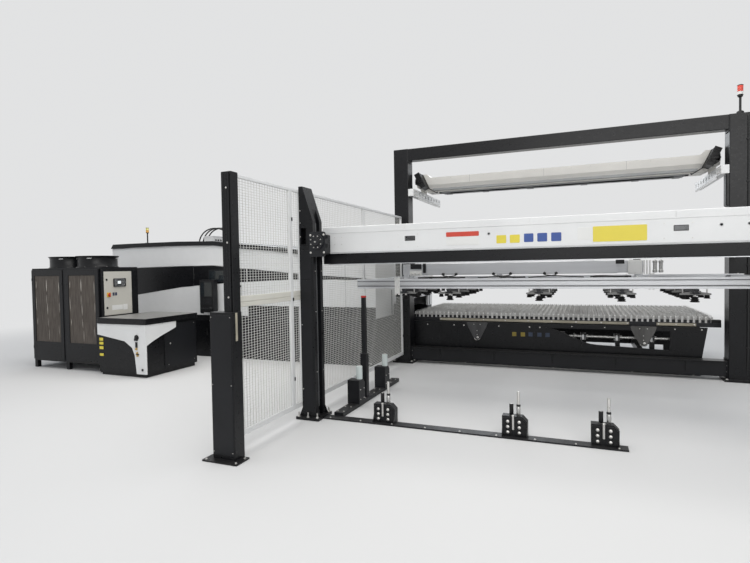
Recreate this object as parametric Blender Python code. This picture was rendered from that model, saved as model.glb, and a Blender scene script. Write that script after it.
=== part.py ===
"""Fiber laser cutting machine with an exchange table, a loading tower, a chiller and a fence.

The plan frame has X along the tower front, Y to the back and Z up. Its zero is the middle of the
tower at the face of the front columns. A root empty then centres the whole plant on the floor.
Metres throughout.
"""
import bpy
import bmesh
import math
from mathutils import Matrix, Vector

# General fits
TOUCH_GAP = 0.0003          # between faces that seat on each other
RUN_GAP = 0.004             # between faces that slide past each other
OVERRUN = 0.02              # how far a cutter passes the face that it cuts
WELD_BITE = 0.006           # how far a welded-on form reaches into its carrier
HALF = 0.5                  # share used for the middle of a span
EDGE_ROUND = 0.008          # rounding of folded sheet and tube corners

# Tower columns
TOWER_HALF_WIDTH = 2.574
FRONT_COLUMN_FACE = 0.18
FRONT_GUIDE_WIDTH = 0.10
FRONT_COLUMN_DEPTH = 0.22
FRONT_GUIDE_DEPTH = 0.045
FRONT_GUIDE_SETBACK = 0.06
FRONT_COLUMN_HEIGHT = 2.70
COLUMN_TOP_LAND = 0.05
COLUMN_SLANT_DROP = 0.40
COLUMN_POCKET_WIDTH = 0.07
COLUMN_POCKET_HEIGHT = 0.19
COLUMN_POCKET_DEPTH = 0.10
COLUMN_POCKET_Z = 2.03
COLUMN_POCKET_INSET = 0.022
FOOT_THICK = 0.03
FOOT_MARGIN = 0.06
COLUMN_INNER = TOWER_HALF_WIDTH - FRONT_COLUMN_FACE
REAR_LINE_Y = 3.635
REAR_COLUMN_WIDTH = 0.268
REAR_COLUMN_DEPTH = 0.27
REAR_COLUMN_PROUD = 0.135
REAR_COLUMN_OUT = TOWER_HALF_WIDTH + REAR_COLUMN_PROUD
PORTAL_HEIGHT = 3.873
PORTAL_BEAM_HEIGHT = 0.211
PORTAL_BEAM_DEPTH = 0.18
PORTAL_BEAM_LIP = 0.03
FLOOR_BEAM_BOTTOM = 0.0585
FLOOR_BEAM_HEIGHT = 0.23
FLOOR_BEAM_DEPTH = 0.16

# Lift carriage
GIRDER_BOTTOM = 1.92
GIRDER_HEIGHT = 0.312
GIRDER_FACE_Y = 0.25
GIRDER_SHEET = 0.02
GIRDER_LIP = 0.12
GIRDER_LOWER_LIP = 0.05
GIRDER_SLOT_X = 1.307
GIRDER_SLOT_LENGTH = 0.112
GIRDER_SLOT_HEIGHT = 0.045
GIRDER_SLOT_Z = 2.047
LOWER_BEAM_BOTTOM = 1.80
LOWER_BEAM_DEPTH = 0.12
FRAME_BOTTOM = 1.825
FRAME_RAIL_HEIGHT = 0.16
FRAME_RAIL_WIDTH = 0.10
FRAME_FRONT_WIDTH = 0.12
FRAME_REAR_WIDTH = 0.12
FRAME_REAR_HEIGHT = 0.34
FRAME_REAR_CLEAR = 0.11
FRAME_GROOVE_DEPTH = 0.045
FRAME_GROOVE_HEIGHT = 0.08
DECK_BEAM_XS = (-1.5, -0.55, 0.55, 1.5)
DECK_BEAM_WIDTH = 0.11
DECK_BEAM_HEIGHT = 0.14
DECK_TOP = 2.225
BRACKET_WIDTH = 0.208
BRACKET_OVERLAP = 0.04
BRACKET_X = COLUMN_INNER + BRACKET_OVERLAP - BRACKET_WIDTH * HALF
BRACKET_BOTTOM = 1.885
BRACKET_HEIGHT = 0.285
BRACKET_THICK = 0.016
BRACKET_ROUND = 0.03
BRACKET_ARM = 0.09
FLANGE_Z = 2.052
FLANGE_RADIUS = 0.088
FLANGE_THICK = 0.03
BOSS_RADIUS = 0.04
BOSS_THICK = 0.014
REAR_SHOE_LENGTH = 0.16
REAR_SHOE_REACH = 0.15

# Traverse bridge and suction frame
BRIDGE_Y = 2.02
BRIDGE_WIDTH = 0.20
BRIDGE_HEIGHT = 0.09
BRIDGE_BOTTOM = 1.84
BRIDGE_CARRIER_LENGTH = 0.42
BRIDGE_CARRIER_WIDTH = 0.09
BRIDGE_WHEEL_RADIUS = 0.034
BRIDGE_WHEEL_REACH = 0.035
BRIDGE_WHEEL_SPREAD = 0.30
ROD_LEFT_INSET = 0.714
ROD_RIGHT_INSET = 1.474
ROD_X_LEFT = -(TOWER_HALF_WIDTH - ROD_LEFT_INSET)
ROD_X_RIGHT = TOWER_HALF_WIDTH - ROD_RIGHT_INSET
ROD_RADIUS = 0.028
ROD_STROKE = 0.25
ROD_TOP_MARGIN = 0.03
SUCTION_PROUD = 0.02
SUCTION_HALF_LENGTH = COLUMN_INNER + SUCTION_PROUD
SUCTION_BOTTOM = 1.4625
SUCTION_PROFILE_HEIGHT = 0.1285
SUCTION_PROFILE_WIDTH = 0.065
SUCTION_GROOVE = 0.014
SUCTION_GROOVE_WIDTH = 0.018
SUCTION_FRONT_Y = 1.295
SUCTION_REAR_Y = 2.84
SUCTION_CROSS_WIDTH = 0.08
SUCTION_CROSS_HEIGHT = 0.08
SUCTION_CROSS_INSET = 0.114
SUCTION_CROSS_MIDDLE_X = -0.55
RESERVOIR_LEFT_CLEAR = 0.20
RESERVOIR_RIGHT_CLEAR = 0.24
RESERVOIR_LEFT = ROD_X_LEFT + RESERVOIR_LEFT_CLEAR
RESERVOIR_RIGHT = ROD_X_RIGHT - RESERVOIR_RIGHT_CLEAR
RESERVOIR_BOTTOM = 1.632
RESERVOIR_HEIGHT = 0.16
RESERVOIR_DEPTH = 0.16
RESERVOIR_Y = 1.75
RESERVOIR_FOOT = 0.07
ARM_XS = (-1.72, -1.12, -0.02, 0.88, 1.60)
ARM_HEIGHT = 0.055
ARM_WIDTH = 0.05
ARM_FRONT_OUT = 0.10
ARM_CUPS = 4
CUP_RADIUS = 0.06
CUP_NECK_RADIUS = 0.022
CUP_NECK_LENGTH = 0.035
CUP_FOLD = 0.03
CUP_FOLDS = 2
CUP_SIDES = 8

# Upper gantry behind the portal
GANTRY_RAIL_LENGTH = 1.87
GANTRY_RAIL_BOTTOM = 3.03
GANTRY_RAIL_HEIGHT = 0.125
GANTRY_RAIL_WIDTH = 0.10
GANTRY_HOLES = 8
GANTRY_HOLE_RADIUS = 0.035
GANTRY_Y = 4.455
GANTRY_DEPTH = 0.42
GANTRY_PROUD = 0.019
GANTRY_BOTTOM = 3.162
GANTRY_TOP = 3.435
GANTRY_EAR_TOP = 3.50
GANTRY_EAR_LENGTH = 0.20
GANTRY_EAR_SLOPE = 0.07
GANTRY_END_RISE = 0.10
GANTRY_BELLY_SHARE = 0.72
CHAIN_LINKS = 14
CHAIN_LINK_HEIGHT = 0.105
CHAIN_LINK_WIDTH = 0.12
CHAIN_LINK_NECK = 0.012
CHAIN_LINK_GAP_SHARE = 0.3
CHAIN_START_Y = 3.94
CHAIN_BOTTOM = 3.27

# Tower electrics
BOX_WIDTH = 0.035
BOX_DEPTH = 0.14
JUNCTION_BOTTOM = 2.56
JUNCTION_HEIGHT = 0.46
BEACON_INSET = 0.109
BEACON_RADIUS = 0.045
BEACON_POLE_RADIUS = 0.016
BEACON_POLE_HEIGHT = 0.14
BEACON_LAMP_HEIGHT = 0.10
BEACON_LAMPS = 3
BEACON_GROOVE = 0.006
BEACON_FOOT_RADIUS = 0.05
BEACON_FOOT_HEIGHT = 0.02

# Exchange platform and table
PLATFORM_FRONT_Y = 3.94
PLATFORM_SHEET = 0.03
PLATFORM_TOP = 0.742
PLATFORM_RIGHT_INSET = 0.336
PLATFORM_RIGHT = TOWER_HALF_WIDTH - PLATFORM_RIGHT_INSET
PLATFORM_RIGHT_SLOPE = 0.09
PLATFORM_FOOT = 0.0
CUTOUT_LEFT = -0.126
CUTOUT_CURVE_END = 0.684
CUTOUT_RIGHT_INSET = 0.503
CUTOUT_RIGHT = PLATFORM_RIGHT - CUTOUT_RIGHT_INSET
CUTOUT_TOP = 0.672
CUTOUT_BOTTOM = 0.37
CUTOUT_SHOULDER = 0.415
CUTOUT_STEPS = 8
BACK_GAP_TOP = 0.135
BACK_GAP_PROUD = 0.20
CROSS_MEMBER_XS = (-2.2, -0.9, 0.3, 1.4)
CROSS_MEMBER_WIDTH = 0.08
CROSS_MEMBER_HEIGHT = 0.12
CROSS_MEMBER_BOTTOM = 0.14
SHELF_THICK = 0.03
SHELF_DEPTH = 0.26
BEARING_SHARES = (0.1495, 0.4713, 0.7874)
BEARING_WIDTH = 0.07
BEARING_DEPTH = 0.09
BEARING_HEIGHT = 0.11
SHAFT_Y = 4.10
SHAFT_RADIUS = 0.02
SHAFT_Z = 0.53
SHAFT_LEFT = 0.25
SHAFT_RIGHT_PROUD = 0.10
SHAFT_RIGHT = CUTOUT_RIGHT + SHAFT_RIGHT_PROUD
BEARING_XS = [SHAFT_LEFT + (SHAFT_RIGHT - SHAFT_LEFT) * share for share in BEARING_SHARES]
SHAFT_COLLAR_RADIUS = 0.034
SHAFT_COLLAR_WIDTH = 0.03
BEARING_FIT = 0.0015
TABLE_LEFT_PROUD = 0.004
TABLE_RIGHT_INSET = 0.144
TABLE_LEFT = -(TOWER_HALF_WIDTH + TABLE_LEFT_PROUD)
TABLE_RIGHT = TOWER_HALF_WIDTH - TABLE_RIGHT_INSET
TABLE_FRONT_Y = 4.02
TABLE_DEPTH = 2.20
TABLE_FRAME_BOTTOM = 0.7423
TABLE_FRAME_HEIGHT = 0.065
TABLE_RAIL_WIDTH = 0.10
SLAT_PITCH = 0.0795
SLAT_THICK = 0.012
SLAT_TOP = 0.985
SLAT_BOTTOM = 0.818
SLAT_TIE_DEPTH = 0.02
SLAT_TIE_INSET = 0.03
PLATE_TOP_HALF = 0.19
PLATE_TIP_HALF = 0.04
PLATE_SHOULDER_HALF = 0.165
LIFT_PLATE_LEFT_INSET = 1.294
LIFT_PLATE_RIGHT_INSET = 1.2115
LIFT_PLATE_XS = (-(TOWER_HALF_WIDTH - LIFT_PLATE_LEFT_INSET), TOWER_HALF_WIDTH - LIFT_PLATE_RIGHT_INSET)
LIFT_PLATE_TOP = 0.749
LIFT_PLATE_BOTTOM = 0.421
LIFT_PLATE_SHOULDER = 0.66
LIFT_PLATE_THICK = 0.014
LIFT_PIN_RADIUS = 0.018
LIFT_PIN_OUT = 0.012

# Cutting cabin
CABIN_CLEAR = 0.296
CABIN_LENGTH = 6.237
CABIN_RIGHT = -(TOWER_HALF_WIDTH + CABIN_CLEAR)
CABIN_LEFT = CABIN_RIGHT - CABIN_LENGTH
CABIN_FRONT_MARGIN = 0.97
CABIN_BACK_MARGIN = 0.40
CABIN_FRONT_Y = TABLE_FRONT_Y - CABIN_FRONT_MARGIN
CABIN_BACK_Y = TABLE_FRONT_Y + TABLE_DEPTH + CABIN_BACK_MARGIN
CABIN_WALL = 0.05
BED_TOP = 0.85
BED_RECESS = 0.04
BED_PIT_BOTTOM = 0.36
BED_RAIL_WIDTH = 0.14
BED_TROUGH_MARGIN = 0.04
ROOF_X_SHARES = (0.0, 0.02, 0.10, 0.30, 0.445, 0.541, 0.64, 0.737, 0.86, 1.0)
ROOF_TOPS = (2.20, 2.325, 2.347, 2.347, 2.325, 2.25, 2.19, 2.12, 2.03, 1.93)
CAP_DROP = 0.085
CAP_OUT = 0.03
DARK_TOP_SHARES = (0.0, 0.102, 0.302, 0.445, 0.541, 0.64, 0.737, 0.86, 0.97)
DARK_TOPS = (1.80, 1.818, 1.836, 1.84, 1.781, 1.72, 1.66, 1.60, 1.555)
DARK_BOTTOMS = (1.20, 1.24, 1.408, 1.47, 1.506, 1.53, 1.547, 1.548, 1.535)
BAND_THICK = 0.03
BAND_SEAM = 0.008
DOOR_INSET = 2.68
DOOR_WIDTH = 1.29
DOOR_RIGHT = CABIN_RIGHT - DOOR_INSET
DOOR_LEFT = DOOR_RIGHT - DOOR_WIDTH
DOOR_OUT = 0.03
ENTRY_TOP = 1.08
ENTRY_MARGIN = 0.07
ROOF_BOX_INSET = 4.03
ROOF_BOX_X = CABIN_RIGHT - ROOF_BOX_INSET
ROOF_BOX_SIZE = (0.25, 0.30, 0.13)
ROOF_BOX_MARGIN = 0.67
ROOF_BOX_Y = CABIN_FRONT_Y + ROOF_BOX_MARGIN
CABLE_RADIUS = 0.014
CABLE_START_INSET = 4.30
CABLE_START_X = CABIN_RIGHT - CABLE_START_INSET
CABLE_REACH = 0.82
CABLE_RISE = 0.26
CABLE_STUB = 0.02
CABLE_POINTS = 20
CABLE_BOSS_RADIUS = 0.026
CABLE_BOSS_HEIGHT = 0.03
PANEL_INSET = 3.50
PANEL_X = CABIN_RIGHT - PANEL_INSET
PANEL_WIDTH = 0.35
PANEL_HEIGHT = 0.64
PANEL_DEPTH = 0.12
PANEL_BOTTOM = 0.92
PANEL_CLEAR = 0.06
PANEL_ARM_SIZE = 0.06
PANEL_ARM_BOTTOM = 0.74
PANEL_PIN_RADIUS = 0.025
SIGNAL_INSET = 5.54
SIGNAL_X = CABIN_RIGHT - SIGNAL_INSET
SIGNAL_POLE_RADIUS = 0.014
SIGNAL_POLE_HEIGHT = 0.25
SIGNAL_LAMP_RADIUS = 0.034
SIGNAL_LAMP_HEIGHT = 0.11
SIGNAL_FOOT_RADIUS = 0.06
SIGNAL_FOOT_HEIGHT = 0.03
SIGNAL_MARGIN = 0.32
SIGNAL_Y = CABIN_FRONT_Y + SIGNAL_MARGIN

# Cutting gantry inside the cabin
RUNWAY_MARGIN = 0.02
CUT_BRIDGE_INSET = 4.73
BRIDGE_X = CABIN_RIGHT - CUT_BRIDGE_INSET
CUT_BRIDGE_WIDTH = 0.34
CUT_BRIDGE_BOTTOM = 1.36
CUT_BRIDGE_HEIGHT = 0.26
CUT_LEG_WIDTH = 0.46
CUT_REAR_LEG_WIDTH = 0.24
CUT_HAUNCH = 0.10
CUT_LEG_TAPER = 0.09
HEAD_MARGIN = 0.80
HEAD_Y = TABLE_FRONT_Y + HEAD_MARGIN
HEAD_CARRIAGE_WIDTH = 0.10
HEAD_CARRIAGE_LENGTH = 0.32
HEAD_CARRIAGE_BOTTOM = 1.30
HEAD_CARRIAGE_HEIGHT = 0.40
HEAD_CARRIAGE_CHAMFER = 0.05
HEAD_BODY_WIDTH = 0.13
HEAD_BODY_LENGTH = 0.16
HEAD_BODY_BOTTOM = 1.22
HEAD_BODY_HEIGHT = 0.36
HEAD_CONE_TOP_RADIUS = 0.055
HEAD_CONE_TIP_RADIUS = 0.008
HEAD_CONE_HEIGHT = 0.12

# Chiller
CHILLER_LEFT = -9.025
CHILLER_RIGHT = -7.258
CHILLER_FRONT_Y = 1.178
CHILLER_BACK_Y = 2.0
CHILLER_BOTTOM = 0.13
CHILLER_TOP = 1.831
CHILLER_LEG = 0.07
FILTER_DOOR_BOTTOM = 0.16
FILTER_DOOR_TOP = 1.80
FILTER_DOOR_THICK = 0.035
FILTER_POST = 0.075
FILTER_EDGE = 0.03
FILTER_GLASS_BOTTOM = 0.485
FILTER_GLASS_TOP = 1.70
FILTER_MARGIN = 0.075
FILTER_RECESS = 0.012
CONTROL_Y_LOW = 1.272
CONTROL_Y_HIGH = 1.857
CONTROL_BOTTOM = 0.985
CONTROL_TOP = 1.755
CONTROL_THICK = 0.03
CONTROL_FRAME = 0.028
CONTROL_ROOM_DEPTH = 0.12
DISPLAY_Y = 1.59
DISPLAY_Z = 1.56
DISPLAY_SIZE = (0.24, 0.13)
DISPLAY_OUT = 0.02
SWITCH_Y = 1.365
SWITCH_Z = 1.345
SWITCH_RADIUS = 0.04
SWITCH_KNOB_RADIUS = 0.022
SWITCH_THICK = 0.016
SWITCH_KNOB_OUT = 0.022
SWITCH_GRIP_WIDTH = 0.014
COWL_XS = (-8.50, -7.78)
COWL_Y = 1.59
COWL_RADIUS = 0.335
COWL_RIM = 0.022
COWL_HEIGHT = 0.21
COWL_BASE = 0.012
COWL_BASE_MARGIN = 0.015
COWL_SIDES = 20
COWL_WELL_DEPTH = 0.12
COWL_SPIDER_WIDTH = 0.03
COWL_SPIDER_HEIGHT = 0.02
FAN_HUB_RADIUS = 0.075
FAN_HUB_HEIGHT = 0.07
FAN_TIP_RADIUS = 0.295
FAN_BLADES = 6
FAN_BLADE_CHORD = 0.15
FAN_BLADE_THICK = 0.006
FAN_BLADE_PITCH_SHARE = 0.09

# Laser source unit
SOURCE_LEFT = -7.194
SOURCE_RIGHT = -6.111
SOURCE_FRONT_Y = 1.061
SOURCE_BACK_Y = 2.266
SOURCE_SIDE_Y = 1.74
SOURCE_LID_BOTTOM = 0.878
SOURCE_LID_TOP = 0.971
SOURCE_LID_OUT = 0.012
SOURCE_BODY_INSET = 0.03
SOURCE_FOOT = 0.06
COVER_THICK = 0.024
COVER_LEG_WIDTH = 0.15
COVER_LEG_BOTTOM = 0.06
COVER_EDGE_DROP = 0.13
COVER_CURVE_LOW = 0.44

# Fence
FENCE_THICK = 0.035
FENCE_BOTTOM = 0.145
FENCE_TOP = 2.663
FENCE_FRAME = 0.032
FENCE_WIRE = 0.009
FENCE_WIRE_THICK = 0.008
FENCE_FRONT_START = -1.25
FENCE_LAP = 0.05
FENCE_FRONT_COLUMNS = 3
FENCE_REAR_COLUMNS = 3
FENCE_ROWS = 8
POST_INSET = 0.0445
POST_X = -(TOWER_HALF_WIDTH - POST_INSET)
POST_DEPTH = 0.10
POST_Y = FENCE_FRONT_START - POST_DEPTH
POST_WIDTH = 0.109
POST_TOP = 2.644
POST_SLOT = 0.012
POST_BOX_PROUD = 0.141
POST_BOX_LEFT = -(TOWER_HALF_WIDTH + POST_BOX_PROUD)
POST_BOX_WIDTH = 0.25
POST_BOX_DEPTH = 0.146
POST_BOX_TOP = 1.362
POST_FOOT_WIDTH = 0.39
POST_FOOT_DEPTH = 0.20
POST_FOOT_THICK = 0.012
POST_FOOT_MARGIN = 0.075

# Floor guides
BAR_RIGHT = 0.86
BAR_Y = 0.06
BAR_DEPTH = 0.13
BAR_THICK = 0.014
GUIDE_BLOCK_XS = (-1.60, -0.18, 0.66)
GUIDE_BLOCK_WIDTH = 0.25
GUIDE_BLOCK_DEPTH = 0.10
GUIDE_BLOCK_TOP = 0.215
GUIDE_BLOCK_CHAMFER = 0.05
GUIDE_ROD_RADIUS = 0.014
GUIDE_ROD_TOP = 0.46
GUIDE_ROD_SPREAD = 0.07
GUIDE_SHORT_ROD_SHARE = 0.72
SIDE_BAR_INSET = 0.374
SIDE_BAR_X = -(TOWER_HALF_WIDTH - SIDE_BAR_INSET)
SIDE_BAR_WIDTH = 0.12
SIDE_BAR_BACK_Y = 2.15
SIDE_BAR_THICK = 0.05
SIDE_BLOCK_YS = (0.70, 1.60)
SIDE_BLOCK_WIDTH = 0.16
SIDE_BLOCK_LENGTH = 0.18
SIDE_BLOCK_TOP = 0.34
ROLLER_RADIUS = 0.04
ROLLER_HEIGHT = 0.17
ROLLER_BOTTOM = 0.3403
ROLLER_PIN_RADIUS = 0.012
ROLLER_FIT = 0.0006
ROLLER_OUT = 0.045
ROLLER_EDGE = 0.006
SENSOR_Y = 0.98
SENSOR_WIDTH = 0.055
SENSOR_TOP = 1.38
SENSOR_BASE_WIDTH = 0.085
SENSOR_BASE_TOP = 0.62


# Materials: name, colour, roughness, metallic

MATERIAL_TABLE = {
    "black_paint": ((0.012, 0.012, 0.014), 0.42, 0.0),
    "white_paint": ((0.78, 0.79, 0.78), 0.38, 0.0),
    "grey_paint": ((0.30, 0.31, 0.32), 0.45, 0.0),
    "dark_steel": ((0.07, 0.07, 0.075), 0.5, 0.6),
    "bare_steel": ((0.42, 0.42, 0.41), 0.38, 0.9),
    "aluminium": ((0.70, 0.71, 0.73), 0.35, 0.85),
    "black_rubber": ((0.015, 0.015, 0.015), 0.7, 0.0),
    "white_nylon": ((0.62, 0.68, 0.66), 0.5, 0.0),
    "red_lamp": ((0.65, 0.05, 0.03), 0.3, 0.0),
    "yellow_lamp": ((0.75, 0.62, 0.12), 0.3, 0.0),
    "door_grey": ((0.52, 0.53, 0.49), 0.45, 0.0),
    "switch_yellow": ((0.75, 0.42, 0.03), 0.4, 0.0),
    "slat_steel": ((0.36, 0.36, 0.35), 0.5, 0.85),
}


def material(name):
    found = bpy.data.materials.get(name)
    if found:
        return found
    colour, roughness, metallic = MATERIAL_TABLE[name]
    made = bpy.data.materials.new(name)
    made.use_nodes = True
    shader = made.node_tree.nodes["Principled BSDF"]
    shader.inputs["Base Color"].default_value = (*colour, 1.0)
    shader.inputs["Roughness"].default_value = roughness
    shader.inputs["Metallic"].default_value = metallic
    made.diffuse_color = (*colour, 1.0)
    return made


def middle(low, high):
    return low + (high - low) * HALF


# Solids in plan coordinates

def raw_object(name, bm):
    bmesh.ops.recalc_face_normals(bm, faces=bm.faces)
    mesh = bpy.data.meshes.new(name)
    bm.to_mesh(mesh)
    bm.free()
    made = bpy.data.objects.new(name, mesh)
    bpy.context.scene.collection.objects.link(made)
    return made


def add_block(bm, low, high):
    """A box between two corners."""
    corners = [bm.verts.new((x, y, z)) for x in (low[0], high[0])
               for y in (low[1], high[1]) for z in (low[2], high[2])]
    for loop in ((0, 1, 3, 2), (4, 6, 7, 5), (0, 4, 5, 1), (2, 3, 7, 6), (0, 2, 6, 4), (1, 5, 7, 3)):
        bm.faces.new([corners[i] for i in loop])


def blocks(name, pairs):
    bm = bmesh.new()
    for low, high in pairs:
        add_block(bm, low, high)
    return raw_object(name, bm)


def add_prism(bm, outline, axis, start, end):
    """An outline of (u, v) points drawn out along X, Y or Z between two places."""
    place = {"X": lambda u, v, w: (w, u, v), "Y": lambda u, v, w: (u, w, v), "Z": lambda u, v,
             w: (u, v, w)}[axis]
    first = [bm.verts.new(place(u, v, start)) for u, v in outline]
    last = [bm.verts.new(place(u, v, end)) for u, v in outline]
    bm.faces.new(first)
    bm.faces.new(last)
    count = len(outline)
    for i in range(count):
        j = (i + 1) % count
        bm.faces.new((first[i], first[j], last[j], last[i]))


def prism(name, outline, axis, start, end):
    bm = bmesh.new()
    add_prism(bm, outline, axis, start, end)
    return raw_object(name, bm)


def rounded(outline, radius, steps=3):
    """The outline with every corner turned by an arc-like curve."""
    made = []
    count = len(outline)
    for i in range(count):
        before, here, after = (Vector(outline[(i + k) % count]) for k in (-1, 0, 1))
        to_before, to_after = before - here, after - here
        reach = min(radius, to_before.length * HALF * HALF, to_after.length * HALF * HALF)
        start = here + to_before.normalized() * reach
        end = here + to_after.normalized() * reach
        for k in range(steps + 1):
            t = k / steps
            point = start * (1 - t) ** 2 + here * (2 * t * (1 - t)) + end * t ** 2
            made.append((point.x, point.y))
    return made


def rectangle(u_low, u_high, v_low, v_high):
    return [(u_low, v_low), (u_high, v_low), (u_high, v_high), (u_low, v_high)]


def add_cylinder(bm, centre, radius, axis, length, sides=20, top_radius=None):
    """A round bar or cone that starts at the centre point and runs along the axis."""
    top_radius = radius if top_radius is None else top_radius
    frames = {"X": (Vector((0, 1, 0)), Vector((0, 0, 1)), Vector((1, 0, 0))),
              "Y": (Vector((1, 0, 0)), Vector((0, 0, 1)), Vector((0, 1, 0))),
              "Z": (Vector((1, 0, 0)), Vector((0, 1, 0)), Vector((0, 0, 1)))}
    u, v, w = frames[axis]
    centre = Vector(centre)
    rings = []
    for r, shift in ((radius, 0.0), (top_radius, length)):
        rings.append([bm.verts.new(centre + w * shift + u * (r * math.cos(2 * math.pi * k / sides))
                                   + v * (r * math.sin(2 * math.pi * k / sides))) for k in range(sides)])
    bm.faces.new(rings[0])
    bm.faces.new(rings[1])
    for k in range(sides):
        j = (k + 1) % sides
        bm.faces.new((rings[0][k], rings[0][j], rings[1][j], rings[1][k]))


def cylinder(name, centre, radius, axis, length, sides=20, top_radius=None):
    bm = bmesh.new()
    add_cylinder(bm, centre, radius, axis, length, sides, top_radius)
    return raw_object(name, bm)


def add_turned(bm, profile, centre, sides):
    """A closed (radius, height) profile turned about the upright line through the centre."""
    cx, cy, cz = centre
    rings = []
    for k in range(sides):
        angle = 2 * math.pi * k / sides
        rings.append([bm.verts.new((cx + r * math.cos(angle), cy + r * math.sin(angle), cz + h)) for r,
                      h in profile])
    count = len(profile)
    for k in range(sides):
        a, b = rings[k], rings[(k + 1) % sides]
        for i in range(count):
            j = (i + 1) % count
            bm.faces.new((a[i], b[i], b[j], a[j]))


def add_stack(bm, profile, centre, sides):
    """A solid of revolution from an open (radius, height) profile, closed flat at both ends."""
    cx, cy, cz = centre
    rings = []
    for r, h in profile:
        rings.append([bm.verts.new((cx + r * math.cos(2 * math.pi * k / sides),
                                    cy + r * math.sin(2 * math.pi * k / sides),
                                    cz + h)) for k in range(sides)])
    bm.faces.new(rings[0])
    bm.faces.new(rings[-1])
    for a, b in zip(rings, rings[1:]):
        for k in range(sides):
            j = (k + 1) % sides
            bm.faces.new((a[k], a[j], b[j], b[k]))


def boolean(base, tool, operation):
    """Add or take away the tool solid, then discard it."""
    tool.hide_render = True
    tool.display_type = 'WIRE'
    step = base.modifiers.new(operation.lower(), 'BOOLEAN')
    step.operation = operation
    step.solver = 'EXACT'
    step.object = tool
    bpy.context.view_layer.objects.active = base
    bpy.ops.object.modifier_apply(modifier=step.name)
    bpy.data.objects.remove(tool, do_unlink=True)
    return base


def fuse(base, *tools):
    for tool in tools:
        boolean(base, tool, 'UNION')
    return base


def cut(base, *tools):
    for tool in tools:
        boolean(base, tool, 'DIFFERENCE')
    return base


def finish(made, material_name, pivot=(0, 0, 0), smooth=True):
    """Give the solid its material, merge stray points and set its origin on the pivot."""
    mesh = made.data
    mesh.materials.clear()
    mesh.materials.append(material(material_name))
    bm = bmesh.new()
    bm.from_mesh(mesh)
    bmesh.ops.dissolve_limit(bm, angle_limit=DISSOLVE_ANGLE, verts=bm.verts, edges=bm.edges)
    bmesh.ops.triangulate(bm, faces=bm.faces)
    bmesh.ops.translate(bm, vec=-Vector(pivot), verts=bm.verts)
    bm.to_mesh(mesh)
    bm.free()
    if smooth:
        mesh.shade_smooth()
        mesh.set_sharp_from_angle(angle=SMOOTH_ANGLE)
    made.location = pivot
    made.parent = PLANT
    PIECES.append(made)
    return made


DISSOLVE_ANGLE = math.pi / 3600
SMOOTH_ANGLE = math.pi / 6
PIECES = []

for old in list(bpy.data.objects):
    bpy.data.objects.remove(old, do_unlink=True)
PLANT = bpy.data.objects.new("plant_datum", None)
bpy.context.scene.collection.objects.link(PLANT)


# Loading tower

def front_column(name, side):
    """Upright with a top that slopes to the bay, a guide channel, a pocket and a foot plate."""
    outer = side * TOWER_HALF_WIDTH
    inner = side * (TOWER_HALF_WIDTH - FRONT_COLUMN_FACE)
    floor_of_guide = inner + side * FRONT_GUIDE_DEPTH
    guide_back = FRONT_GUIDE_SETBACK + FRONT_GUIDE_WIDTH
    plan = [(outer, 0), (inner, 0), (inner, FRONT_GUIDE_SETBACK), (floor_of_guide, FRONT_GUIDE_SETBACK),
            (floor_of_guide, guide_back), (inner, guide_back), (inner, FRONT_COLUMN_DEPTH),
            (outer, FRONT_COLUMN_DEPTH)]
    made = prism(name, plan, "Z", FOOT_THICK - WELD_BITE, FRONT_COLUMN_HEIGHT)
    slope = COLUMN_SLANT_DROP / (FRONT_COLUMN_FACE - COLUMN_TOP_LAND)
    land = outer - side * COLUMN_TOP_LAND
    wedge = [(land + side * OVERRUN / slope, FRONT_COLUMN_HEIGHT + OVERRUN),
             (inner - side * OVERRUN, FRONT_COLUMN_HEIGHT + OVERRUN),
             (inner - side * OVERRUN, FRONT_COLUMN_HEIGHT - COLUMN_SLANT_DROP - OVERRUN * slope)]
    cut(made, prism("slant", wedge, "Y", -OVERRUN, FRONT_COLUMN_DEPTH + OVERRUN))
    pocket_a = side * (TOWER_HALF_WIDTH - COLUMN_POCKET_INSET)
    pocket_b = side * (TOWER_HALF_WIDTH - COLUMN_POCKET_INSET - COLUMN_POCKET_WIDTH)
    cut(made, blocks("pocket", [((min(pocket_a, pocket_b), -OVERRUN, COLUMN_POCKET_Z),
                                 (max(pocket_a, pocket_b), COLUMN_POCKET_DEPTH,
                                  COLUMN_POCKET_Z + COLUMN_POCKET_HEIGHT))]))
    foot_a, foot_b = sorted((outer + side * FOOT_MARGIN, inner - side * FOOT_MARGIN))
    foot = prism("foot", rounded(rectangle(foot_a, foot_b, -FOOT_MARGIN, FRONT_COLUMN_DEPTH + FOOT_MARGIN),
                                 EDGE_ROUND), "Z", 0, FOOT_THICK)
    fuse(made, foot)
    return finish(made, "black_paint")


def rear_column(name, side):
    a, b = sorted((side * REAR_COLUMN_OUT, side * (REAR_COLUMN_OUT - REAR_COLUMN_WIDTH)))
    plan = rounded(rectangle(a, b, REAR_LINE_Y, REAR_LINE_Y + REAR_COLUMN_DEPTH), EDGE_ROUND, 2)
    made = prism(name, plan, "Z", FOOT_THICK - WELD_BITE, PORTAL_HEIGHT)
    foot = prism("foot", rounded(rectangle(a - FOOT_MARGIN, b + FOOT_MARGIN, REAR_LINE_Y - FOOT_MARGIN,
                                           PLATFORM_FRONT_Y - LIFT_PLATE_THICK - RUN_GAP), EDGE_ROUND),
                 "Z", 0, FOOT_THICK)
    fuse(made, foot)
    if side > 0:
        fuse(made, prism("junction_box",
                         rounded(rectangle(a - BOX_WIDTH, a + WELD_BITE, REAR_LINE_Y + EDGE_ROUND,
                                                           REAR_LINE_Y + EDGE_ROUND + BOX_DEPTH), EDGE_ROUND,
                                                           2),
                         "Z", JUNCTION_BOTTOM, JUNCTION_BOTTOM + JUNCTION_HEIGHT))
    return finish(made, "black_paint")


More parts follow.
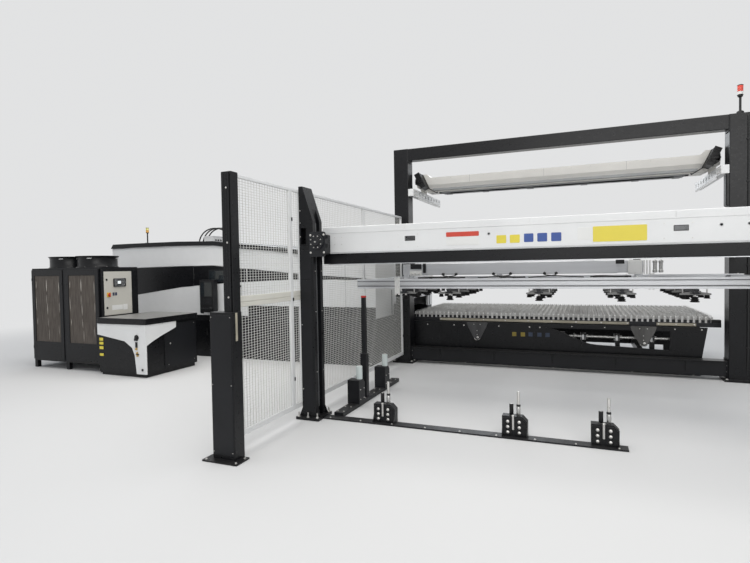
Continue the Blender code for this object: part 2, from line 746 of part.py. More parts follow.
front_column("front_left_column", -1)
front_column("front_right_column", 1)
rear_column("rear_left_column", -1)
rear_column("rear_right_column", 1)

PORTAL_HALF_SPAN = REAR_COLUMN_OUT - REAR_COLUMN_WIDTH - TOUCH_GAP
PORTAL_BEAM_TOP = PORTAL_HEIGHT
top_section = rounded([(REAR_LINE_Y, PORTAL_BEAM_TOP - PORTAL_BEAM_HEIGHT),
                       (REAR_LINE_Y + PORTAL_BEAM_DEPTH, PORTAL_BEAM_TOP - PORTAL_BEAM_HEIGHT),
                       (REAR_LINE_Y + PORTAL_BEAM_DEPTH, PORTAL_BEAM_TOP), (REAR_LINE_Y, PORTAL_BEAM_TOP)],
                      EDGE_ROUND)
finish(prism("portal_top_beam", top_section, "X", -PORTAL_HALF_SPAN, PORTAL_HALF_SPAN), "black_paint")
low_y = REAR_LINE_Y + (REAR_COLUMN_DEPTH - FLOOR_BEAM_DEPTH) * HALF
low_section = [(low_y, FLOOR_BEAM_BOTTOM), (low_y + FLOOR_BEAM_DEPTH, FLOOR_BEAM_BOTTOM),
               (low_y + FLOOR_BEAM_DEPTH, FLOOR_BEAM_BOTTOM + FLOOR_BEAM_HEIGHT),
               (low_y - PORTAL_BEAM_LIP, FLOOR_BEAM_BOTTOM + FLOOR_BEAM_HEIGHT),
               (low_y - PORTAL_BEAM_LIP, FLOOR_BEAM_BOTTOM + FLOOR_BEAM_HEIGHT - GIRDER_SHEET),
               (low_y, FLOOR_BEAM_BOTTOM + FLOOR_BEAM_HEIGHT - GIRDER_SHEET)]
finish(prism("portal_floor_beam", low_section, "X", -PORTAL_HALF_SPAN, PORTAL_HALF_SPAN), "dark_steel")

# Lift carriage
CARRIAGE_HALF_LENGTH = COLUMN_INNER - RUN_GAP
GIRDER_TOP = GIRDER_BOTTOM + GIRDER_HEIGHT
WEB_Y = GIRDER_FACE_Y + GIRDER_SHEET
channel = [(GIRDER_FACE_Y, GIRDER_BOTTOM), (WEB_Y + GIRDER_LOWER_LIP, GIRDER_BOTTOM),
           (WEB_Y + GIRDER_LOWER_LIP, GIRDER_BOTTOM + GIRDER_SHEET), (WEB_Y, GIRDER_BOTTOM + GIRDER_SHEET),
           (WEB_Y, GIRDER_TOP - GIRDER_SHEET), (WEB_Y + GIRDER_LIP, GIRDER_TOP - GIRDER_SHEET),
           (WEB_Y + GIRDER_LIP, GIRDER_TOP), (GIRDER_FACE_Y, GIRDER_TOP)]
girder = prism("carriage_front_girder", channel, "X", -CARRIAGE_HALF_LENGTH, CARRIAGE_HALF_LENGTH)
slots = []
for centre in (-GIRDER_SLOT_X, GIRDER_SLOT_X):
    slots.append(((centre - GIRDER_SLOT_LENGTH * HALF, GIRDER_FACE_Y - OVERRUN, GIRDER_SLOT_Z),
                  (centre + GIRDER_SLOT_LENGTH * HALF, WEB_Y + OVERRUN, GIRDER_SLOT_Z + GIRDER_SLOT_HEIGHT)))
cut(girder, blocks("slots", slots))
finish(girder, "white_paint")

beam_section = rounded(rectangle(WEB_Y - GIRDER_SHEET, WEB_Y - GIRDER_SHEET + LOWER_BEAM_DEPTH,
                                 LOWER_BEAM_BOTTOM,
                                 GIRDER_BOTTOM - TOUCH_GAP), EDGE_ROUND, 2)
finish(prism("carriage_lower_beam", beam_section, "X", -CARRIAGE_HALF_LENGTH, CARRIAGE_HALF_LENGTH),
       "black_paint")

FRAME_FRONT_Y = WEB_Y - GIRDER_SHEET + LOWER_BEAM_DEPTH + TOUCH_GAP
FRAME_REAR_Y = REAR_LINE_Y - FRAME_REAR_CLEAR
FRAME_HALF = CARRIAGE_HALF_LENGTH
FRAME_INNER = FRAME_HALF - FRAME_RAIL_WIDTH
frame = blocks("carriage_frame", [((-FRAME_HALF, FRAME_FRONT_Y, FRAME_BOTTOM),
                                   (FRAME_HALF, FRAME_REAR_Y, FRAME_BOTTOM + FRAME_RAIL_HEIGHT))])
cut(frame, blocks("bay", [((-FRAME_INNER, FRAME_FRONT_Y + FRAME_FRONT_WIDTH, FRAME_BOTTOM - OVERRUN),
                           (FRAME_INNER, FRAME_REAR_Y - FRAME_REAR_WIDTH,
                            FRAME_BOTTOM + FRAME_RAIL_HEIGHT + OVERRUN))]))
groove_low = FRAME_BOTTOM + (FRAME_RAIL_HEIGHT - FRAME_GROOVE_HEIGHT) * HALF
cut(frame, blocks("grooves",
                  [((-FRAME_INNER - FRAME_GROOVE_DEPTH, FRAME_FRONT_Y + FRAME_FRONT_WIDTH, groove_low),
                               (FRAME_INNER + FRAME_GROOVE_DEPTH, FRAME_REAR_Y - FRAME_REAR_WIDTH,
                                groove_low + FRAME_GROOVE_HEIGHT))]))
rear_wall = blocks("rear_wall", [((-FRAME_HALF + WELD_BITE, FRAME_REAR_Y - FRAME_REAR_WIDTH + WELD_BITE,
                                   FRAME_BOTTOM + WELD_BITE),
                                  (FRAME_HALF - WELD_BITE, FRAME_REAR_Y - WELD_BITE,
                                   FRAME_BOTTOM + FRAME_REAR_HEIGHT))])
fuse(frame, rear_wall)
deck = []
deck_front = WEB_Y + GIRDER_LIP + RUN_GAP
for x in DECK_BEAM_XS:
    deck.append(((x - DECK_BEAM_WIDTH * HALF, deck_front, DECK_TOP - DECK_BEAM_HEIGHT),
                 (x + DECK_BEAM_WIDTH * HALF, FRAME_REAR_Y - FRAME_REAR_WIDTH * HALF, DECK_TOP)))
fuse(frame, blocks("deck", deck))
feet = []
for x in DECK_BEAM_XS:
    feet.append(((x - DECK_BEAM_WIDTH * HALF + WELD_BITE, deck_front + WELD_BITE,
                  FRAME_BOTTOM + FRAME_RAIL_HEIGHT - WELD_BITE),
                 (x + DECK_BEAM_WIDTH * HALF - WELD_BITE, FRAME_FRONT_Y + FRAME_FRONT_WIDTH - WELD_BITE,
                  DECK_TOP - DECK_BEAM_HEIGHT + WELD_BITE)))
fuse(frame, blocks("deck_feet", feet))
rear_shoes = []
for side in (-1, 1):
    a, b = sorted((side * (FRAME_HALF - WELD_BITE), side * (FRAME_HALF + REAR_SHOE_REACH)))
    rear_shoes.append(((a, FRAME_REAR_Y - REAR_SHOE_LENGTH, FRAME_BOTTOM + WELD_BITE),
                       (b, REAR_LINE_Y - TOUCH_GAP, FRAME_BOTTOM + FRAME_RAIL_HEIGHT)))
fuse(frame, blocks("rear_shoes", rear_shoes))
finish(frame, "black_paint")


def lift_bracket(name, side):
    """Plate before the column with a round flange, an arm back to the girder and a shoe in the guide."""
    plate_y = -RUN_GAP - BRACKET_THICK
    arm_out = side * CARRIAGE_HALF_LENGTH
    arm_in = side * (CARRIAGE_HALF_LENGTH - BRACKET_ARM)
    near, far = sorted((side * (BRACKET_X - BRACKET_WIDTH * HALF),
                        side * (BRACKET_X + BRACKET_WIDTH * HALF)))
    made = prism(name, rounded(rectangle(near, far, BRACKET_BOTTOM, BRACKET_BOTTOM + BRACKET_HEIGHT),
                               BRACKET_ROUND, 2),
                 "Y", plate_y, -RUN_GAP)
    low, high = sorted((arm_out, arm_in))
    fuse(made, blocks("arm", [((low, plate_y + WELD_BITE, BRACKET_BOTTOM + BRACKET_ROUND),
                               (high, GIRDER_FACE_Y - TOUCH_GAP,
                                BRACKET_BOTTOM + BRACKET_HEIGHT - BRACKET_ROUND))]))
    low, high = sorted((arm_in, side * (COLUMN_INNER + FRONT_GUIDE_DEPTH - TOUCH_GAP)))
    fuse(made, blocks("shoe", [((low, FRONT_GUIDE_SETBACK + RUN_GAP, BRACKET_BOTTOM + BRACKET_ROUND * 2),
                                (high, FRONT_GUIDE_SETBACK + FRONT_GUIDE_WIDTH - RUN_GAP,
                                 BRACKET_BOTTOM + BRACKET_HEIGHT - BRACKET_ROUND * 2))]))
    face = (side * BRACKET_X, plate_y + WELD_BITE, FLANGE_Z)
    fuse(made, cylinder("flange", face, FLANGE_RADIUS, "Y", -(WELD_BITE + FLANGE_THICK), 24))
    boss = (side * BRACKET_X, plate_y - FLANGE_THICK + WELD_BITE, FLANGE_Z)
    fuse(made, cylinder("boss", boss, BOSS_RADIUS, "Y", -(WELD_BITE + BOSS_THICK), 16))
    return finish(made, "dark_steel")


lift_bracket("lift_bracket_left", -1)
lift_bracket("lift_bracket_right", 1)

# Traverse bridge: beam between the carriage rails with a wheel carrier at each end
BRIDGE_TOP = BRIDGE_BOTTOM + BRIDGE_HEIGHT
BRIDGE_HALF = FRAME_INNER - RUN_GAP
bridge = prism("traverse_bridge",
               rounded(rectangle(BRIDGE_Y - BRIDGE_WIDTH * HALF, BRIDGE_Y + BRIDGE_WIDTH * HALF,
                                                    BRIDGE_BOTTOM, BRIDGE_TOP), EDGE_ROUND, 2),
               "X", -BRIDGE_HALF, BRIDGE_HALF)
for side in (-1, 1):
    a, b = sorted((side * BRIDGE_HALF, side * (BRIDGE_HALF - BRIDGE_CARRIER_WIDTH)))
    fuse(bridge, blocks("carrier", [((a, BRIDGE_Y - BRIDGE_CARRIER_LENGTH * HALF, BRIDGE_BOTTOM + WELD_BITE),
                                     (b, BRIDGE_Y + BRIDGE_CARRIER_LENGTH * HALF, BRIDGE_TOP + WELD_BITE))]))
    wheels = bmesh.new()
    for end in (-1, 1):
        add_cylinder(wheels, (side * (BRIDGE_HALF - WELD_BITE), BRIDGE_Y + end * BRIDGE_WHEEL_SPREAD * HALF,
                              groove_low + BRIDGE_WHEEL_RADIUS + TOUCH_GAP), BRIDGE_WHEEL_RADIUS, "X",
                     side * (BRIDGE_WHEEL_REACH + WELD_BITE), 12)
    fuse(bridge, raw_object("wheels", wheels))
for x in (ROD_X_LEFT, ROD_X_RIGHT):
    cut(bridge, cylinder("bush", (x, BRIDGE_Y, BRIDGE_BOTTOM - OVERRUN), ROD_RADIUS + TOUCH_GAP, "Z",
                         BRIDGE_HEIGHT + OVERRUN * 3, 16))
finish(bridge, "grey_paint")

# Suction frame: ring of slotted profiles, two cross members and the guide rods
SUCTION_TOP = SUCTION_BOTTOM + SUCTION_PROFILE_HEIGHT
half_profile = SUCTION_PROFILE_WIDTH * HALF


def slotted(y_centre):
    """Upright profile section with two grooves on each tall side."""
    points = [(y_centre - half_profile, SUCTION_BOTTOM)]
    points.append((y_centre + half_profile, SUCTION_BOTTOM))
    levels = [SUCTION_BOTTOM + SUCTION_PROFILE_HEIGHT * share for share in GROOVE_SHARES]
    for level in levels:
        low, high = level - SUCTION_GROOVE_WIDTH * HALF, level + SUCTION_GROOVE_WIDTH * HALF
        points += [(y_centre + half_profile, low), (y_centre + half_profile - SUCTION_GROOVE, low),
                   (y_centre + half_profile - SUCTION_GROOVE, high), (y_centre + half_profile, high)]
    points += [(y_centre + half_profile, SUCTION_TOP), (y_centre - half_profile, SUCTION_TOP)]
    for level in reversed(levels):
        low, high = level - SUCTION_GROOVE_WIDTH * HALF, level + SUCTION_GROOVE_WIDTH * HALF
        points += [(y_centre - half_profile, high), (y_centre - half_profile + SUCTION_GROOVE, high),
                   (y_centre - half_profile + SUCTION_GROOVE, low), (y_centre - half_profile, low)]
    return points


GROOVE_SHARES = (0.27, 0.73)
cross_end = SUCTION_HALF_LENGTH - SUCTION_CROSS_INSET
CROSS_XS = (-cross_end, ROD_X_LEFT, SUCTION_CROSS_MIDDLE_X, ROD_X_RIGHT, cross_end)
suction = prism("suction_frame", slotted(SUCTION_FRONT_Y), "X", -SUCTION_HALF_LENGTH, SUCTION_HALF_LENGTH)
cross_low = SUCTION_TOP - SUCTION_CROSS_HEIGHT - WELD_BITE
for x in CROSS_XS:
    fuse(suction, blocks("cross", [((x - SUCTION_CROSS_WIDTH * HALF, SUCTION_FRONT_Y, cross_low),
                                    (x + SUCTION_CROSS_WIDTH * HALF, SUCTION_REAR_Y,
                                     SUCTION_TOP - WELD_BITE))]))
fuse(suction, prism("rear_profile", slotted(SUCTION_REAR_Y), "X", -SUCTION_HALF_LENGTH, SUCTION_HALF_LENGTH))
rod_top = BRIDGE_TOP + ROD_STROKE + ROD_TOP_MARGIN
for x in (ROD_X_LEFT, ROD_X_RIGHT):
    fuse(suction, cylinder("rod", (x, BRIDGE_Y, SUCTION_TOP - WELD_BITE * 4), ROD_RADIUS, "Z",
                           rod_top - SUCTION_TOP + WELD_BITE * 4, 16))
finish(suction, "aluminium")

reservoir = prism("vacuum_reservoir", rounded(rectangle(RESERVOIR_Y - RESERVOIR_DEPTH * HALF,
                                                        RESERVOIR_Y + RESERVOIR_DEPTH * HALF,
                                                        RESERVOIR_BOTTOM,
                                                        RESERVOIR_BOTTOM + RESERVOIR_HEIGHT), EDGE_ROUND, 2),
                  "X", RESERVOIR_LEFT, RESERVOIR_RIGHT)
saddles = []
for x in (SUCTION_CROSS_MIDDLE_X,):
    saddles.append(((x - RESERVOIR_FOOT * HALF, RESERVOIR_Y - RESERVOIR_FOOT * HALF,
                     SUCTION_TOP - WELD_BITE + TOUCH_GAP),
                    (x + RESERVOIR_FOOT * HALF, RESERVOIR_Y + RESERVOIR_FOOT * HALF,
                     RESERVOIR_BOTTOM + WELD_BITE)))
for x in (ROD_X_LEFT, ROD_X_RIGHT):
    end = RESERVOIR_LEFT if x < RESERVOIR_LEFT else RESERVOIR_RIGHT
    a, b = sorted((end + math.copysign(WELD_BITE, RESERVOIR_RIGHT - end) if x < end else end - WELD_BITE,
                   x + math.copysign(SUCTION_CROSS_WIDTH * HALF, x - end)))
    saddles.append(((a, RESERVOIR_Y - RESERVOIR_FOOT * HALF, RESERVOIR_BOTTOM + WELD_BITE),
                    (b, RESERVOIR_Y + RESERVOIR_FOOT * HALF,
                     RESERVOIR_BOTTOM + RESERVOIR_HEIGHT - WELD_BITE)))
fuse(reservoir, blocks("saddles", saddles))
legs = []
for x in (ROD_X_LEFT, ROD_X_RIGHT):
    legs.append(((x - RESERVOIR_FOOT * HALF, RESERVOIR_Y - RESERVOIR_FOOT * HALF + WELD_BITE,
                  SUCTION_TOP - WELD_BITE + TOUCH_GAP),
                 (x + RESERVOIR_FOOT * HALF, RESERVOIR_Y + RESERVOIR_FOOT * HALF - WELD_BITE,
                  RESERVOIR_BOTTOM + WELD_BITE * 2)))
fuse(reservoir, blocks("legs", legs))
finish(reservoir, "aluminium")


def suction_arm(name, x):
    """Arm across the frame with a row of bellows cups on short stems."""
    top = SUCTION_BOTTOM - TOUCH_GAP
    front = SUCTION_FRONT_Y - ARM_FRONT_OUT
    back = SUCTION_REAR_Y + ARM_FRONT_OUT
    made = prism(name, rounded(rectangle(x - ARM_WIDTH * HALF, x + ARM_WIDTH * HALF, top - ARM_HEIGHT, top),
                               EDGE_ROUND, 2), "Y", front, back)
    profile = [(CUP_NECK_RADIUS, top - ARM_HEIGHT + WELD_BITE)]
    level = top - ARM_HEIGHT - CUP_NECK_LENGTH
    profile.append((CUP_NECK_RADIUS, level))
    for fold in range(CUP_FOLDS):
        profile.append((CUP_RADIUS * (1 - CUP_TAPER_SHARE * (CUP_FOLDS - 1 - fold)),
                        level - CUP_FOLD * HALF))
        level -= CUP_FOLD
        profile.append((CUP_RADIUS * CUP_WAIST_SHARE, level))
    profile[-1] = (CUP_RADIUS, level)
    cups = bmesh.new()
    for k in range(ARM_CUPS):
        y = front + ARM_END_SHARE * (back - front) + k * (back - front) * (1 - ARM_END_SHARE
                                                                           - ARM_END_SHARE) / (ARM_CUPS - 1)
        add_stack(cups, profile, (x, y, 0), CUP_SIDES)
    fuse(made, raw_object("cups", cups))
    return finish(made, "black_rubber")


CUP_TAPER_SHARE = 0.12
CUP_WAIST_SHARE = 0.68
ARM_END_SHARE = 0.06
for number, arm_x in enumerate(ARM_XS, 1):
    suction_arm("suction_arm_%d" % number, arm_x)

# Upper gantry on perforated rails behind the portal
REAR_BACK_Y = REAR_LINE_Y + REAR_COLUMN_DEPTH
GANTRY_RAIL_X = PORTAL_HALF_SPAN - GANTRY_RAIL_WIDTH
GANTRY_HALF_LENGTH = PORTAL_HALF_SPAN + GANTRY_PROUD


def gantry_rail(name, side):
    a, b = sorted((side * GANTRY_RAIL_X, side * (GANTRY_RAIL_X + GANTRY_RAIL_WIDTH)))
    made = blocks(name, [((a, REAR_LINE_Y, GANTRY_RAIL_BOTTOM),
                          (b, REAR_LINE_Y + GANTRY_RAIL_LENGTH, GANTRY_RAIL_BOTTOM + GANTRY_RAIL_HEIGHT))])
    holes = bmesh.new()
    for k in range(GANTRY_HOLES):
        y = REAR_BACK_Y + (k + HALF) * (GANTRY_RAIL_LENGTH - REAR_COLUMN_DEPTH) / GANTRY_HOLES
        add_cylinder(holes, (a - OVERRUN, y, GANTRY_RAIL_BOTTOM + GANTRY_RAIL_HEIGHT * HALF),
                     GANTRY_HOLE_RADIUS,
                     "X", GANTRY_RAIL_WIDTH + OVERRUN * 2, 8)
    cut(made, raw_object("holes", holes))
    return finish(made, "white_paint")


gantry_rail("gantry_rail_left", -1)
gantry_rail("gantry_rail_right", 1)

y_low, y_high = GANTRY_Y - GANTRY_DEPTH * HALF, GANTRY_Y + GANTRY_DEPTH * HALF
ear_low = GANTRY_HALF_LENGTH - GANTRY_EAR_LENGTH
hull = [(-GANTRY_HALF_LENGTH, GANTRY_BOTTOM + GANTRY_END_RISE), (-ear_low, GANTRY_BOTTOM),
        (ear_low, GANTRY_BOTTOM),
        (GANTRY_HALF_LENGTH, GANTRY_BOTTOM + GANTRY_END_RISE), (GANTRY_HALF_LENGTH, GANTRY_EAR_TOP),
        (ear_low, GANTRY_EAR_TOP), (ear_low - GANTRY_EAR_SLOPE, GANTRY_TOP),
        (-ear_low + GANTRY_EAR_SLOPE, GANTRY_TOP),
        (-ear_low, GANTRY_EAR_TOP), (-GANTRY_HALF_LENGTH, GANTRY_EAR_TOP)]
gantry = prism("gantry_beam", hull, "Y", y_low, y_high)
belly = GANTRY_DEPTH * (1 - GANTRY_BELLY_SHARE) * HALF
for direction, edge in ((-1, y_low), (1, y_high)):
    wedge = [(edge + direction * OVERRUN, GANTRY_BOTTOM - OVERRUN),
             (edge - direction * belly, GANTRY_BOTTOM - OVERRUN),
             (edge - direction * belly, GANTRY_BOTTOM), (edge, middle(GANTRY_BOTTOM, GANTRY_TOP)),
             (edge + direction * OVERRUN, middle(GANTRY_BOTTOM, GANTRY_TOP))]
    cut(gantry, prism("belly", wedge, "X", -GANTRY_HALF_LENGTH - OVERRUN, GANTRY_HALF_LENGTH + OVERRUN))
shoes = []
for side in (-1, 1):
    a, b = sorted((side * (GANTRY_RAIL_X + WELD_BITE),
                   side * (GANTRY_RAIL_X + GANTRY_RAIL_WIDTH - WELD_BITE)))
    shoes.append(((a, GANTRY_Y - belly, GANTRY_RAIL_BOTTOM + GANTRY_RAIL_HEIGHT + TOUCH_GAP),
                  (b, GANTRY_Y + belly, GANTRY_BOTTOM + GANTRY_END_RISE + WELD_BITE)))
fuse(gantry, blocks("shoes", shoes))
finish(gantry, "white_paint")


def energy_chain(name, side):
    """Row of linked hoods that rises from the gantry end to the bracket by the column."""
    inner = GANTRY_RAIL_X - CHAIN_LINK_WIDTH * HALF
    a, b = sorted((side * inner, side * (inner + CHAIN_LINK_WIDTH)))
    length = y_low - TOUCH_GAP - CHAIN_START_Y
    pitch = length / CHAIN_LINKS
    top = CHAIN_BOTTOM + CHAIN_LINK_HEIGHT
    outline = [(CHAIN_START_Y, CHAIN_BOTTOM), (CHAIN_START_Y + length, CHAIN_BOTTOM)]
    for k in reversed(range(CHAIN_LINKS)):
        start = CHAIN_START_Y + k * pitch
        gap = pitch * CHAIN_LINK_GAP_SHARE
        outline += [(start + pitch, top - CHAIN_LINK_NECK),
                    (start + pitch - gap * HALF, top - CHAIN_LINK_NECK),
                    (start + pitch - gap * HALF, top), (start + gap * HALF, top),
                    (start + gap * HALF, top - CHAIN_LINK_NECK)]
    outline.append((CHAIN_START_Y, top - CHAIN_LINK_NECK))
    return finish(prism(name, outline, "X", a, b), "black_rubber")


energy_chain("energy_chain_left", -1)
energy_chain("energy_chain_right", 1)

# Tower electrics
profile = [(BEACON_FOOT_RADIUS, 0), (BEACON_FOOT_RADIUS, BEACON_FOOT_HEIGHT),
           (BEACON_POLE_RADIUS, BEACON_FOOT_HEIGHT),
           (BEACON_POLE_RADIUS, BEACON_POLE_HEIGHT)]
for k in range(BEACON_LAMPS):
    base = BEACON_POLE_HEIGHT + k * BEACON_LAMP_HEIGHT
    profile += [(BEACON_RADIUS, base), (BEACON_RADIUS, base + BEACON_LAMP_HEIGHT - BEACON_GROOVE),
                (BEACON_RADIUS - BEACON_GROOVE, base + BEACON_LAMP_HEIGHT - BEACON_GROOVE),
                (BEACON_RADIUS - BEACON_GROOVE, base + BEACON_LAMP_HEIGHT)]
lamp_tower = bmesh.new()
add_stack(lamp_tower, profile, (REAR_COLUMN_OUT - BEACON_INSET, REAR_LINE_Y + REAR_COLUMN_DEPTH * HALF,
                                PORTAL_HEIGHT + TOUCH_GAP), 12)
finish(raw_object("tower_beacon", lamp_tower), "red_lamp")

# Exchange platform: front and back plates on cross members, with the curved cut-out in front
platform_left = CABIN_RIGHT + TOUCH_GAP
PLATFORM_BACK_Y = TABLE_FRONT_Y + TABLE_DEPTH
plate_outline = [(platform_left, PLATFORM_FOOT), (PLATFORM_RIGHT - PLATFORM_RIGHT_SLOPE, PLATFORM_FOOT),
                 (PLATFORM_RIGHT - PLATFORM_RIGHT_SLOPE, CUTOUT_BOTTOM * HALF),
                 (PLATFORM_RIGHT, PLATFORM_TOP),
                 (platform_left, PLATFORM_TOP)]
rail_inner = TABLE_FRONT_Y + TABLE_RAIL_WIDTH
platform = prism("platform_base", plate_outline, "Y", PLATFORM_FRONT_Y, PLATFORM_FRONT_Y + PLATFORM_SHEET)
curve = []
for k in range(CUTOUT_STEPS + 1):
    t = k / CUTOUT_STEPS
    blend = t * t * (3 - 2 * t)
    curve.append((CUTOUT_LEFT + (CUTOUT_CURVE_END - CUTOUT_LEFT) * t,
                  CUTOUT_TOP + (CUTOUT_SHOULDER - CUTOUT_TOP) * blend))
window = curve + [(CUTOUT_RIGHT, CUTOUT_BOTTOM), (CUTOUT_RIGHT, CUTOUT_TOP)]
cut(platform, prism("window", window, "Y", PLATFORM_FRONT_Y - OVERRUN,
                    PLATFORM_FRONT_Y + PLATFORM_SHEET + OVERRUN))
members = []
for x in CROSS_MEMBER_XS:
    members.append(((x - CROSS_MEMBER_WIDTH * HALF, PLATFORM_FRONT_Y + WELD_BITE, CROSS_MEMBER_BOTTOM),
                    (x + CROSS_MEMBER_WIDTH * HALF, PLATFORM_BACK_Y,
                     CROSS_MEMBER_BOTTOM + CROSS_MEMBER_HEIGHT)))
fuse(platform, blocks("members", members))
fuse(platform, prism("back", plate_outline, "Y", PLATFORM_BACK_Y - WELD_BITE,
                     PLATFORM_BACK_Y + PLATFORM_SHEET))
cut(platform, blocks("back_gap", [((CUTOUT_LEFT, PLATFORM_BACK_Y - OVERRUN, -OVERRUN),
                                   (CUTOUT_RIGHT + BACK_GAP_PROUD,
                                    PLATFORM_BACK_Y + PLATFORM_SHEET + OVERRUN, BACK_GAP_TOP))]))
rail_low = PLATFORM_TOP - SHELF_THICK
fuse(platform, blocks("front_rail", [((platform_left + WELD_BITE, PLATFORM_FRONT_Y + WELD_BITE, rail_low),
                                      (PLATFORM_RIGHT - PLATFORM_RIGHT_SLOPE, rail_inner,
                                       PLATFORM_TOP - TOUCH_GAP))]))
fuse(platform, blocks("back_rail",
                      [((platform_left + WELD_BITE, PLATFORM_BACK_Y - TABLE_RAIL_WIDTH, rail_low),
                                     (PLATFORM_RIGHT - PLATFORM_RIGHT_SLOPE, PLATFORM_BACK_Y + WELD_BITE,
                                      PLATFORM_TOP - TOUCH_GAP))]))
fuse(platform, blocks("shelf", [((SHAFT_LEFT, PLATFORM_FRONT_Y + WELD_BITE, CUTOUT_BOTTOM - SHELF_THICK * 2),
                                 (SHAFT_RIGHT, PLATFORM_FRONT_Y + SHELF_DEPTH,
                                  CUTOUT_BOTTOM - SHELF_THICK))]))
pillows = []
for x in BEARING_XS:
    pillows.append(((x - BEARING_WIDTH * HALF, SHAFT_Y - BEARING_DEPTH * HALF,
                     CUTOUT_BOTTOM - SHELF_THICK - WELD_BITE),
                    (x + BEARING_WIDTH * HALF, SHAFT_Y + BEARING_DEPTH * HALF,
                     SHAFT_Z + BEARING_HEIGHT * HALF)))
fuse(platform, blocks("pillows", pillows))
cut(platform, cylinder("shaft_bore", (SHAFT_LEFT - OVERRUN, SHAFT_Y, SHAFT_Z), SHAFT_RADIUS + BEARING_FIT,
                       "X",
                       SHAFT_RIGHT - SHAFT_LEFT + OVERRUN * 2, 16))
finish(platform, "black_paint")

shaft = cylinder("drive_shaft", (SHAFT_LEFT, SHAFT_Y, SHAFT_Z), SHAFT_RADIUS, "X", SHAFT_RIGHT - SHAFT_LEFT,
                 16)
collars = bmesh.new()
for x in BEARING_XS:
    add_cylinder(collars, (x + BEARING_WIDTH * HALF + TOUCH_GAP, SHAFT_Y, SHAFT_Z), SHAFT_COLLAR_RADIUS, "X",
                 SHAFT_COLLAR_WIDTH, 12)
fuse(shaft, raw_object("collars", collars))
finish(shaft, "bare_steel", (middle(SHAFT_LEFT, SHAFT_RIGHT), SHAFT_Y, SHAFT_Z))

for plate_name, plate_x in (("lift_plate_left", LIFT_PLATE_XS[0]), ("lift_plate_right", LIFT_PLATE_XS[1])):
    outline = [(plate_x - PLATE_TIP_HALF, LIFT_PLATE_BOTTOM), (plate_x + PLATE_TIP_HALF, LIFT_PLATE_BOTTOM),
               (plate_x + PLATE_SHOULDER_HALF, LIFT_PLATE_SHOULDER),
               (plate_x + PLATE_TOP_HALF, LIFT_PLATE_TOP - RUN_GAP * 2),
               (plate_x - PLATE_TOP_HALF, LIFT_PLATE_TOP - RUN_GAP * 2),
               (plate_x - PLATE_SHOULDER_HALF, LIFT_PLATE_SHOULDER)]
    plate_back = PLATFORM_FRONT_Y - TOUCH_GAP
    made = prism(plate_name, rounded(outline, PLATE_TIP_HALF), "Y", plate_back - LIFT_PLATE_THICK,
                 plate_back)
    fuse(made, cylinder("pin", (plate_x, plate_back - LIFT_PLATE_THICK + WELD_BITE,
                                LIFT_PLATE_BOTTOM + PLATE_TIP_HALF),
                        LIFT_PIN_RADIUS, "Y", -(LIFT_PIN_OUT + WELD_BITE), 12))
    finish(made, "grey_paint")

# Exchange table: low frame with edge strips, ties and upright slats
table = blocks("exchange_table", [((TABLE_LEFT, TABLE_FRONT_Y, TABLE_FRAME_BOTTOM),
                                   (TABLE_RIGHT, TABLE_FRONT_Y + TABLE_DEPTH,
                                    TABLE_FRAME_BOTTOM + TABLE_FRAME_HEIGHT))])
cut(table, blocks("table_bay", [((TABLE_LEFT + TABLE_RAIL_WIDTH, TABLE_FRONT_Y + TABLE_RAIL_WIDTH,
                                  TABLE_FRAME_BOTTOM - OVERRUN),
                                 (TABLE_RIGHT - TABLE_RAIL_WIDTH,
                                  TABLE_FRONT_Y + TABLE_DEPTH - TABLE_RAIL_WIDTH,
                                  TABLE_FRAME_BOTTOM + TABLE_FRAME_HEIGHT + OVERRUN))]))
ties = []
tie_front, tie_back = TABLE_FRONT_Y + SLAT_TIE_INSET, TABLE_FRONT_Y + TABLE_DEPTH - SLAT_TIE_INSET
for y in (tie_front, tie_back):
    ties.append(((TABLE_LEFT + WELD_BITE, y - SLAT_TIE_DEPTH * HALF, TABLE_FRAME_BOTTOM + WELD_BITE),
                 (TABLE_RIGHT - WELD_BITE, y + SLAT_TIE_DEPTH * HALF, SLAT_BOTTOM + SLAT_TIE_DEPTH)))
fuse(table, blocks("ties", ties))
slats = []
slat_count = int((TABLE_RIGHT - TABLE_LEFT - TABLE_RAIL_WIDTH) // SLAT_PITCH)
first_slat = middle(TABLE_LEFT, TABLE_RIGHT) - SLAT_PITCH * (slat_count - 1) * HALF
for k in range(slat_count):
    x = first_slat + k * SLAT_PITCH
    slats.append(((x - SLAT_THICK * HALF, tie_front, SLAT_BOTTOM),
                  (x + SLAT_THICK * HALF, tie_back, SLAT_TOP)))
fuse(table, blocks("slats", slats))
finish(table, "slat_steel", smooth=False)


# Cutting cabin

def along(shares):
    return [CABIN_LEFT + (CABIN_RIGHT - CABIN_LEFT) * share for share in shares]


def level_at(x, xs, zs):
    for (x0, z0), (x1, z1) in zip(zip(xs, zs), list(zip(xs, zs))[1:]):
        if x0 <= x <= x1:
            return z0 + (z1 - z0) * (x - x0) / (x1 - x0)
    return zs[0] if x < xs[0] else zs[-1]


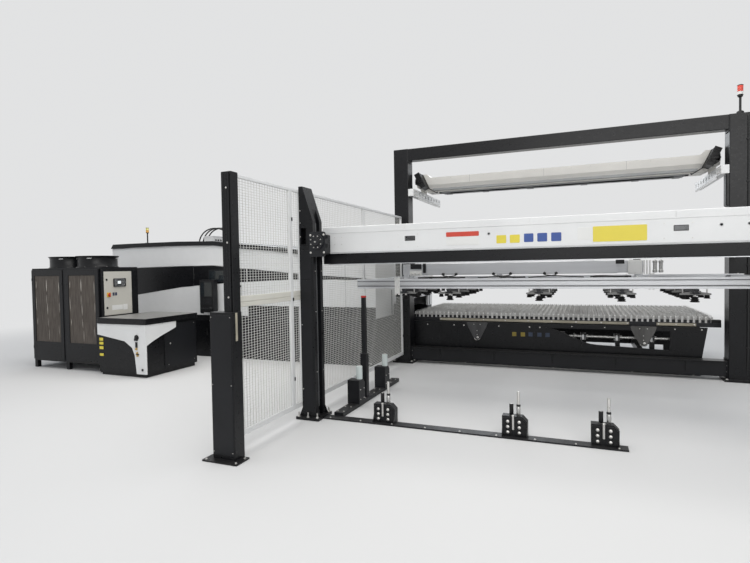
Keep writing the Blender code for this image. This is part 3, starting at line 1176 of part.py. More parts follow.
TROUGH_FRONT = TABLE_FRONT_Y - BED_TROUGH_MARGIN
TROUGH_BACK = TABLE_FRONT_Y + TABLE_DEPTH + BED_TROUGH_MARGIN
BED_RAIL_TOP = TABLE_FRAME_BOTTOM - TOUCH_GAP
bed_front = CABIN_FRONT_Y + BED_RECESS
bed_back = CABIN_BACK_Y - BED_RECESS
bed_section = [(bed_front, 0), (bed_back, 0), (bed_back, BED_TOP), (TROUGH_BACK, BED_TOP),
               (TROUGH_BACK, BED_RAIL_TOP),
               (TROUGH_BACK - BED_RAIL_WIDTH, BED_RAIL_TOP), (TROUGH_BACK - BED_RAIL_WIDTH, BED_PIT_BOTTOM),
               (TROUGH_FRONT + BED_RAIL_WIDTH, BED_PIT_BOTTOM),
               (TROUGH_FRONT + BED_RAIL_WIDTH, BED_RAIL_TOP),
               (TROUGH_FRONT, BED_RAIL_TOP), (TROUGH_FRONT, BED_TOP), (bed_front, BED_TOP)]
base = prism("cabin_base", bed_section, "X", CABIN_LEFT + BED_RECESS, CABIN_RIGHT)
panel_back = CABIN_FRONT_Y - DOOR_OUT - PANEL_CLEAR
pivot_x = PANEL_X + PANEL_WIDTH * HALF - PANEL_ARM_SIZE * HALF
pivot_y = panel_back - PANEL_ARM_SIZE * HALF
fuse(base, blocks("bed_end", [((CABIN_LEFT + BED_RECESS - WELD_BITE, bed_front + WELD_BITE, WELD_BITE),
                               (CABIN_LEFT + BED_RECESS + CABIN_WALL, bed_back - WELD_BITE,
                                BED_TOP - WELD_BITE))]))
fuse(base, blocks("panel_arm",
                  [((pivot_x - PANEL_ARM_SIZE * HALF, pivot_y - PANEL_ARM_SIZE * HALF, PANEL_ARM_BOTTOM),
                                 (pivot_x + PANEL_ARM_SIZE * HALF, bed_front + WELD_BITE,
                                  PANEL_ARM_BOTTOM + PANEL_ARM_SIZE))]))
fuse(base, cylinder("panel_pin", (pivot_x, pivot_y, PANEL_ARM_BOTTOM + PANEL_ARM_SIZE - WELD_BITE),
                    PANEL_PIN_RADIUS, "Z",
                    PANEL_BOTTOM - TOUCH_GAP - PANEL_ARM_BOTTOM - PANEL_ARM_SIZE + WELD_BITE, 14))
finish(base, "black_paint")

ROOF_XS = along(ROOF_X_SHARES)
CAP_BOTTOMS = [z - CAP_DROP for z in ROOF_TOPS]
shell_low = BED_TOP + TOUCH_GAP
shell_front = CABIN_FRONT_Y + BAND_THICK + TOUCH_GAP
shell_outline = [(CABIN_LEFT, shell_low)] + [(CABIN_RIGHT, shell_low)] + \
    [(x, z) for x, z in reversed(list(zip(ROOF_XS, CAP_BOTTOMS)))]
shell = prism("cabin_shell", shell_outline, "Y", shell_front, CABIN_BACK_Y)
room = [(CABIN_LEFT + CABIN_WALL, shell_low - OVERRUN), (CABIN_RIGHT - CABIN_WALL, shell_low - OVERRUN)]
room += [(min(max(x, CABIN_LEFT + CABIN_WALL), CABIN_RIGHT - CABIN_WALL), z - CABIN_WALL)
         for x, z in reversed(list(zip(ROOF_XS, CAP_BOTTOMS)))]
cut(shell, prism("room", room, "Y", shell_front + CABIN_WALL, CABIN_BACK_Y - CABIN_WALL))
cut(shell, blocks("entry", [((CABIN_RIGHT - CABIN_WALL - OVERRUN, TROUGH_FRONT - ENTRY_MARGIN * HALF,
                              shell_low - OVERRUN),
                             (CABIN_RIGHT + OVERRUN, TROUGH_BACK + ENTRY_MARGIN * HALF, ENTRY_TOP))]))
finish(shell, "white_paint")

cap_outline = [(x, z + TOUCH_GAP) for x, z in zip(ROOF_XS, CAP_BOTTOMS)] + \
    [(x, z) for x, z in reversed(list(zip(ROOF_XS, ROOF_TOPS)))]
cap_outline[0] = (CABIN_LEFT - CAP_OUT, CAP_BOTTOMS[0] + TOUCH_GAP)
cap_outline[-1] = (CABIN_LEFT - CAP_OUT, ROOF_TOPS[0])
cap = prism("cabin_roof_cap", cap_outline, "Y", CABIN_FRONT_Y - CAP_OUT, CABIN_BACK_Y + CAP_OUT)
box_half_x, box_half_y = ROOF_BOX_SIZE[0] * HALF, ROOF_BOX_SIZE[1] * HALF
box_base = level_at(ROOF_BOX_X, ROOF_XS, ROOF_TOPS)
fuse(cap, blocks("roof_box", [((ROOF_BOX_X - box_half_x, ROOF_BOX_Y - box_half_y, box_base - WELD_BITE * 3),
                               (ROOF_BOX_X + box_half_x, ROOF_BOX_Y + box_half_y,
                                box_base + ROOF_BOX_SIZE[2]))]))
cable_a = (CABLE_START_X, ROOF_BOX_Y)
cable_b = (cable_a[0] + CABLE_REACH, ROOF_BOX_Y)
for x, y in (cable_a, cable_b):
    z = level_at(x, ROOF_XS, ROOF_TOPS)
    fuse(cap, cylinder("boss", (x, y, z - WELD_BITE * 3), CABLE_BOSS_RADIUS, "Z",
                       CABLE_BOSS_HEIGHT + WELD_BITE * 3, 12))
finish(cap, "black_paint")


def cable(name, start, end, rise):
    """Arched cable that stands upright on a boss at each end."""
    path = [start]
    for k in range(CABLE_POINTS + 1):
        t = k / CABLE_POINTS
        lift = CABLE_STUB + math.sin(math.pi * t) ** CABLE_ARCH_POWER_SHARE * rise
        lean = math.sin(2 * math.pi * t) * CABLE_LEAN_SHARE
        path.append((start[0] + (end[0] - start[0]) * (t - lean), start[1],
                     start[2] + (end[2] - start[2]) * t + lift))
    path.append(end)
    data = bpy.data.curves.new(name, 'CURVE')
    data.dimensions = '3D'
    data.bevel_depth = CABLE_RADIUS
    data.bevel_resolution = 2
    data.use_fill_caps = True
    spline = data.splines.new('POLY')
    spline.points.add(len(path) - 1)
    for spot, point in zip(spline.points, path):
        spot.co = Vector(point).to_4d()
    data.materials.append(material("black_rubber"))
    made = bpy.data.objects.new(name, data)
    bpy.context.scene.collection.objects.link(made)
    made.parent = PLANT
    PIECES.append(made)
    return made


CABLE_ARCH_POWER_SHARE = 0.75
CABLE_LEAN_SHARE = 0.05
boss_a = level_at(cable_a[0], ROOF_XS, ROOF_TOPS) + CABLE_BOSS_HEIGHT + TOUCH_GAP
boss_b = level_at(cable_b[0], ROOF_XS, ROOF_TOPS) + CABLE_BOSS_HEIGHT + TOUCH_GAP
cable("roof_cable", (cable_a[0], cable_a[1], boss_a), (cable_b[0], cable_b[1], boss_b), CABLE_RISE)

# Front skin of the cabin: white band above, dark swoosh, white panel below with the sliding door
DARK_XS = along(DARK_TOP_SHARES)
band_back = CABIN_FRONT_Y + BAND_THICK
upper = [(CABIN_LEFT, DARK_TOPS[0] + BAND_SEAM)]
upper += [(x, z + BAND_SEAM) for x, z in list(zip(DARK_XS, DARK_TOPS))[1:]]
upper += [(CABIN_RIGHT, DARK_BOTTOMS[-1] + BAND_SEAM), (CABIN_RIGHT, CAP_BOTTOMS[-1] - TOUCH_GAP)]
upper += [(x, z - TOUCH_GAP) for x, z in list(reversed(list(zip(ROOF_XS, CAP_BOTTOMS))))[1:]]
finish(prism("cabin_upper_band", upper, "Y", CABIN_FRONT_Y, band_back), "white_paint")

dark = [(x, z) for x, z in zip(DARK_XS, DARK_BOTTOMS)] + [(x, z) for x,
                                                          z in reversed(list(zip(DARK_XS, DARK_TOPS)))]
finish(prism("cabin_dark_band", dark, "Y", CABIN_FRONT_Y + EDGE_ROUND, band_back), "black_paint")

lower = [(CABIN_LEFT, shell_low), (CABIN_RIGHT, shell_low), (CABIN_RIGHT, DARK_BOTTOMS[-1] - BAND_SEAM * 2)]
lower += [(x, z - BAND_SEAM) for x, z in reversed(list(zip(DARK_XS, DARK_BOTTOMS)))]
finish(prism("cabin_lower_panel", lower, "Y", CABIN_FRONT_Y, band_back), "white_paint")

door_inner = [x for x in DARK_XS if DOOR_LEFT < x < DOOR_RIGHT]
door = [(DOOR_LEFT, shell_low), (DOOR_RIGHT, shell_low),
        (DOOR_RIGHT, level_at(DOOR_RIGHT, DARK_XS, DARK_TOPS))]
door += [(x, level_at(x, DARK_XS, DARK_TOPS)) for x in reversed(door_inner)]
door.append((DOOR_LEFT, level_at(DOOR_LEFT, DARK_XS, DARK_TOPS)))
door_front = CABIN_FRONT_Y - TOUCH_GAP
finish(prism("cabin_door", door, "Y", door_front - DOOR_OUT, door_front), "white_paint")

# Operator panel on the upright pin of the bed's arm
panel = prism("operator_panel", rounded(rectangle(PANEL_X - PANEL_WIDTH * HALF, PANEL_X + PANEL_WIDTH * HALF,
                                                  panel_back - PANEL_DEPTH, panel_back), EDGE_ROUND * 2),
              "Z", PANEL_BOTTOM, PANEL_BOTTOM + PANEL_HEIGHT)
finish(panel, "black_paint", (pivot_x, pivot_y, PANEL_BOTTOM))

signal = bmesh.new()
signal_base = level_at(SIGNAL_X, ROOF_XS, ROOF_TOPS) + TOUCH_GAP
add_stack(signal, [(SIGNAL_FOOT_RADIUS, 0), (SIGNAL_FOOT_RADIUS, SIGNAL_FOOT_HEIGHT),
                   (SIGNAL_POLE_RADIUS, SIGNAL_FOOT_HEIGHT), (SIGNAL_POLE_RADIUS, SIGNAL_POLE_HEIGHT),
                   (SIGNAL_LAMP_RADIUS, SIGNAL_POLE_HEIGHT),
                   (SIGNAL_LAMP_RADIUS, SIGNAL_POLE_HEIGHT + SIGNAL_LAMP_HEIGHT)],
          (SIGNAL_X, SIGNAL_Y, signal_base), 14)
finish(raw_object("cabin_beacon", signal), "yellow_lamp")

# Cutting gantry inside the cabin
leg_front = TROUGH_FRONT - RUNWAY_MARGIN - CUT_LEG_WIDTH
leg_back = TROUGH_BACK + RUNWAY_MARGIN + CUT_REAR_LEG_WIDTH
beam_top = CUT_BRIDGE_BOTTOM + CUT_BRIDGE_HEIGHT
foot_z = BED_TOP + TOUCH_GAP
arch = [(leg_front, foot_z), (leg_front + CUT_LEG_WIDTH, foot_z),
        (leg_front + CUT_LEG_WIDTH - CUT_LEG_TAPER, CUT_BRIDGE_BOTTOM - CUT_HAUNCH),
        (leg_front + CUT_LEG_WIDTH + CUT_HAUNCH, CUT_BRIDGE_BOTTOM),
        (leg_back - CUT_REAR_LEG_WIDTH - CUT_HAUNCH, CUT_BRIDGE_BOTTOM),
        (leg_back - CUT_REAR_LEG_WIDTH, CUT_BRIDGE_BOTTOM - CUT_HAUNCH),
        (leg_back - CUT_REAR_LEG_WIDTH, foot_z),
        (leg_back, foot_z), (leg_back, beam_top), (leg_front + CUT_LEG_TAPER, beam_top)]
cut_bridge = prism("cutting_bridge", arch, "X", BRIDGE_X - CUT_BRIDGE_WIDTH * HALF,
                   BRIDGE_X + CUT_BRIDGE_WIDTH * HALF)
finish(cut_bridge, "grey_paint", (BRIDGE_X, middle(leg_front, leg_back), foot_z))

carriage_x = BRIDGE_X + CUT_BRIDGE_WIDTH * HALF + TOUCH_GAP
carriage_top = HEAD_CARRIAGE_BOTTOM + HEAD_CARRIAGE_HEIGHT
carriage_plan = [(HEAD_Y - HEAD_CARRIAGE_LENGTH * HALF, HEAD_CARRIAGE_BOTTOM),
                 (HEAD_Y + HEAD_CARRIAGE_LENGTH * HALF, HEAD_CARRIAGE_BOTTOM),
                 (HEAD_Y + HEAD_CARRIAGE_LENGTH * HALF, carriage_top - HEAD_CARRIAGE_CHAMFER),
                 (HEAD_Y + HEAD_CARRIAGE_LENGTH * HALF - HEAD_CARRIAGE_CHAMFER, carriage_top),
                 (HEAD_Y - HEAD_CARRIAGE_LENGTH * HALF + HEAD_CARRIAGE_CHAMFER, carriage_top),
                 (HEAD_Y - HEAD_CARRIAGE_LENGTH * HALF, carriage_top - HEAD_CARRIAGE_CHAMFER)]
finish(prism("head_carriage", carriage_plan, "X", carriage_x, carriage_x + HEAD_CARRIAGE_WIDTH),
       "dark_steel",
       (carriage_x, HEAD_Y, HEAD_CARRIAGE_BOTTOM))

head_x = carriage_x + HEAD_CARRIAGE_WIDTH + TOUCH_GAP
head = prism("cutting_head",
             rounded(rectangle(head_x, head_x + HEAD_BODY_WIDTH, HEAD_Y - HEAD_BODY_LENGTH * HALF,
                                               HEAD_Y + HEAD_BODY_LENGTH * HALF), EDGE_ROUND * 2), "Z",
             HEAD_BODY_BOTTOM, HEAD_BODY_BOTTOM + HEAD_BODY_HEIGHT)
fuse(head, cylinder("nozzle", (head_x + HEAD_BODY_WIDTH * HALF, HEAD_Y, HEAD_BODY_BOTTOM + WELD_BITE),
                    HEAD_CONE_TOP_RADIUS, "Z", -(HEAD_CONE_HEIGHT + WELD_BITE), 20, HEAD_CONE_TIP_RADIUS))
finish(head, "aluminium", (head_x, HEAD_Y, HEAD_BODY_BOTTOM))

# Chiller: cabinet with two filter doors in front, a control door at the side and fans on top
cabinet_front = CHILLER_FRONT_Y + FILTER_DOOR_THICK + TOUCH_GAP
cabinet = blocks("chiller_cabinet", [((CHILLER_LEFT, cabinet_front, CHILLER_BOTTOM),
                                      (CHILLER_RIGHT, CHILLER_BACK_Y, CHILLER_TOP))])
cut(cabinet, blocks("control_seat",
                    [((CHILLER_RIGHT - CONTROL_THICK, CONTROL_Y_LOW - RUN_GAP, CONTROL_BOTTOM - RUN_GAP),
                                      (CHILLER_RIGHT + OVERRUN, CONTROL_Y_HIGH + RUN_GAP,
                                       CONTROL_TOP + RUN_GAP))]))
cut(cabinet, blocks("control_room",
                    [((CHILLER_RIGHT - CONTROL_THICK - CONTROL_ROOM_DEPTH, CONTROL_Y_LOW + CONTROL_FRAME,
                                       CONTROL_BOTTOM + CONTROL_FRAME),
                                      (CHILLER_RIGHT - CONTROL_THICK + OVERRUN,
                                       CONTROL_Y_HIGH - CONTROL_FRAME,
                                       CONTROL_TOP - CONTROL_FRAME))]))
well = bmesh.new()
for x in COWL_XS:
    add_cylinder(well, (x, COWL_Y, CHILLER_TOP - COWL_WELL_DEPTH), COWL_RADIUS - COWL_RIM, "Z",
                 COWL_WELL_DEPTH + OVERRUN, COWL_SIDES)
cut(cabinet, raw_object("wells", well))
leg_xs = (CHILLER_LEFT, middle(CHILLER_LEFT, CHILLER_RIGHT) - CHILLER_LEG * HALF,
          CHILLER_RIGHT - CHILLER_LEG)
legs = []
for x in leg_xs:
    for y in (cabinet_front, CHILLER_BACK_Y - CHILLER_LEG):
        legs.append(((x, y, 0), (x + CHILLER_LEG, y + CHILLER_LEG, CHILLER_BOTTOM + WELD_BITE)))
fuse(cabinet, blocks("legs", legs))
finish(cabinet, "black_paint")

half_line = middle(CHILLER_LEFT, CHILLER_RIGHT)


def filter_door(name, low, high, pivot_x):
    """Framed leaf with a sunk filter field."""
    made = blocks(name, [((low, CHILLER_FRONT_Y, FILTER_DOOR_BOTTOM),
                          (high, CHILLER_FRONT_Y + FILTER_DOOR_THICK,
                                                                       FILTER_DOOR_TOP))])
    cut(made, blocks("field", [((low + FILTER_MARGIN, CHILLER_FRONT_Y - OVERRUN, FILTER_GLASS_BOTTOM),
                                (high - FILTER_MARGIN, CHILLER_FRONT_Y + FILTER_RECESS, FILTER_GLASS_TOP))]))
    return finish(made, "black_paint", (pivot_x, CHILLER_FRONT_Y, FILTER_DOOR_BOTTOM))


filter_door("filter_door_left", CHILLER_LEFT + FILTER_EDGE, half_line - FILTER_POST * HALF,
            CHILLER_LEFT + FILTER_EDGE)
filter_door("filter_door_right", half_line + FILTER_POST * HALF, CHILLER_RIGHT - FILTER_EDGE,
            CHILLER_RIGHT - FILTER_EDGE)

control = prism("control_door",
                rounded(rectangle(CONTROL_Y_LOW, CONTROL_Y_HIGH, CONTROL_BOTTOM, CONTROL_TOP),
                                        EDGE_ROUND), "X", CHILLER_RIGHT - CONTROL_THICK + TOUCH_GAP,
                                        CHILLER_RIGHT)
fuse(control, prism("display",
                    rounded(rectangle(DISPLAY_Y - DISPLAY_SIZE[0] * HALF, DISPLAY_Y + DISPLAY_SIZE[0] * HALF,
                                                 DISPLAY_Z - DISPLAY_SIZE[1] * HALF,
                                                 DISPLAY_Z + DISPLAY_SIZE[1] * HALF),
                                       EDGE_ROUND * 2), "X", CHILLER_RIGHT - WELD_BITE,
                                       CHILLER_RIGHT + DISPLAY_OUT))
finish(control, "door_grey", (CHILLER_RIGHT, CONTROL_Y_HIGH, CONTROL_BOTTOM))

switch_x = CHILLER_RIGHT + TOUCH_GAP
switch = cylinder("rotary_switch", (switch_x, SWITCH_Y, SWITCH_Z), SWITCH_RADIUS, "X", SWITCH_THICK, 20)
fuse(switch, cylinder("knob", (switch_x + SWITCH_THICK - WELD_BITE, SWITCH_Y, SWITCH_Z), SWITCH_KNOB_RADIUS,
                      "X",
                      SWITCH_KNOB_OUT * HALF + WELD_BITE, 16))
fuse(switch, blocks("grip", [((switch_x + SWITCH_THICK - WELD_BITE, SWITCH_Y - SWITCH_GRIP_WIDTH * HALF,
                               SWITCH_Z - SWITCH_RADIUS + WELD_BITE),
                              (switch_x + SWITCH_THICK + SWITCH_KNOB_OUT,
                               SWITCH_Y + SWITCH_GRIP_WIDTH * HALF,
                               SWITCH_Z + SWITCH_RADIUS - WELD_BITE))]))
finish(switch, "switch_yellow", (switch_x, SWITCH_Y, SWITCH_Z))

# Fan cowl: one base plate with two rims and spider bars, and a fan in each rim
cowl_low = CHILLER_TOP + TOUCH_GAP
cowl = blocks("fan_cowl", [((COWL_XS[0] - COWL_RADIUS - COWL_BASE_MARGIN,
                             COWL_Y - COWL_RADIUS - COWL_BASE_MARGIN, cowl_low),
                            (COWL_XS[1] + COWL_RADIUS + COWL_BASE_MARGIN,
                             COWL_Y + COWL_RADIUS + COWL_BASE_MARGIN,
                             cowl_low + COWL_BASE))])
throats = bmesh.new()
for x in COWL_XS:
    add_cylinder(throats, (x, COWL_Y, cowl_low - OVERRUN), COWL_RADIUS - COWL_RIM, "Z",
                 COWL_BASE + OVERRUN * 2, COWL_SIDES)
cut(cowl, raw_object("throats", throats))
rims = bmesh.new()
for x in COWL_XS:
    add_turned(rims, [(COWL_RADIUS - COWL_RIM + TOUCH_GAP, COWL_BASE * HALF),
                      (COWL_RADIUS, COWL_BASE * HALF),
                      (COWL_RADIUS, COWL_HEIGHT - COWL_RIM), (COWL_RADIUS + COWL_RIM, COWL_HEIGHT),
                      (COWL_RADIUS - COWL_RIM + TOUCH_GAP, COWL_HEIGHT)], (x, COWL_Y, cowl_low), COWL_SIDES)
fuse(cowl, raw_object("rims", rims))
spiders = []
for x in COWL_XS:
    spiders.append(((x - COWL_RADIUS + COWL_RIM * HALF, COWL_Y - COWL_SPIDER_WIDTH * HALF,
                     cowl_low + COWL_BASE + COWL_RIM),
                    (x + COWL_RADIUS - COWL_RIM * HALF, COWL_Y + COWL_SPIDER_WIDTH * HALF,
                     cowl_low + COWL_BASE + COWL_RIM + COWL_SPIDER_HEIGHT)))
fuse(cowl, blocks("spiders", spiders))
finish(cowl, "black_paint")


def fan(name, x):
    """Hub with pitched blades that turns above the spider bar."""
    base = cowl_low + COWL_BASE + COWL_RIM + COWL_SPIDER_HEIGHT + TOUCH_GAP
    made = cylinder(name, (x, COWL_Y, base), FAN_HUB_RADIUS, "Z", FAN_HUB_HEIGHT, 18)
    blades = bmesh.new()
    for k in range(FAN_BLADES):
        blade = bmesh.new()
        add_block(blade, (FAN_HUB_RADIUS - WELD_BITE * 2, -FAN_BLADE_CHORD * HALF, -FAN_BLADE_THICK * HALF),
                  (FAN_TIP_RADIUS, FAN_BLADE_CHORD * HALF, FAN_BLADE_THICK * HALF))
        turn = Matrix.Translation((x, COWL_Y, base + FAN_HUB_HEIGHT * HALF)) \
            @ Matrix.Rotation(2 * math.pi * k / FAN_BLADES, 4, 'Z') \
            @ Matrix.Rotation(2 * math.pi * FAN_BLADE_PITCH_SHARE * HALF, 4, 'X')
        bmesh.ops.transform(blade, matrix=turn, verts=blade.verts)
        corners = [blades.verts.new(v.co) for v in blade.verts]
        for face in blade.faces:
            blades.faces.new([corners[v.index] for v in face.verts])
        blade.free()
    fuse(made, raw_object("blades", blades))
    return finish(made, "dark_steel", (x, COWL_Y, base))


fan("fan_left", COWL_XS[0])
fan("fan_right", COWL_XS[1])

# Laser source unit with its white corner cover
body_front = SOURCE_FRONT_Y + COVER_THICK + TOUCH_GAP
body_right = SOURCE_RIGHT - COVER_THICK - TOUCH_GAP
source = blocks("source_cabinet",
                [((SOURCE_LEFT, body_front, SOURCE_FOOT), (body_right, SOURCE_BACK_Y, SOURCE_LID_BOTTOM))])
fuse(source, blocks("plinth", [((SOURCE_LEFT + SOURCE_BODY_INSET, body_front + SOURCE_BODY_INSET, 0),
                                (body_right - SOURCE_BODY_INSET, SOURCE_BACK_Y - SOURCE_BODY_INSET,
                                 SOURCE_FOOT + WELD_BITE))]))
lid_plan = rounded(rectangle(SOURCE_LEFT + TOUCH_GAP * 2, SOURCE_RIGHT + SOURCE_LID_OUT,
                             SOURCE_FRONT_Y - SOURCE_LID_OUT,
                             SOURCE_BACK_Y + SOURCE_LID_OUT), SOURCE_LID_OUT * 3, 3)
fuse(source, prism("lid", lid_plan, "Z", SOURCE_LID_BOTTOM - WELD_BITE * HALF, SOURCE_LID_TOP))
finish(source, "black_paint")


def cover_edge(far, leg, low, leg_low):
    """Lower edge of a cover wing: a shallow slope, a curve and the inner side of the leg."""
    points = [(far, low)]
    span = leg - far
    for share_u, share_v in COVER_CURVE_SHARES:
        points.append((far + span * share_u, low + (leg_low - low) * share_v))
    points.append((leg, COVER_CURVE_LOW))
    return points


COVER_CURVE_SHARES = ((0.55, 0.38), (0.74, 0.52), (0.87, 0.70), (0.95, 0.88))
cover_top = SOURCE_LID_BOTTOM - WELD_BITE * HALF - TOUCH_GAP
front_wing = [(SOURCE_LEFT, cover_top)] + cover_edge(SOURCE_LEFT, SOURCE_RIGHT - COVER_LEG_WIDTH,
                                                     cover_top - COVER_EDGE_DROP,
                                                     COVER_CURVE_LOW)
front_wing += [(SOURCE_RIGHT - COVER_LEG_WIDTH * HALF, COVER_LEG_BOTTOM), (SOURCE_RIGHT, COVER_LEG_BOTTOM),
               (SOURCE_RIGHT, cover_top)]
cover = prism("source_cover", front_wing, "Y", SOURCE_FRONT_Y, SOURCE_FRONT_Y + COVER_THICK)
side_wing = [(SOURCE_SIDE_Y, cover_top)] + cover_edge(SOURCE_SIDE_Y, SOURCE_FRONT_Y + COVER_LEG_WIDTH,
                                                      cover_top - COVER_EDGE_DROP, COVER_CURVE_LOW)
side_wing += [(SOURCE_FRONT_Y + COVER_LEG_WIDTH * HALF, COVER_LEG_BOTTOM),
              (SOURCE_FRONT_Y + COVER_THICK * HALF,
                                                                          COVER_LEG_BOTTOM),
              (SOURCE_FRONT_Y + COVER_THICK * HALF, cover_top)]
fuse(cover, prism("side_wing", side_wing, "X", SOURCE_RIGHT - COVER_THICK, SOURCE_RIGHT))
finish(cover, "white_paint")

# Fence post with the light-curtain box, on a bent foot bar
FENCE_X = -(TOWER_HALF_WIDTH + TOUCH_GAP + FENCE_THICK)
post_back = FENCE_FRONT_START - TOUCH_GAP
post_left, post_right = POST_X - POST_WIDTH * HALF, POST_X + POST_WIDTH * HALF
post_plan = [(post_left, POST_Y), (post_right - POST_SLOT * 2, POST_Y),
             (post_right - POST_SLOT * 2, POST_Y + POST_SLOT),
             (post_right - POST_SLOT, POST_Y + POST_SLOT), (post_right - POST_SLOT, POST_Y),
             (post_right, POST_Y),
             (post_right, post_back), (post_left, post_back)]
post = prism("fence_post", post_plan, "Z", POST_FOOT_THICK, POST_TOP)
box_plan = rounded(rectangle(POST_BOX_LEFT, POST_BOX_LEFT + POST_BOX_WIDTH, post_back - POST_BOX_DEPTH,
                             post_back),
                   EDGE_ROUND, 2)
fuse(post, prism("curtain_box", box_plan, "Z", POST_FOOT_THICK - WELD_BITE, POST_BOX_TOP))
foot_x = POST_BOX_LEFT + POST_BOX_WIDTH * HALF
fuse(post, prism("foot", rounded(rectangle(foot_x - POST_FOOT_WIDTH * HALF, foot_x + POST_FOOT_WIDTH * HALF,
                                           post_back - POST_BOX_DEPTH - POST_FOOT_MARGIN,
                                           post_back - POST_BOX_DEPTH - POST_FOOT_MARGIN + POST_FOOT_DEPTH),
                                           POST_FOOT_THICK),
                 "Z", 0, POST_FOOT_THICK))
finish(post, "black_paint")


def fence_panel(name, start, end, fields, columns, rows):
    """Welded frame with a field of crossed wires and, where it has two fields, a middle stile."""
    made = blocks(name, [((FENCE_X, start, FENCE_BOTTOM), (FENCE_X + FENCE_THICK, end, FENCE_TOP))])
    bays = []
    width = (end - start - FENCE_FRAME * (fields + 1)) / fields
    for k in range(fields):
        y = start + FENCE_FRAME + k * (width + FENCE_FRAME)
        bays.append((y, y + width))
    cut(made, blocks("bays", [((FENCE_X - OVERRUN, low, FENCE_BOTTOM + FENCE_FRAME),
                               (FENCE_X + FENCE_THICK + OVERRUN, high, FENCE_TOP - FENCE_FRAME)) for low,
                               high in bays]))
    wire_x = FENCE_X + (FENCE_THICK - FENCE_WIRE_THICK) * HALF
    tall = FENCE_TOP - FENCE_BOTTOM - FENCE_FRAME * 2
    for low, high in bays:
        sheet = blocks("wires", [((wire_x, low - WELD_BITE, FENCE_BOTTOM + FENCE_FRAME - WELD_BITE),
                                  (wire_x + FENCE_WIRE_THICK, high + WELD_BITE,
                                   FENCE_TOP - FENCE_FRAME + WELD_BITE))])
        gaps = []
        for i in range(columns):
            for j in range(rows):
                step_y, step_z = (high - low) / columns, tall / rows
                y, z = low + i * step_y, FENCE_BOTTOM + FENCE_FRAME + j * step_z
                gaps.append(((wire_x - OVERRUN, y + (FENCE_WIRE * HALF if i else -WELD_BITE * HALF),
                              z + (FENCE_WIRE * HALF if j else -WELD_BITE * HALF)),
                             (wire_x + FENCE_WIRE_THICK + OVERRUN,
                              y + step_y - (FENCE_WIRE * HALF if i < columns - 1 else -WELD_BITE * HALF),
                              z + step_z - (FENCE_WIRE * HALF if j < rows - 1 else -WELD_BITE * HALF))))
        cut(sheet, blocks("gaps", gaps))
        fuse(made, sheet)
    return finish(made, "white_paint", smooth=False)


fence_panel("fence_panel_front", FENCE_FRONT_START, FENCE_LAP, 1, FENCE_FRONT_COLUMNS, FENCE_ROWS)
fence_panel("fence_panel_rear", FRONT_COLUMN_DEPTH - FENCE_LAP, REAR_LINE_Y - TOUCH_GAP, 2,
            FENCE_REAR_COLUMNS,
            FENCE_ROWS)

# Floor guides in front of the bay and along its left side
bar_left = -(COLUMN_INNER - FOOT_MARGIN - TOUCH_GAP)
guide = blocks("floor_guide_front", [((bar_left, BAR_Y, 0), (BAR_RIGHT, BAR_Y + BAR_DEPTH, BAR_THICK))])
block_front = BAR_Y + BAR_DEPTH * HALF
for x in GUIDE_BLOCK_XS:
    outline = [(x - GUIDE_BLOCK_WIDTH * HALF, BAR_THICK - WELD_BITE),
               (x + GUIDE_BLOCK_WIDTH * HALF, BAR_THICK - WELD_BITE),
               (x + GUIDE_BLOCK_WIDTH * HALF, GUIDE_BLOCK_TOP - GUIDE_BLOCK_CHAMFER),
               (x + GUIDE_BLOCK_WIDTH * HALF - GUIDE_BLOCK_CHAMFER, GUIDE_BLOCK_TOP),
               (x - GUIDE_BLOCK_WIDTH * HALF, GUIDE_BLOCK_TOP)]
    fuse(guide, prism("block", outline, "Y", block_front, block_front + GUIDE_BLOCK_DEPTH))
    rods = bmesh.new()
    for shift in (-1, 1):
        add_cylinder(rods, (x + shift * GUIDE_ROD_SPREAD * HALF, block_front + GUIDE_BLOCK_DEPTH * HALF,
                            GUIDE_BLOCK_TOP - GUIDE_BLOCK_CHAMFER), GUIDE_ROD_RADIUS, "Z",
                     (GUIDE_ROD_TOP if shift > 0 else GUIDE_ROD_TOP * GUIDE_SHORT_ROD_SHARE)
                     - GUIDE_BLOCK_TOP + GUIDE_BLOCK_CHAMFER, 10)
    fuse(guide, raw_object("rods", rods))
finish(guide, "black_paint")

side_front = BAR_Y + BAR_DEPTH + TOUCH_GAP
side_guide = blocks("floor_guide_side", [((SIDE_BAR_X - SIDE_BAR_WIDTH * HALF, side_front, 0),
                                          (SIDE_BAR_X + SIDE_BAR_WIDTH * HALF, SIDE_BAR_BACK_Y,
                                           SIDE_BAR_THICK))])
for y in SIDE_BLOCK_YS:
    outline = [(y - SIDE_BLOCK_LENGTH * HALF, SIDE_BAR_THICK - WELD_BITE),
               (y + SIDE_BLOCK_LENGTH * HALF, SIDE_BAR_THICK - WELD_BITE),
               (y + SIDE_BLOCK_LENGTH * HALF, SIDE_BLOCK_TOP - GUIDE_BLOCK_CHAMFER),
               (y + SIDE_BLOCK_LENGTH * HALF - GUIDE_BLOCK_CHAMFER, SIDE_BLOCK_TOP),
               (y - SIDE_BLOCK_LENGTH * HALF, SIDE_BLOCK_TOP)]
    fuse(side_guide, prism("block", outline, "X", SIDE_BAR_X - SIDE_BLOCK_WIDTH * HALF,
                           SIDE_BAR_X + SIDE_BLOCK_WIDTH * HALF))
    fuse(side_guide, cylinder("roller_pin", (SIDE_BAR_X + ROLLER_OUT, y, SIDE_BLOCK_TOP - WELD_BITE * 2),
                              ROLLER_PIN_RADIUS,
                              "Z", ROLLER_BOTTOM - SIDE_BLOCK_TOP + ROLLER_HEIGHT + WELD_BITE * 3, 10))
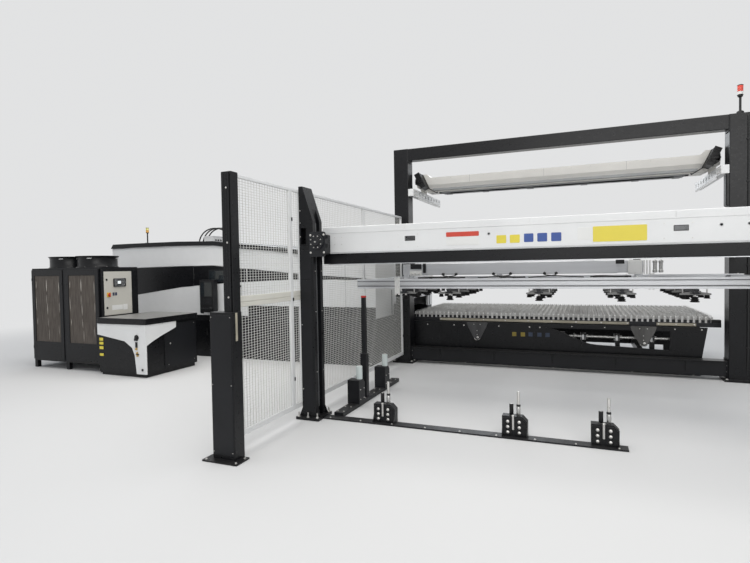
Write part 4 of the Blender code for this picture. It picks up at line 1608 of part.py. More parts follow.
sensor_plan = rounded(rectangle(SIDE_BAR_X - SENSOR_WIDTH * HALF, SIDE_BAR_X + SENSOR_WIDTH * HALF,
                                SENSOR_Y - SENSOR_WIDTH * HALF, SENSOR_Y + SENSOR_WIDTH * HALF), EDGE_ROUND,
                                2)
fuse(side_guide, prism("sensor_post", sensor_plan, "Z", SIDE_BAR_THICK - WELD_BITE, SENSOR_TOP))
sleeve_plan = rounded(rectangle(SIDE_BAR_X - SENSOR_BASE_WIDTH * HALF, SIDE_BAR_X + SENSOR_BASE_WIDTH * HALF,
                                SENSOR_Y - SENSOR_BASE_WIDTH * HALF, SENSOR_Y + SENSOR_BASE_WIDTH * HALF),
                                EDGE_ROUND, 2)
fuse(side_guide, prism("sensor_sleeve", sleeve_plan, "Z", SIDE_BAR_THICK - WELD_BITE, SENSOR_BASE_TOP))
finish(side_guide, "black_paint")


def guide_roller(name, y):
    bm = bmesh.new()
    edge = ROLLER_EDGE
    add_turned(bm, [(ROLLER_PIN_RADIUS + ROLLER_FIT, 0), (ROLLER_RADIUS - edge, 0), (ROLLER_RADIUS, edge),
                    (ROLLER_RADIUS, ROLLER_HEIGHT - edge), (ROLLER_RADIUS - edge, ROLLER_HEIGHT),
                    (ROLLER_PIN_RADIUS + ROLLER_FIT, ROLLER_HEIGHT)],
                    (SIDE_BAR_X + ROLLER_OUT, y, ROLLER_BOTTOM), 20)
    return finish(raw_object(name, bm), "white_nylon", (SIDE_BAR_X + ROLLER_OUT, y, ROLLER_BOTTOM))


guide_roller("guide_roller_front", SIDE_BLOCK_YS[0])
guide_roller("guide_roller_rear", SIDE_BLOCK_YS[1])


def centre_on_floor():
    """Move the whole plant so that its box stands centred on the floor."""
    bpy.context.view_layer.update()
    graph = bpy.context.evaluated_depsgraph_get()
    low, high = [None] * 3, [None] * 3
    for piece in PIECES:
        shown = piece.evaluated_get(graph)
        mesh = shown.to_mesh()
        for vertex in mesh.vertices:
            point = shown.matrix_world @ vertex.co
            for i in range(3):
                low[i] = point[i] if low[i] is None else min(low[i], point[i])
                high[i] = point[i] if high[i] is None else max(high[i], point[i])
        shown.to_mesh_clear()
    PLANT.location = (-middle(low[0], high[0]), -middle(low[1], high[1]), -low[2])


centre_on_floor()
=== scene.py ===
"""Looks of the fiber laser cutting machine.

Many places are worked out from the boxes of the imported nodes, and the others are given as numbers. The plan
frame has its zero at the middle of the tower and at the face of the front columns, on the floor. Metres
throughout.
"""

from math import cos, pi, radians, sin

import bmesh
import bpy
from mathutils import Matrix, Vector


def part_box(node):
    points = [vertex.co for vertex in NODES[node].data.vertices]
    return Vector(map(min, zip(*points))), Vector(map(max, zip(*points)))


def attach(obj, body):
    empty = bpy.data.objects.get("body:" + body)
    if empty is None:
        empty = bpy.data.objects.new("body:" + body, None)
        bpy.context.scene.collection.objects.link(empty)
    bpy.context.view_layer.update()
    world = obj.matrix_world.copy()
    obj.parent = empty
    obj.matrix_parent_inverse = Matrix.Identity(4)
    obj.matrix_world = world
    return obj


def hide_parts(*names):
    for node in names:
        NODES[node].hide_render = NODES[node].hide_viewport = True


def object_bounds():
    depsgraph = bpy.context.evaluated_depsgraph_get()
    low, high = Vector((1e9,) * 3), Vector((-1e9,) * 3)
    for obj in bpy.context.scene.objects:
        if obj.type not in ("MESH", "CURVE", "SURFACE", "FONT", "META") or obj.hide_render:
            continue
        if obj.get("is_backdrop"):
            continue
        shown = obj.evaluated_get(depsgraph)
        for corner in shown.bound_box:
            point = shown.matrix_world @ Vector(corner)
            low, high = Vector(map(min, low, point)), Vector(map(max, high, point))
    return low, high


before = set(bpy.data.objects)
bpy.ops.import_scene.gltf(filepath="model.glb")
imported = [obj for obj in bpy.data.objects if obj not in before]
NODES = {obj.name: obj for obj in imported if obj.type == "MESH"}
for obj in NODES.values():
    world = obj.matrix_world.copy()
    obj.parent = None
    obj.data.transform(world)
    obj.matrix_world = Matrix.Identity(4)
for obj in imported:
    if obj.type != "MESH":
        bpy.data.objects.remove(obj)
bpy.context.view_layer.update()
FOOT_MARGIN = 0.06          # rim of the foot plates around the front columns
left_low, right_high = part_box("front_left_column")[0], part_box("front_right_column")[1]
ORIGIN = Vector(((left_low.x + right_high.x) / 2, left_low.y + FOOT_MARGIN, 0))
SIDES = ((-1, "left"), (1, "right"))


class Span:
    """The box of a node in the plan frame, and its middle."""

    def __init__(self, node):
        low, high = (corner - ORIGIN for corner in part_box(node))
        self.x0, self.y0, self.z0 = low
        self.x1, self.y1, self.z1 = high
        self.x, self.y, self.z = ((a + b) / 2 for a, b in zip(low, high))


def spread(low, high, count):
    """Evenly spaced places from low to high."""
    return [low + (high - low) * k / (count - 1) for k in range(count)]


def steps(first, pitch, count):
    """Places from the first one on, a pitch apart."""
    return [first + k * pitch for k in range(count)]


def about(middle, half):
    return middle - half, middle + half


def grid(xs, ys, zs):
    """Every place at the given x, y and z, each of them one number or several."""
    xs, ys, zs = (v if isinstance(v, (tuple, list)) else (v,) for v in (xs, ys, zs))
    return [(x, y, z) for x in xs for y in ys for z in zs]


# Materials, and the slot that a piece takes by its material where it names none

MATERIALS = {}
SLOT_OF = {material: slot for slot, group in {
    "black_paint": "black_coat black_satin dark_glass",
    "white_paint": "white_coat white_lip cream_coat wire_white plate_white",
    "grey_paint": "lid_grey panel_grey strip_beige blue_dull film_crest blank_blue",
    "dark_steel": "dark_metal line_grey",
    "bare_steel": "bolt_steel ground_steel brass",
    "aluminium": "anodised",
    "black_rubber": "dark_plastic hose_black rubber filter_film screen",
    "slat_steel": "cut_steel",
    "switch_yellow": "yellow_plastic yellow_dull plate_yellow",
    "red_lamp": "red_plastic red_lamp_cap",
    "yellow_lamp": "amber_lamp_cap yellow_lamp_cap"}.items() for material in group.split()}


class Tree:
    """Short calls for making and joining the nodes of one material or world."""

    def __init__(self, owner):
        self.owner = owner
        owner.use_nodes = True
        self.nodes, self.links = owner.node_tree.nodes, owner.node_tree.links
        if isinstance(owner, bpy.types.Material):
            MATERIALS[owner.name] = owner
            self.shader = self.nodes["Principled BSDF"]
            self.coords = self.make("TexCoord").outputs["Object"]

    def plug(self, node, sockets):
        """Sets or joins the inputs of a node, given as {socket: value or output}."""
        for socket, value in sockets.items():
            target = node.inputs[socket]
            if isinstance(value, bpy.types.NodeSocket):
                self.links.new(value, target)
            else:
                target.default_value = (*value, 1.0) if target.type == 'RGBA' else value
        return node

    def make(self, kind, sockets=(), **settings):
        node = self.nodes.new("ShaderNode" + kind)
        for key, value in settings.items():
            setattr(node, key, value)
        return self.plug(node, dict(sockets))

    def shade(self, sockets):
        self.plug(self.shader, sockets)

    def noise(self, scale, detail=3.0, stretch=(1, 1, 1), rough=0.5):
        place = self.make("Mapping", {"Vector": self.coords, "Scale": stretch}).outputs["Vector"]
        return self.make("TexNoise", {"Vector": place, "Scale": scale, "Detail": detail,
                                      "Roughness": rough}).outputs["Fac"]

    def ramp(self, source, low, high, out_low=0.0, out_high=1.0):
        return self.make("MapRange", {"Value": source, "From Min": low, "From Max": high, "To Min": out_low,
                                      "To Max": out_high}).outputs["Result"]

    def mix(self, share, a, b):
        return self.make("Mix", {0: share, 6: a, 7: b}, data_type='RGBA').outputs[2]

    def math(self, operation, a, b):
        return self.make("Math", {0: a, 1: b}, operation=operation).outputs[0]

    def upright(self, vector):
        return self.make("SeparateXYZ", {"Vector": vector}).outputs["Z"]

    def bump(self, source, strength, distance, radius=0.0):
        made = self.make("Bump", {"Height": source, "Strength": strength, "Distance": distance})
        if radius:
            edge = self.make("Bevel", {"Radius": radius}, samples=4)
            self.plug(made, {"Normal": edge.outputs["Normal"]})
        self.shade({"Normal": made.outputs["Normal"]})


def painted(name, colour, rough=0.4, metal=0.0, tone=0.12, dust=0.25, scuff=0.0, depth=0.0004, edge=0.003,
            stretch=(1, 1, 1), dust_colour=(0.30, 0.28, 0.25), coat=0.0, gloss=0.5):
    """Paint, plastic or metal with clouded tone, dust on its top faces, floor scuffs and a fine grain."""
    tree = Tree(bpy.data.materials.new(name))
    darker = tuple(c * (1 - tone) for c in colour)
    lighter = tuple(min(1.0, c * (1 + tone * 0.8)) for c in colour)
    base = tree.mix(tree.ramp(tree.noise(2.3, 5.0, stretch, 0.6), 0.3, 0.7), darker, lighter)
    if scuff:
        low = tree.ramp(tree.ramp(tree.upright(tree.coords), 0.0, 0.5), 0, 1, scuff, 0.0)
        marks = tree.ramp(tree.noise(14, 6.0, (1, 1, 3), 0.7), 0.50, 0.72)
        base = tree.mix(tree.math('MULTIPLY', low, marks), base, dust_colour)
    if dust:
        facing_up = tree.ramp(tree.upright(tree.make("NewGeometry").outputs["Normal"]), 0.5, 0.95)
        settled = tree.math('MULTIPLY', facing_up, tree.ramp(tree.noise(9, 4.0), 0.3, 0.75, 0.3, 1.0))
        base = tree.mix(tree.math('MULTIPLY', settled, dust), base, dust_colour)
    worn = tree.ramp(tree.noise(31, 3.0, stretch), 0.25, 0.75, rough * 0.85, min(1.0, rough * 1.2))
    tree.shade({"Base Color": base, "Metallic": metal, "Roughness": worn, "Specular IOR Level": gloss})
    if coat:
        tree.shade({"Coat Weight": coat, "Coat Roughness": 0.15})
    tree.bump(tree.noise(420, 2.0, stretch), 0.35, depth, edge)
    tree.owner.diffuse_color = (*colour, 1.0)


STREAKED = (3, 3, 0.7)
painted("black_coat", (0.0045, 0.0048, 0.0060), 0.30, tone=0.3, dust=0.035, scuff=0.05, gloss=0.30)
painted("black_satin", (0.0075, 0.0080, 0.0098), 0.42, tone=0.3, dust=0.05, gloss=0.30)
painted("white_coat", (0.74, 0.745, 0.74), 0.33, tone=0.04, dust=0.15, dust_colour=(0.56, 0.54, 0.50))
painted("cream_coat", (0.66, 0.645, 0.58), 0.38, tone=0.06, dust=0.15, dust_colour=(0.52, 0.49, 0.42))
# Cream of the gantry hood, made lighter than the white paint as painted light, to make up for the shade its
# front face falls in
painted("hood_cream_lit", (0.84, 0.82, 0.77), 0.40, tone=0.05, dust=0.15, dust_colour=(0.52, 0.50, 0.46))
painted("line_grey", (0.16, 0.165, 0.17), 0.45, metal=0.3, tone=0.15, dust=0.05)
# The two lift plates are one part on both sides; the left one gets a darker copy of their grey metal as
# painted shade
painted("plate_dark_shaded", (0.060, 0.060, 0.062), 0.45, metal=0.4, tone=0.4, dust=0.05, stretch=STREAKED)
painted("blank_blue", (0.035, 0.045, 0.085), 0.4, tone=0.1, dust=0.05)
painted("white_lip", (0.52, 0.53, 0.53), 0.4, tone=0.08, dust=0.2)
painted("grey_coat", (0.27, 0.28, 0.29), 0.42, tone=0.10, dust=0.25)
painted("dark_metal", (0.020, 0.021, 0.024), 0.42, metal=0.3, tone=0.3, dust=0.06, gloss=0.4)
# Lighter copy of the lift plate metal, painted light on the right plate
painted("plate_metal_lit", (0.095, 0.093, 0.09), 0.5, metal=0.35, tone=0.35, dust=0.1, stretch=STREAKED)
painted("bolt_steel", (0.62, 0.61, 0.59), 0.3, metal=0.95, tone=0.12, dust=0.0, edge=0.0008)
painted("ground_steel", (0.50, 0.50, 0.49), 0.28, metal=0.95, tone=0.10, dust=0.1, stretch=(6, 1, 1))
painted("anodised", (0.66, 0.67, 0.69), 0.34, metal=0.75, tone=0.06, dust=0.15, stretch=(0.4, 6, 6),
        depth=0.0002)
painted("rubber", (0.007, 0.007, 0.0075), 0.66, tone=0.25, dust=0.08, dust_colour=(0.12, 0.115, 0.11),
        gloss=0.3)
painted("nylon", (0.60, 0.66, 0.645), 0.45, tone=0.06, dust=0.15)
painted("door_paint", (0.56, 0.545, 0.49), 0.38, tone=0.04, dust=0.12)
painted("lid_grey", (0.20, 0.20, 0.195), 0.36, tone=0.12, dust=0.22)
painted("panel_grey", (0.36, 0.37, 0.37), 0.42, tone=0.08, dust=0.15)
painted("strip_beige", (0.42, 0.385, 0.30), 0.5, metal=0.2, tone=0.20, dust=0.2, stretch=(0.7, 3, 3))
painted("dark_plastic", (0.008, 0.008, 0.009), 0.42, tone=0.2, dust=0.05, gloss=0.35)
painted("hose_black", (0.006, 0.006, 0.0068), 0.40, tone=0.2, dust=0.05, gloss=0.4)
painted("yellow_plastic", (0.70, 0.42, 0.03), 0.35, tone=0.08, dust=0.1)
painted("red_plastic", (0.50, 0.022, 0.016), 0.32, tone=0.10, dust=0.1)
painted("plate_yellow", (0.72, 0.60, 0.06), 0.35, tone=0.05, dust=0.05)
painted("plate_red", (0.56, 0.06, 0.035), 0.35, tone=0.05, dust=0.05)
painted("plate_blue", (0.03, 0.075, 0.28), 0.35, tone=0.08, dust=0.05)
painted("plate_white", (0.74, 0.74, 0.72), 0.35, tone=0.04, dust=0.05)
painted("wire_white", (0.60, 0.60, 0.57), 0.4, tone=0.08, dust=0.1, edge=0.0)
painted("yellow_dull", (0.26, 0.20, 0.035), 0.6, tone=0.2)
painted("blue_dull", (0.035, 0.05, 0.085), 0.6, tone=0.2)
# Painted highlights: pale glossy slivers that stand for the glints where the wrinkled film wrap catches the
# light
painted("film_crest", (0.50, 0.47, 0.42), 0.22, tone=0.25, dust=0.0, stretch=(3, 3, 0.5), coat=0.6)
painted("brass", (0.55, 0.38, 0.14), 0.35, metal=0.9, tone=0.15, dust=0.05)

# Cut sheet steel with a heat tint, brown scale and spatter
tree = Tree(bpy.data.materials.new("cut_steel"))
tint = tree.mix(tree.ramp(tree.noise(3.0, 6.0, (6, 1, 1), 0.7), 0.32, 0.68), (0.44, 0.43, 0.41),
                (0.70, 0.70, 0.69))
scale = tree.ramp(tree.noise(60, 5.0, (1, 1, 1), 0.75), 0.54, 0.70)
tree.shade({"Base Color": tree.mix(tree.math('MULTIPLY', scale, 0.55), tint, (0.10, 0.085, 0.07)),
            "Metallic": 0.35, "Roughness": tree.ramp(scale, 0, 1, 0.38, 0.8)})
tree.bump(tree.noise(160, 5.0), 0.6, 0.0012)

# Dusty filter film: brown-grey streaks that run down the field over a fine weave
tree = Tree(bpy.data.materials.new("filter_film"))
streaks = tree.ramp(tree.noise(7.0, 6.0, (6, 6, 0.5), 0.65), 0.35, 0.68)
blotch = tree.ramp(tree.noise(2.2, 4.0), 0.35, 0.7)
film = tree.mix(streaks, (0.055, 0.044, 0.036), (0.105, 0.088, 0.072))
tree.shade({"Base Color": tree.mix(tree.math('MULTIPLY', blotch, 0.4), film, (0.045, 0.037, 0.031)),
            "Roughness": tree.ramp(streaks, 0, 1, 0.75, 0.5)})
tree.bump(tree.noise(520, 1.0), 0.6, 0.001)

# Dark tinted glass over a black ground
tree = Tree(bpy.data.materials.new("dark_glass"))
smear = tree.noise(6, 4.0)
tree.shade({"Base Color": tree.mix(tree.ramp(smear, 0.3, 0.7), (0.010, 0.013, 0.016), (0.02, 0.026, 0.03)),
            "Roughness": tree.ramp(smear, 0.3, 0.7, 0.05, 0.16), "Coat Weight": 0.8})

# Small lit display with a pale glow and a faint grain
tree = Tree(bpy.data.materials.new("screen"))
glow = tree.mix(tree.ramp(tree.noise(90, 2.0), 0.35, 0.65), (0.62, 0.66, 0.66), (0.85, 0.88, 0.88))
tree.shade({"Base Color": glow, "Emission Color": glow, "Emission Strength": 0.45, "Roughness": 0.15})

# Coloured lamp caps, ribbed inside, that let some light through
for name, colour in (("red_lamp_cap", (0.75, 0.05, 0.02)), ("amber_lamp_cap", (0.85, 0.42, 0.05)),
                     ("yellow_lamp_cap", (0.85, 0.80, 0.22))):
    tree = Tree(bpy.data.materials.new(name))
    ribs = tree.noise(30, 1.0, (0.1, 0.1, 4))
    tone = tree.mix(tree.ramp(ribs, 0.3, 0.7), colour, tuple(c * 0.55 for c in colour))
    tree.shade({"Base Color": tone, "Roughness": 0.2, "Coat Weight": 0.6, "Emission Color": colour,
                "Emission Strength": 0.12})
    tree.bump(ribs, 0.4, 0.001)

# Drawing

AXES = {"X": (Vector((0, 1, 0)), Vector((0, 0, 1)), Vector((1, 0, 0))),
        "Y": (Vector((1, 0, 0)), Vector((0, 0, 1)), Vector((0, 1, 0))),
        "Z": (Vector((1, 0, 0)), Vector((0, 1, 0)), Vector((0, 0, 1)))}
X_AXIS = {1: "X", -1: "-X"}
SMOOTH_ANGLE = radians(35)
BOX_FACES = ((0, 1, 3, 2), (4, 6, 7, 5), (0, 4, 5, 1), (2, 3, 7, 6), (0, 2, 6, 4), (1, 5, 7, 3))


class Piece:
    """One visible piece, drawn in plan metres out of blocks, prisms, turned forms and tubes.

    An axis reads "Y" or "-Y", by the way in which the form stands out. A place is one (x, y, z) or a list.
    """

    def __init__(self, name, material, body="plant", slot=None):
        self.name, self.material, self.body = name, material, body
        self.slot = slot or SLOT_OF[material]
        self.bm = bmesh.new()

    def block(self, x0, x1, y0, y1, z0, z1):
        v = [self.bm.verts.new((x, y, z)) for x in sorted((x0, x1)) for y in sorted((y0, y1))
             for z in sorted((z0, z1))]
        for loop in BOX_FACES:
            self.bm.faces.new([v[i] for i in loop])
        return self

    def prism(self, outline, axis, start, end):
        """An outline drawn out along an axis. The outline is (y, z), (x, z) or (x, y)."""
        place = {"X": lambda u, v, w: (w, u, v), "Y": lambda u, v, w: (u, w, v), "Z": lambda *p: p}[axis]
        first = [self.bm.verts.new(place(u, v, start)) for u, v in outline]
        last = [self.bm.verts.new(place(u, v, end)) for u, v in outline]
        self.skin([first, last])
        return self

    def ring(self, centre, radius, frame_axes, sides, turn=0.0):
        u, v = frame_axes
        turns = [turn + 2 * pi * k / sides for k in range(sides)]
        return [self.bm.verts.new(centre + u * (radius * cos(a)) + v * (radius * sin(a))) for a in turns]

    def skin(self, rings, closed_ends=True):
        for a, b in zip(rings, rings[1:]):
            for k in range(len(a)):
                j = (k + 1) % len(a)
                self.bm.faces.new((a[k], a[j], b[j], b[k]))
        if closed_ends:
            self.bm.faces.new(rings[0])
            self.bm.faces.new(rings[-1])

    def turned(self, profile, places, axis="Z", sides=20, turn=0.0, closed_ends=True):
        """A (radius, distance) profile turned about a line along the axis through each place."""
        u, v, w = AXES[axis[-1]]
        way = -1 if axis[0] == "-" else 1
        for centre in places if isinstance(places, list) else [places]:
            self.skin([self.ring(Vector(centre) + w * (way * along), radius, (u, v), sides, turn)
                       for radius, along in profile], closed_ends)
        return self

    def rod(self, start, end, radius, sides=12):
        start, end = Vector(start), Vector(end)
        along = (end - start).normalized()
        u = along.orthogonal().normalized()
        self.skin([self.ring(place, radius, (u, along.cross(u)), sides) for place in (start, end)])
        return self

    def tube(self, points, radius, sides=8):
        """A round hose or bar along a smooth run of points."""
        points = [Vector(p) for p in points]
        u = None
        rings = []
        for i, point in enumerate(points):
            along = (points[min(i + 1, len(points) - 1)] - points[max(i - 1, 0)]).normalized()
            u = along.orthogonal().normalized() if u is None else (u - along * u.dot(along)).normalized()
            rings.append(self.ring(point, radius, (u, along.cross(u)), sides))
        self.skin(rings)
        return self

    def bolt(self, places, axis, size=0.012):
        """Hexagon head with a chamfered crown on a washer."""
        washer = size * 0.18
        rim = [(size * 1.15, 0), (size * 1.15, washer), (size * 0.98, washer * 1.3)]
        head = [(size * 0.86, washer), (size * 0.86, size * 0.62), (size * 0.62, size * 0.8)]
        return self.turned(rim, places, axis, 12).turned(head, places, axis, 6, 0.3)

    def socket(self, places, axis, size=0.012):
        """Socket head screw with its sunk hexagon."""
        return self.turned([(size * 0.8, 0), (size * 0.8, size * 0.85), (size * 0.7, size),
                            (size * 0.42, size),
                            (size * 0.40, size * 0.5)], places, axis, 12)

    def louvres(self, face, out, drop, lift, axis, starts, wide, levels):
        """Tilted blades on each level that stand out from a face, in rows along the axis."""
        for start in starts:
            for z in levels:
                self.prism([(face, z), (face + out, z - drop), (face, z + lift)], axis, start, start + wide)
        return self

    def sheet(self, rows, loops):
        """Strips of faces between rows of places, one for each pair of rows, and a cap at each end."""
        verts = [[self.bm.verts.new(p) for p in row] for row in rows]
        for i in range(len(rows[0]) - 1):
            for a, b in loops:
                self.bm.faces.new((verts[a][i], verts[a][i + 1], verts[b][i + 1], verts[b][i]))
        for i in (0, -1):
            self.bm.faces.new((verts[0][i], verts[1][i], verts[3][i], verts[2][i]))

    def done(self, bevel=0.0, segments=1, replaces=(), smooth=True):
        bmesh.ops.recalc_face_normals(self.bm, faces=self.bm.faces)
        bmesh.ops.translate(self.bm, vec=ORIGIN, verts=self.bm.verts)
        mesh = bpy.data.meshes.new(self.name)
        self.bm.to_mesh(mesh)
        self.bm.free()
        made = bpy.data.objects.new(self.name, mesh)
        bpy.context.scene.collection.objects.link(made)
        mesh.materials.append(MATERIALS[self.material])
        if smooth:
            mesh.shade_smooth()
            mesh.set_sharp_from_angle(angle=SMOOTH_ANGLE)
        if bevel:
            step = made.modifiers.new("edge_round", 'BEVEL')
            step.width, step.segments = bevel, segments
            step.limit_method, step.angle_limit = 'ANGLE', SMOOTH_ANGLE
            step.harden_normals = True
        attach(made, self.body)
        if replaces:
            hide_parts(*replaces)
        return made


def smooth_run(corners, steps=6):
    """A Catmull-Rom run through the corners."""
    pts = [Vector(c) for c in corners]
    pts = [pts[0] * 2 - pts[1]] + pts + [pts[-1] * 2 - pts[-2]]
    run = []
    for i in range(1, len(pts) - 2):
        p0, p1, p2, p3 = pts[i - 1:i + 3]
        for t in (k / steps for k in range(steps)):
            run.append(((p1 * 2) + (p2 - p0) * t + (p0 * 2 - p1 * 5 + p2 * 4 - p3) * t * t
                        + (p1 * 3 - p0 - p2 * 3 + p3) * t ** 3) * 0.5)
    run.append(pts[-2])
    return run


# Camera at the photograph's view, floor, world and lamps

EYE = Vector((0.464, -5.14, 1.755))
YAW, PITCH, ROLL = radians(22.2), radians(-1.62), radians(0.95)
FOCUS_PIXELS, PICTURE_WIDTH, SENSOR = 508.0, 750, 36.0
BACKGROUND = (0.76, 0.765, 0.77)
FLOOR_REACH, FLOOR_Z = 60.0, -0.002
FADE_CENTRE, FADE_NEAR, FADE_FAR = Vector((-2.5, 2.5, 0)), 7.0, 15.0


def linked(name, data):
    made = bpy.data.objects.new(name, data)
    bpy.context.scene.collection.objects.link(made)
    return made


def make_camera():
    ahead = Vector((-sin(YAW) * cos(PITCH), cos(YAW) * cos(PITCH), sin(PITCH)))
    level = Vector((cos(YAW), sin(YAW), 0))
    up = level.cross(ahead)
    right, top = level * cos(ROLL) - up * sin(ROLL), up * cos(ROLL) + level * sin(ROLL)
    data = bpy.data.cameras.new("view_camera")
    data.sensor_width, data.lens = SENSOR, FOCUS_PIXELS / PICTURE_WIDTH * SENSOR
    data.clip_start, data.clip_end = 0.05, 200
    made = linked("view_camera", data)
    turn = Matrix((right, top, -ahead)).transposed()
    made.matrix_world = Matrix.Translation(ORIGIN + EYE) @ turn.to_4x4()
    bpy.context.scene.camera = made


def make_floor():
    """Plain pale ground that keeps its shadows near the machine and turns into the background far away."""
    tree = Tree(bpy.data.materials.new("floor_pale"))
    tree.shade({"Base Color": (0.62, 0.62, 0.615), "Roughness": 0.85, "Specular IOR Level": 0.2})
    apart = tree.make("VectorMath", {0: tree.coords, 1: ORIGIN + FADE_CENTRE}, operation='DISTANCE')
    far = tree.make("MapRange",
                    {"Value": apart.outputs["Value"], "From Min": FADE_NEAR, "From Max": FADE_FAR},
                    interpolation_type='SMOOTHSTEP').outputs["Result"]
    paths = tree.make("LightPath").outputs
    seen = tree.math('MAXIMUM', paths["Is Camera Ray"], paths["Is Glossy Ray"])
    glow = tree.make("Emission", {"Color": BACKGROUND})
    mix = tree.make("MixShader", {0: tree.math('MULTIPLY', far, seen), 1: tree.shader.outputs[0],
                                  2: glow.outputs[0]})
    tree.plug(next(node for node in tree.nodes if node.type == 'OUTPUT_MATERIAL'),
              {"Surface": mix.outputs[0]})
    bm = bmesh.new()
    bm.faces.new([bm.verts.new((x * FLOOR_REACH, y * FLOOR_REACH, FLOOR_Z))
                  for x, y in ((-1, -1), (1, -1), (1, 1), (-1, 1))])
    mesh = bpy.data.meshes.new("floor")
    bm.to_mesh(mesh)
    bm.free()
    mesh.materials.append(tree.owner)
    linked("floor", mesh)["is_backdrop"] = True


def make_world():
    world = bpy.data.worlds.new("studio")
    bpy.context.scene.world = world
    tree = Tree(world)
    for node in list(tree.nodes):
        tree.nodes.remove(node)
    paths = tree.make("LightPath").outputs
    light = tree.make("Background", {"Color": (0.86, 0.91, 1.0), "Strength": 0.42})
    seen = tree.make("Background", {"Color": BACKGROUND, "Strength": 1.0})
    glossy = tree.math('MAXIMUM', paths["Is Camera Ray"], paths["Is Glossy Ray"])
    both = tree.math('MAXIMUM', glossy, paths["Is Transmission Ray"])
    mix = tree.make("MixShader", {0: both, 1: light.outputs[0], 2: seen.outputs[0]})
    tree.make("OutputWorld", {"Surface": mix.outputs[0]})


def area_light(name, place, target, size, power, colour):
    data = bpy.data.lights.new(name, 'AREA')
    data.shape, data.size, data.size_y = 'RECTANGLE', *size
    data.energy, data.color = power, colour
    made = linked(name, data)
    made.location = ORIGIN + Vector(place)
    made.rotation_mode = 'QUATERNION'
    made.rotation_quaternion = (Vector(target) - Vector(place)).to_track_quat('-Z', 'Y')


make_camera()
make_floor()
make_world()
area_light("overhead", (-2.5, 0.5, 9.0), (-2.5, 2.2, 0.5), (16, 10), 1150, (1.0, 0.98, 0.95))
area_light("front_soft", (3.0, -9.0, 5.0), (-1.0, 1.5, 1.0), (10, 5), 420, (1.0, 0.99, 0.97))
area_light("back_soft", (-6.0, 13.0, 6.0), (-2.0, 4.0, 1.2), (12, 5), 420, (0.9, 0.95, 1.0))
bpy.context.scene.view_settings.view_transform = 'Standard'

for paint, nodes in {
        "black_coat": "front_left_column front_right_column rear_left_column rear_right_column fence_post "
                      "portal_top_beam carriage_lower_beam carriage_frame platform_base cabin_roof_cap "
                      "cabin_dark_band chiller_cabinet source_cabinet",
        "black_satin": "cabin_base floor_guide_front floor_guide_side portal_floor_beam operator_panel",
        "dark_metal": "lift_bracket_left lift_bracket_right head_carriage",
        "hood_cream_lit": "gantry_beam",
        "white_coat": "carriage_front_girder gantry_rail_left gantry_rail_right cabin_shell "
                      "cabin_upper_band cabin_lower_panel cabin_door source_cover",
        "grey_coat": "traverse_bridge cutting_bridge",
        "plate_dark_shaded": "lift_plate_left",
        "plate_metal_lit": "lift_plate_right",
        "anodised": "suction_frame vacuum_reservoir cutting_head",
        "ground_steel": "drive_shaft",
        "nylon": "guide_roller_front guide_roller_rear",
        "door_paint": "control_door"}.items():
    for node in nodes.split():
        NODES[node].data.materials.clear()
        NODES[node].data.materials.append(MATERIALS[paint])

# Front columns, brackets and girder of the loading tower

left_column, right_column = Span("front_left_column"), Span("front_right_column")
TOWER_OUT = right_column.x1 - FOOT_MARGIN
COLUMN_IN = -(left_column.x1 - FOOT_MARGIN)
COLUMN_DEPTH = left_column.y1 - FOOT_MARGIN
FOOT_TOP = 0.03


def front_column_fittings(side, tag):
    out, inner = side * TOWER_OUT, side * COLUMN_IN
    feet = grid((out + side * FOOT_MARGIN * 0.5, (out + inner) / 2, inner - side * FOOT_MARGIN * 0.5),
                (-FOOT_MARGIN * 0.55, COLUMN_DEPTH + FOOT_MARGIN * 0.55), FOOT_TOP)
    bolts = Piece("column_bolts_" + tag, "bolt_steel").bolt(feet, "Z", 0.019)
    for x, y, z in feet:
        bolts.rod((x, y, z - 0.01), (x, y, z + 0.055), 0.008, 10)
    bolts.socket(grid(out - side * 0.018, 0, (0.35, 1.10, 2.12, 2.28, 2.42)), "-Y", 0.008)
    bolts.socket(grid(inner, (0.035, 0.185), (0.55, 1.25, 1.72)), X_AXIS[-side], 0.007).done()
    back = inner + side * 0.039
    rail = Piece("column_rail_" + tag, "line_grey")
    for y0, y1 in ((0.066, 0.084), (0.136, 0.154)):
        rail.block(back, back + side * 0.005, y0, y1, 0.12, 2.28)
    for z in steps(0.14, 0.0355, 60):
        rail.block(back, back + side * 0.005, 0.098, 0.122, z, z + 0.018)
    rail.done()
    trim = Piece("column_trim_" + tag, "black_satin")
    for z0, z1 in ((0.09, 1.62), (1.635, 1.96)):
        trim.block(out - side * 0.012, inner + side * 0.028, -0.003, 0.002, z0, z1)
    for z0, z1 in ((0.09, 1.30), (1.315, 2.55)):
        trim.block(out, out + side * 0.003, 0.03, 0.19, z0, z1)
    trim.done(0.0012)
    gussets = Piece("column_gussets_" + tag, "black_coat")
    for x, way in ((inner - side * 0.002, -side), (out + side * 0.002, side)):
        for y in (0.012, COLUMN_DEPTH - 0.02):
            gussets.prism([(x, FOOT_TOP), (x + way * 0.045, FOOT_TOP), (x, FOOT_TOP + 0.11)], "Y", y,
                          y + 0.008)
    gussets.done(0.001)


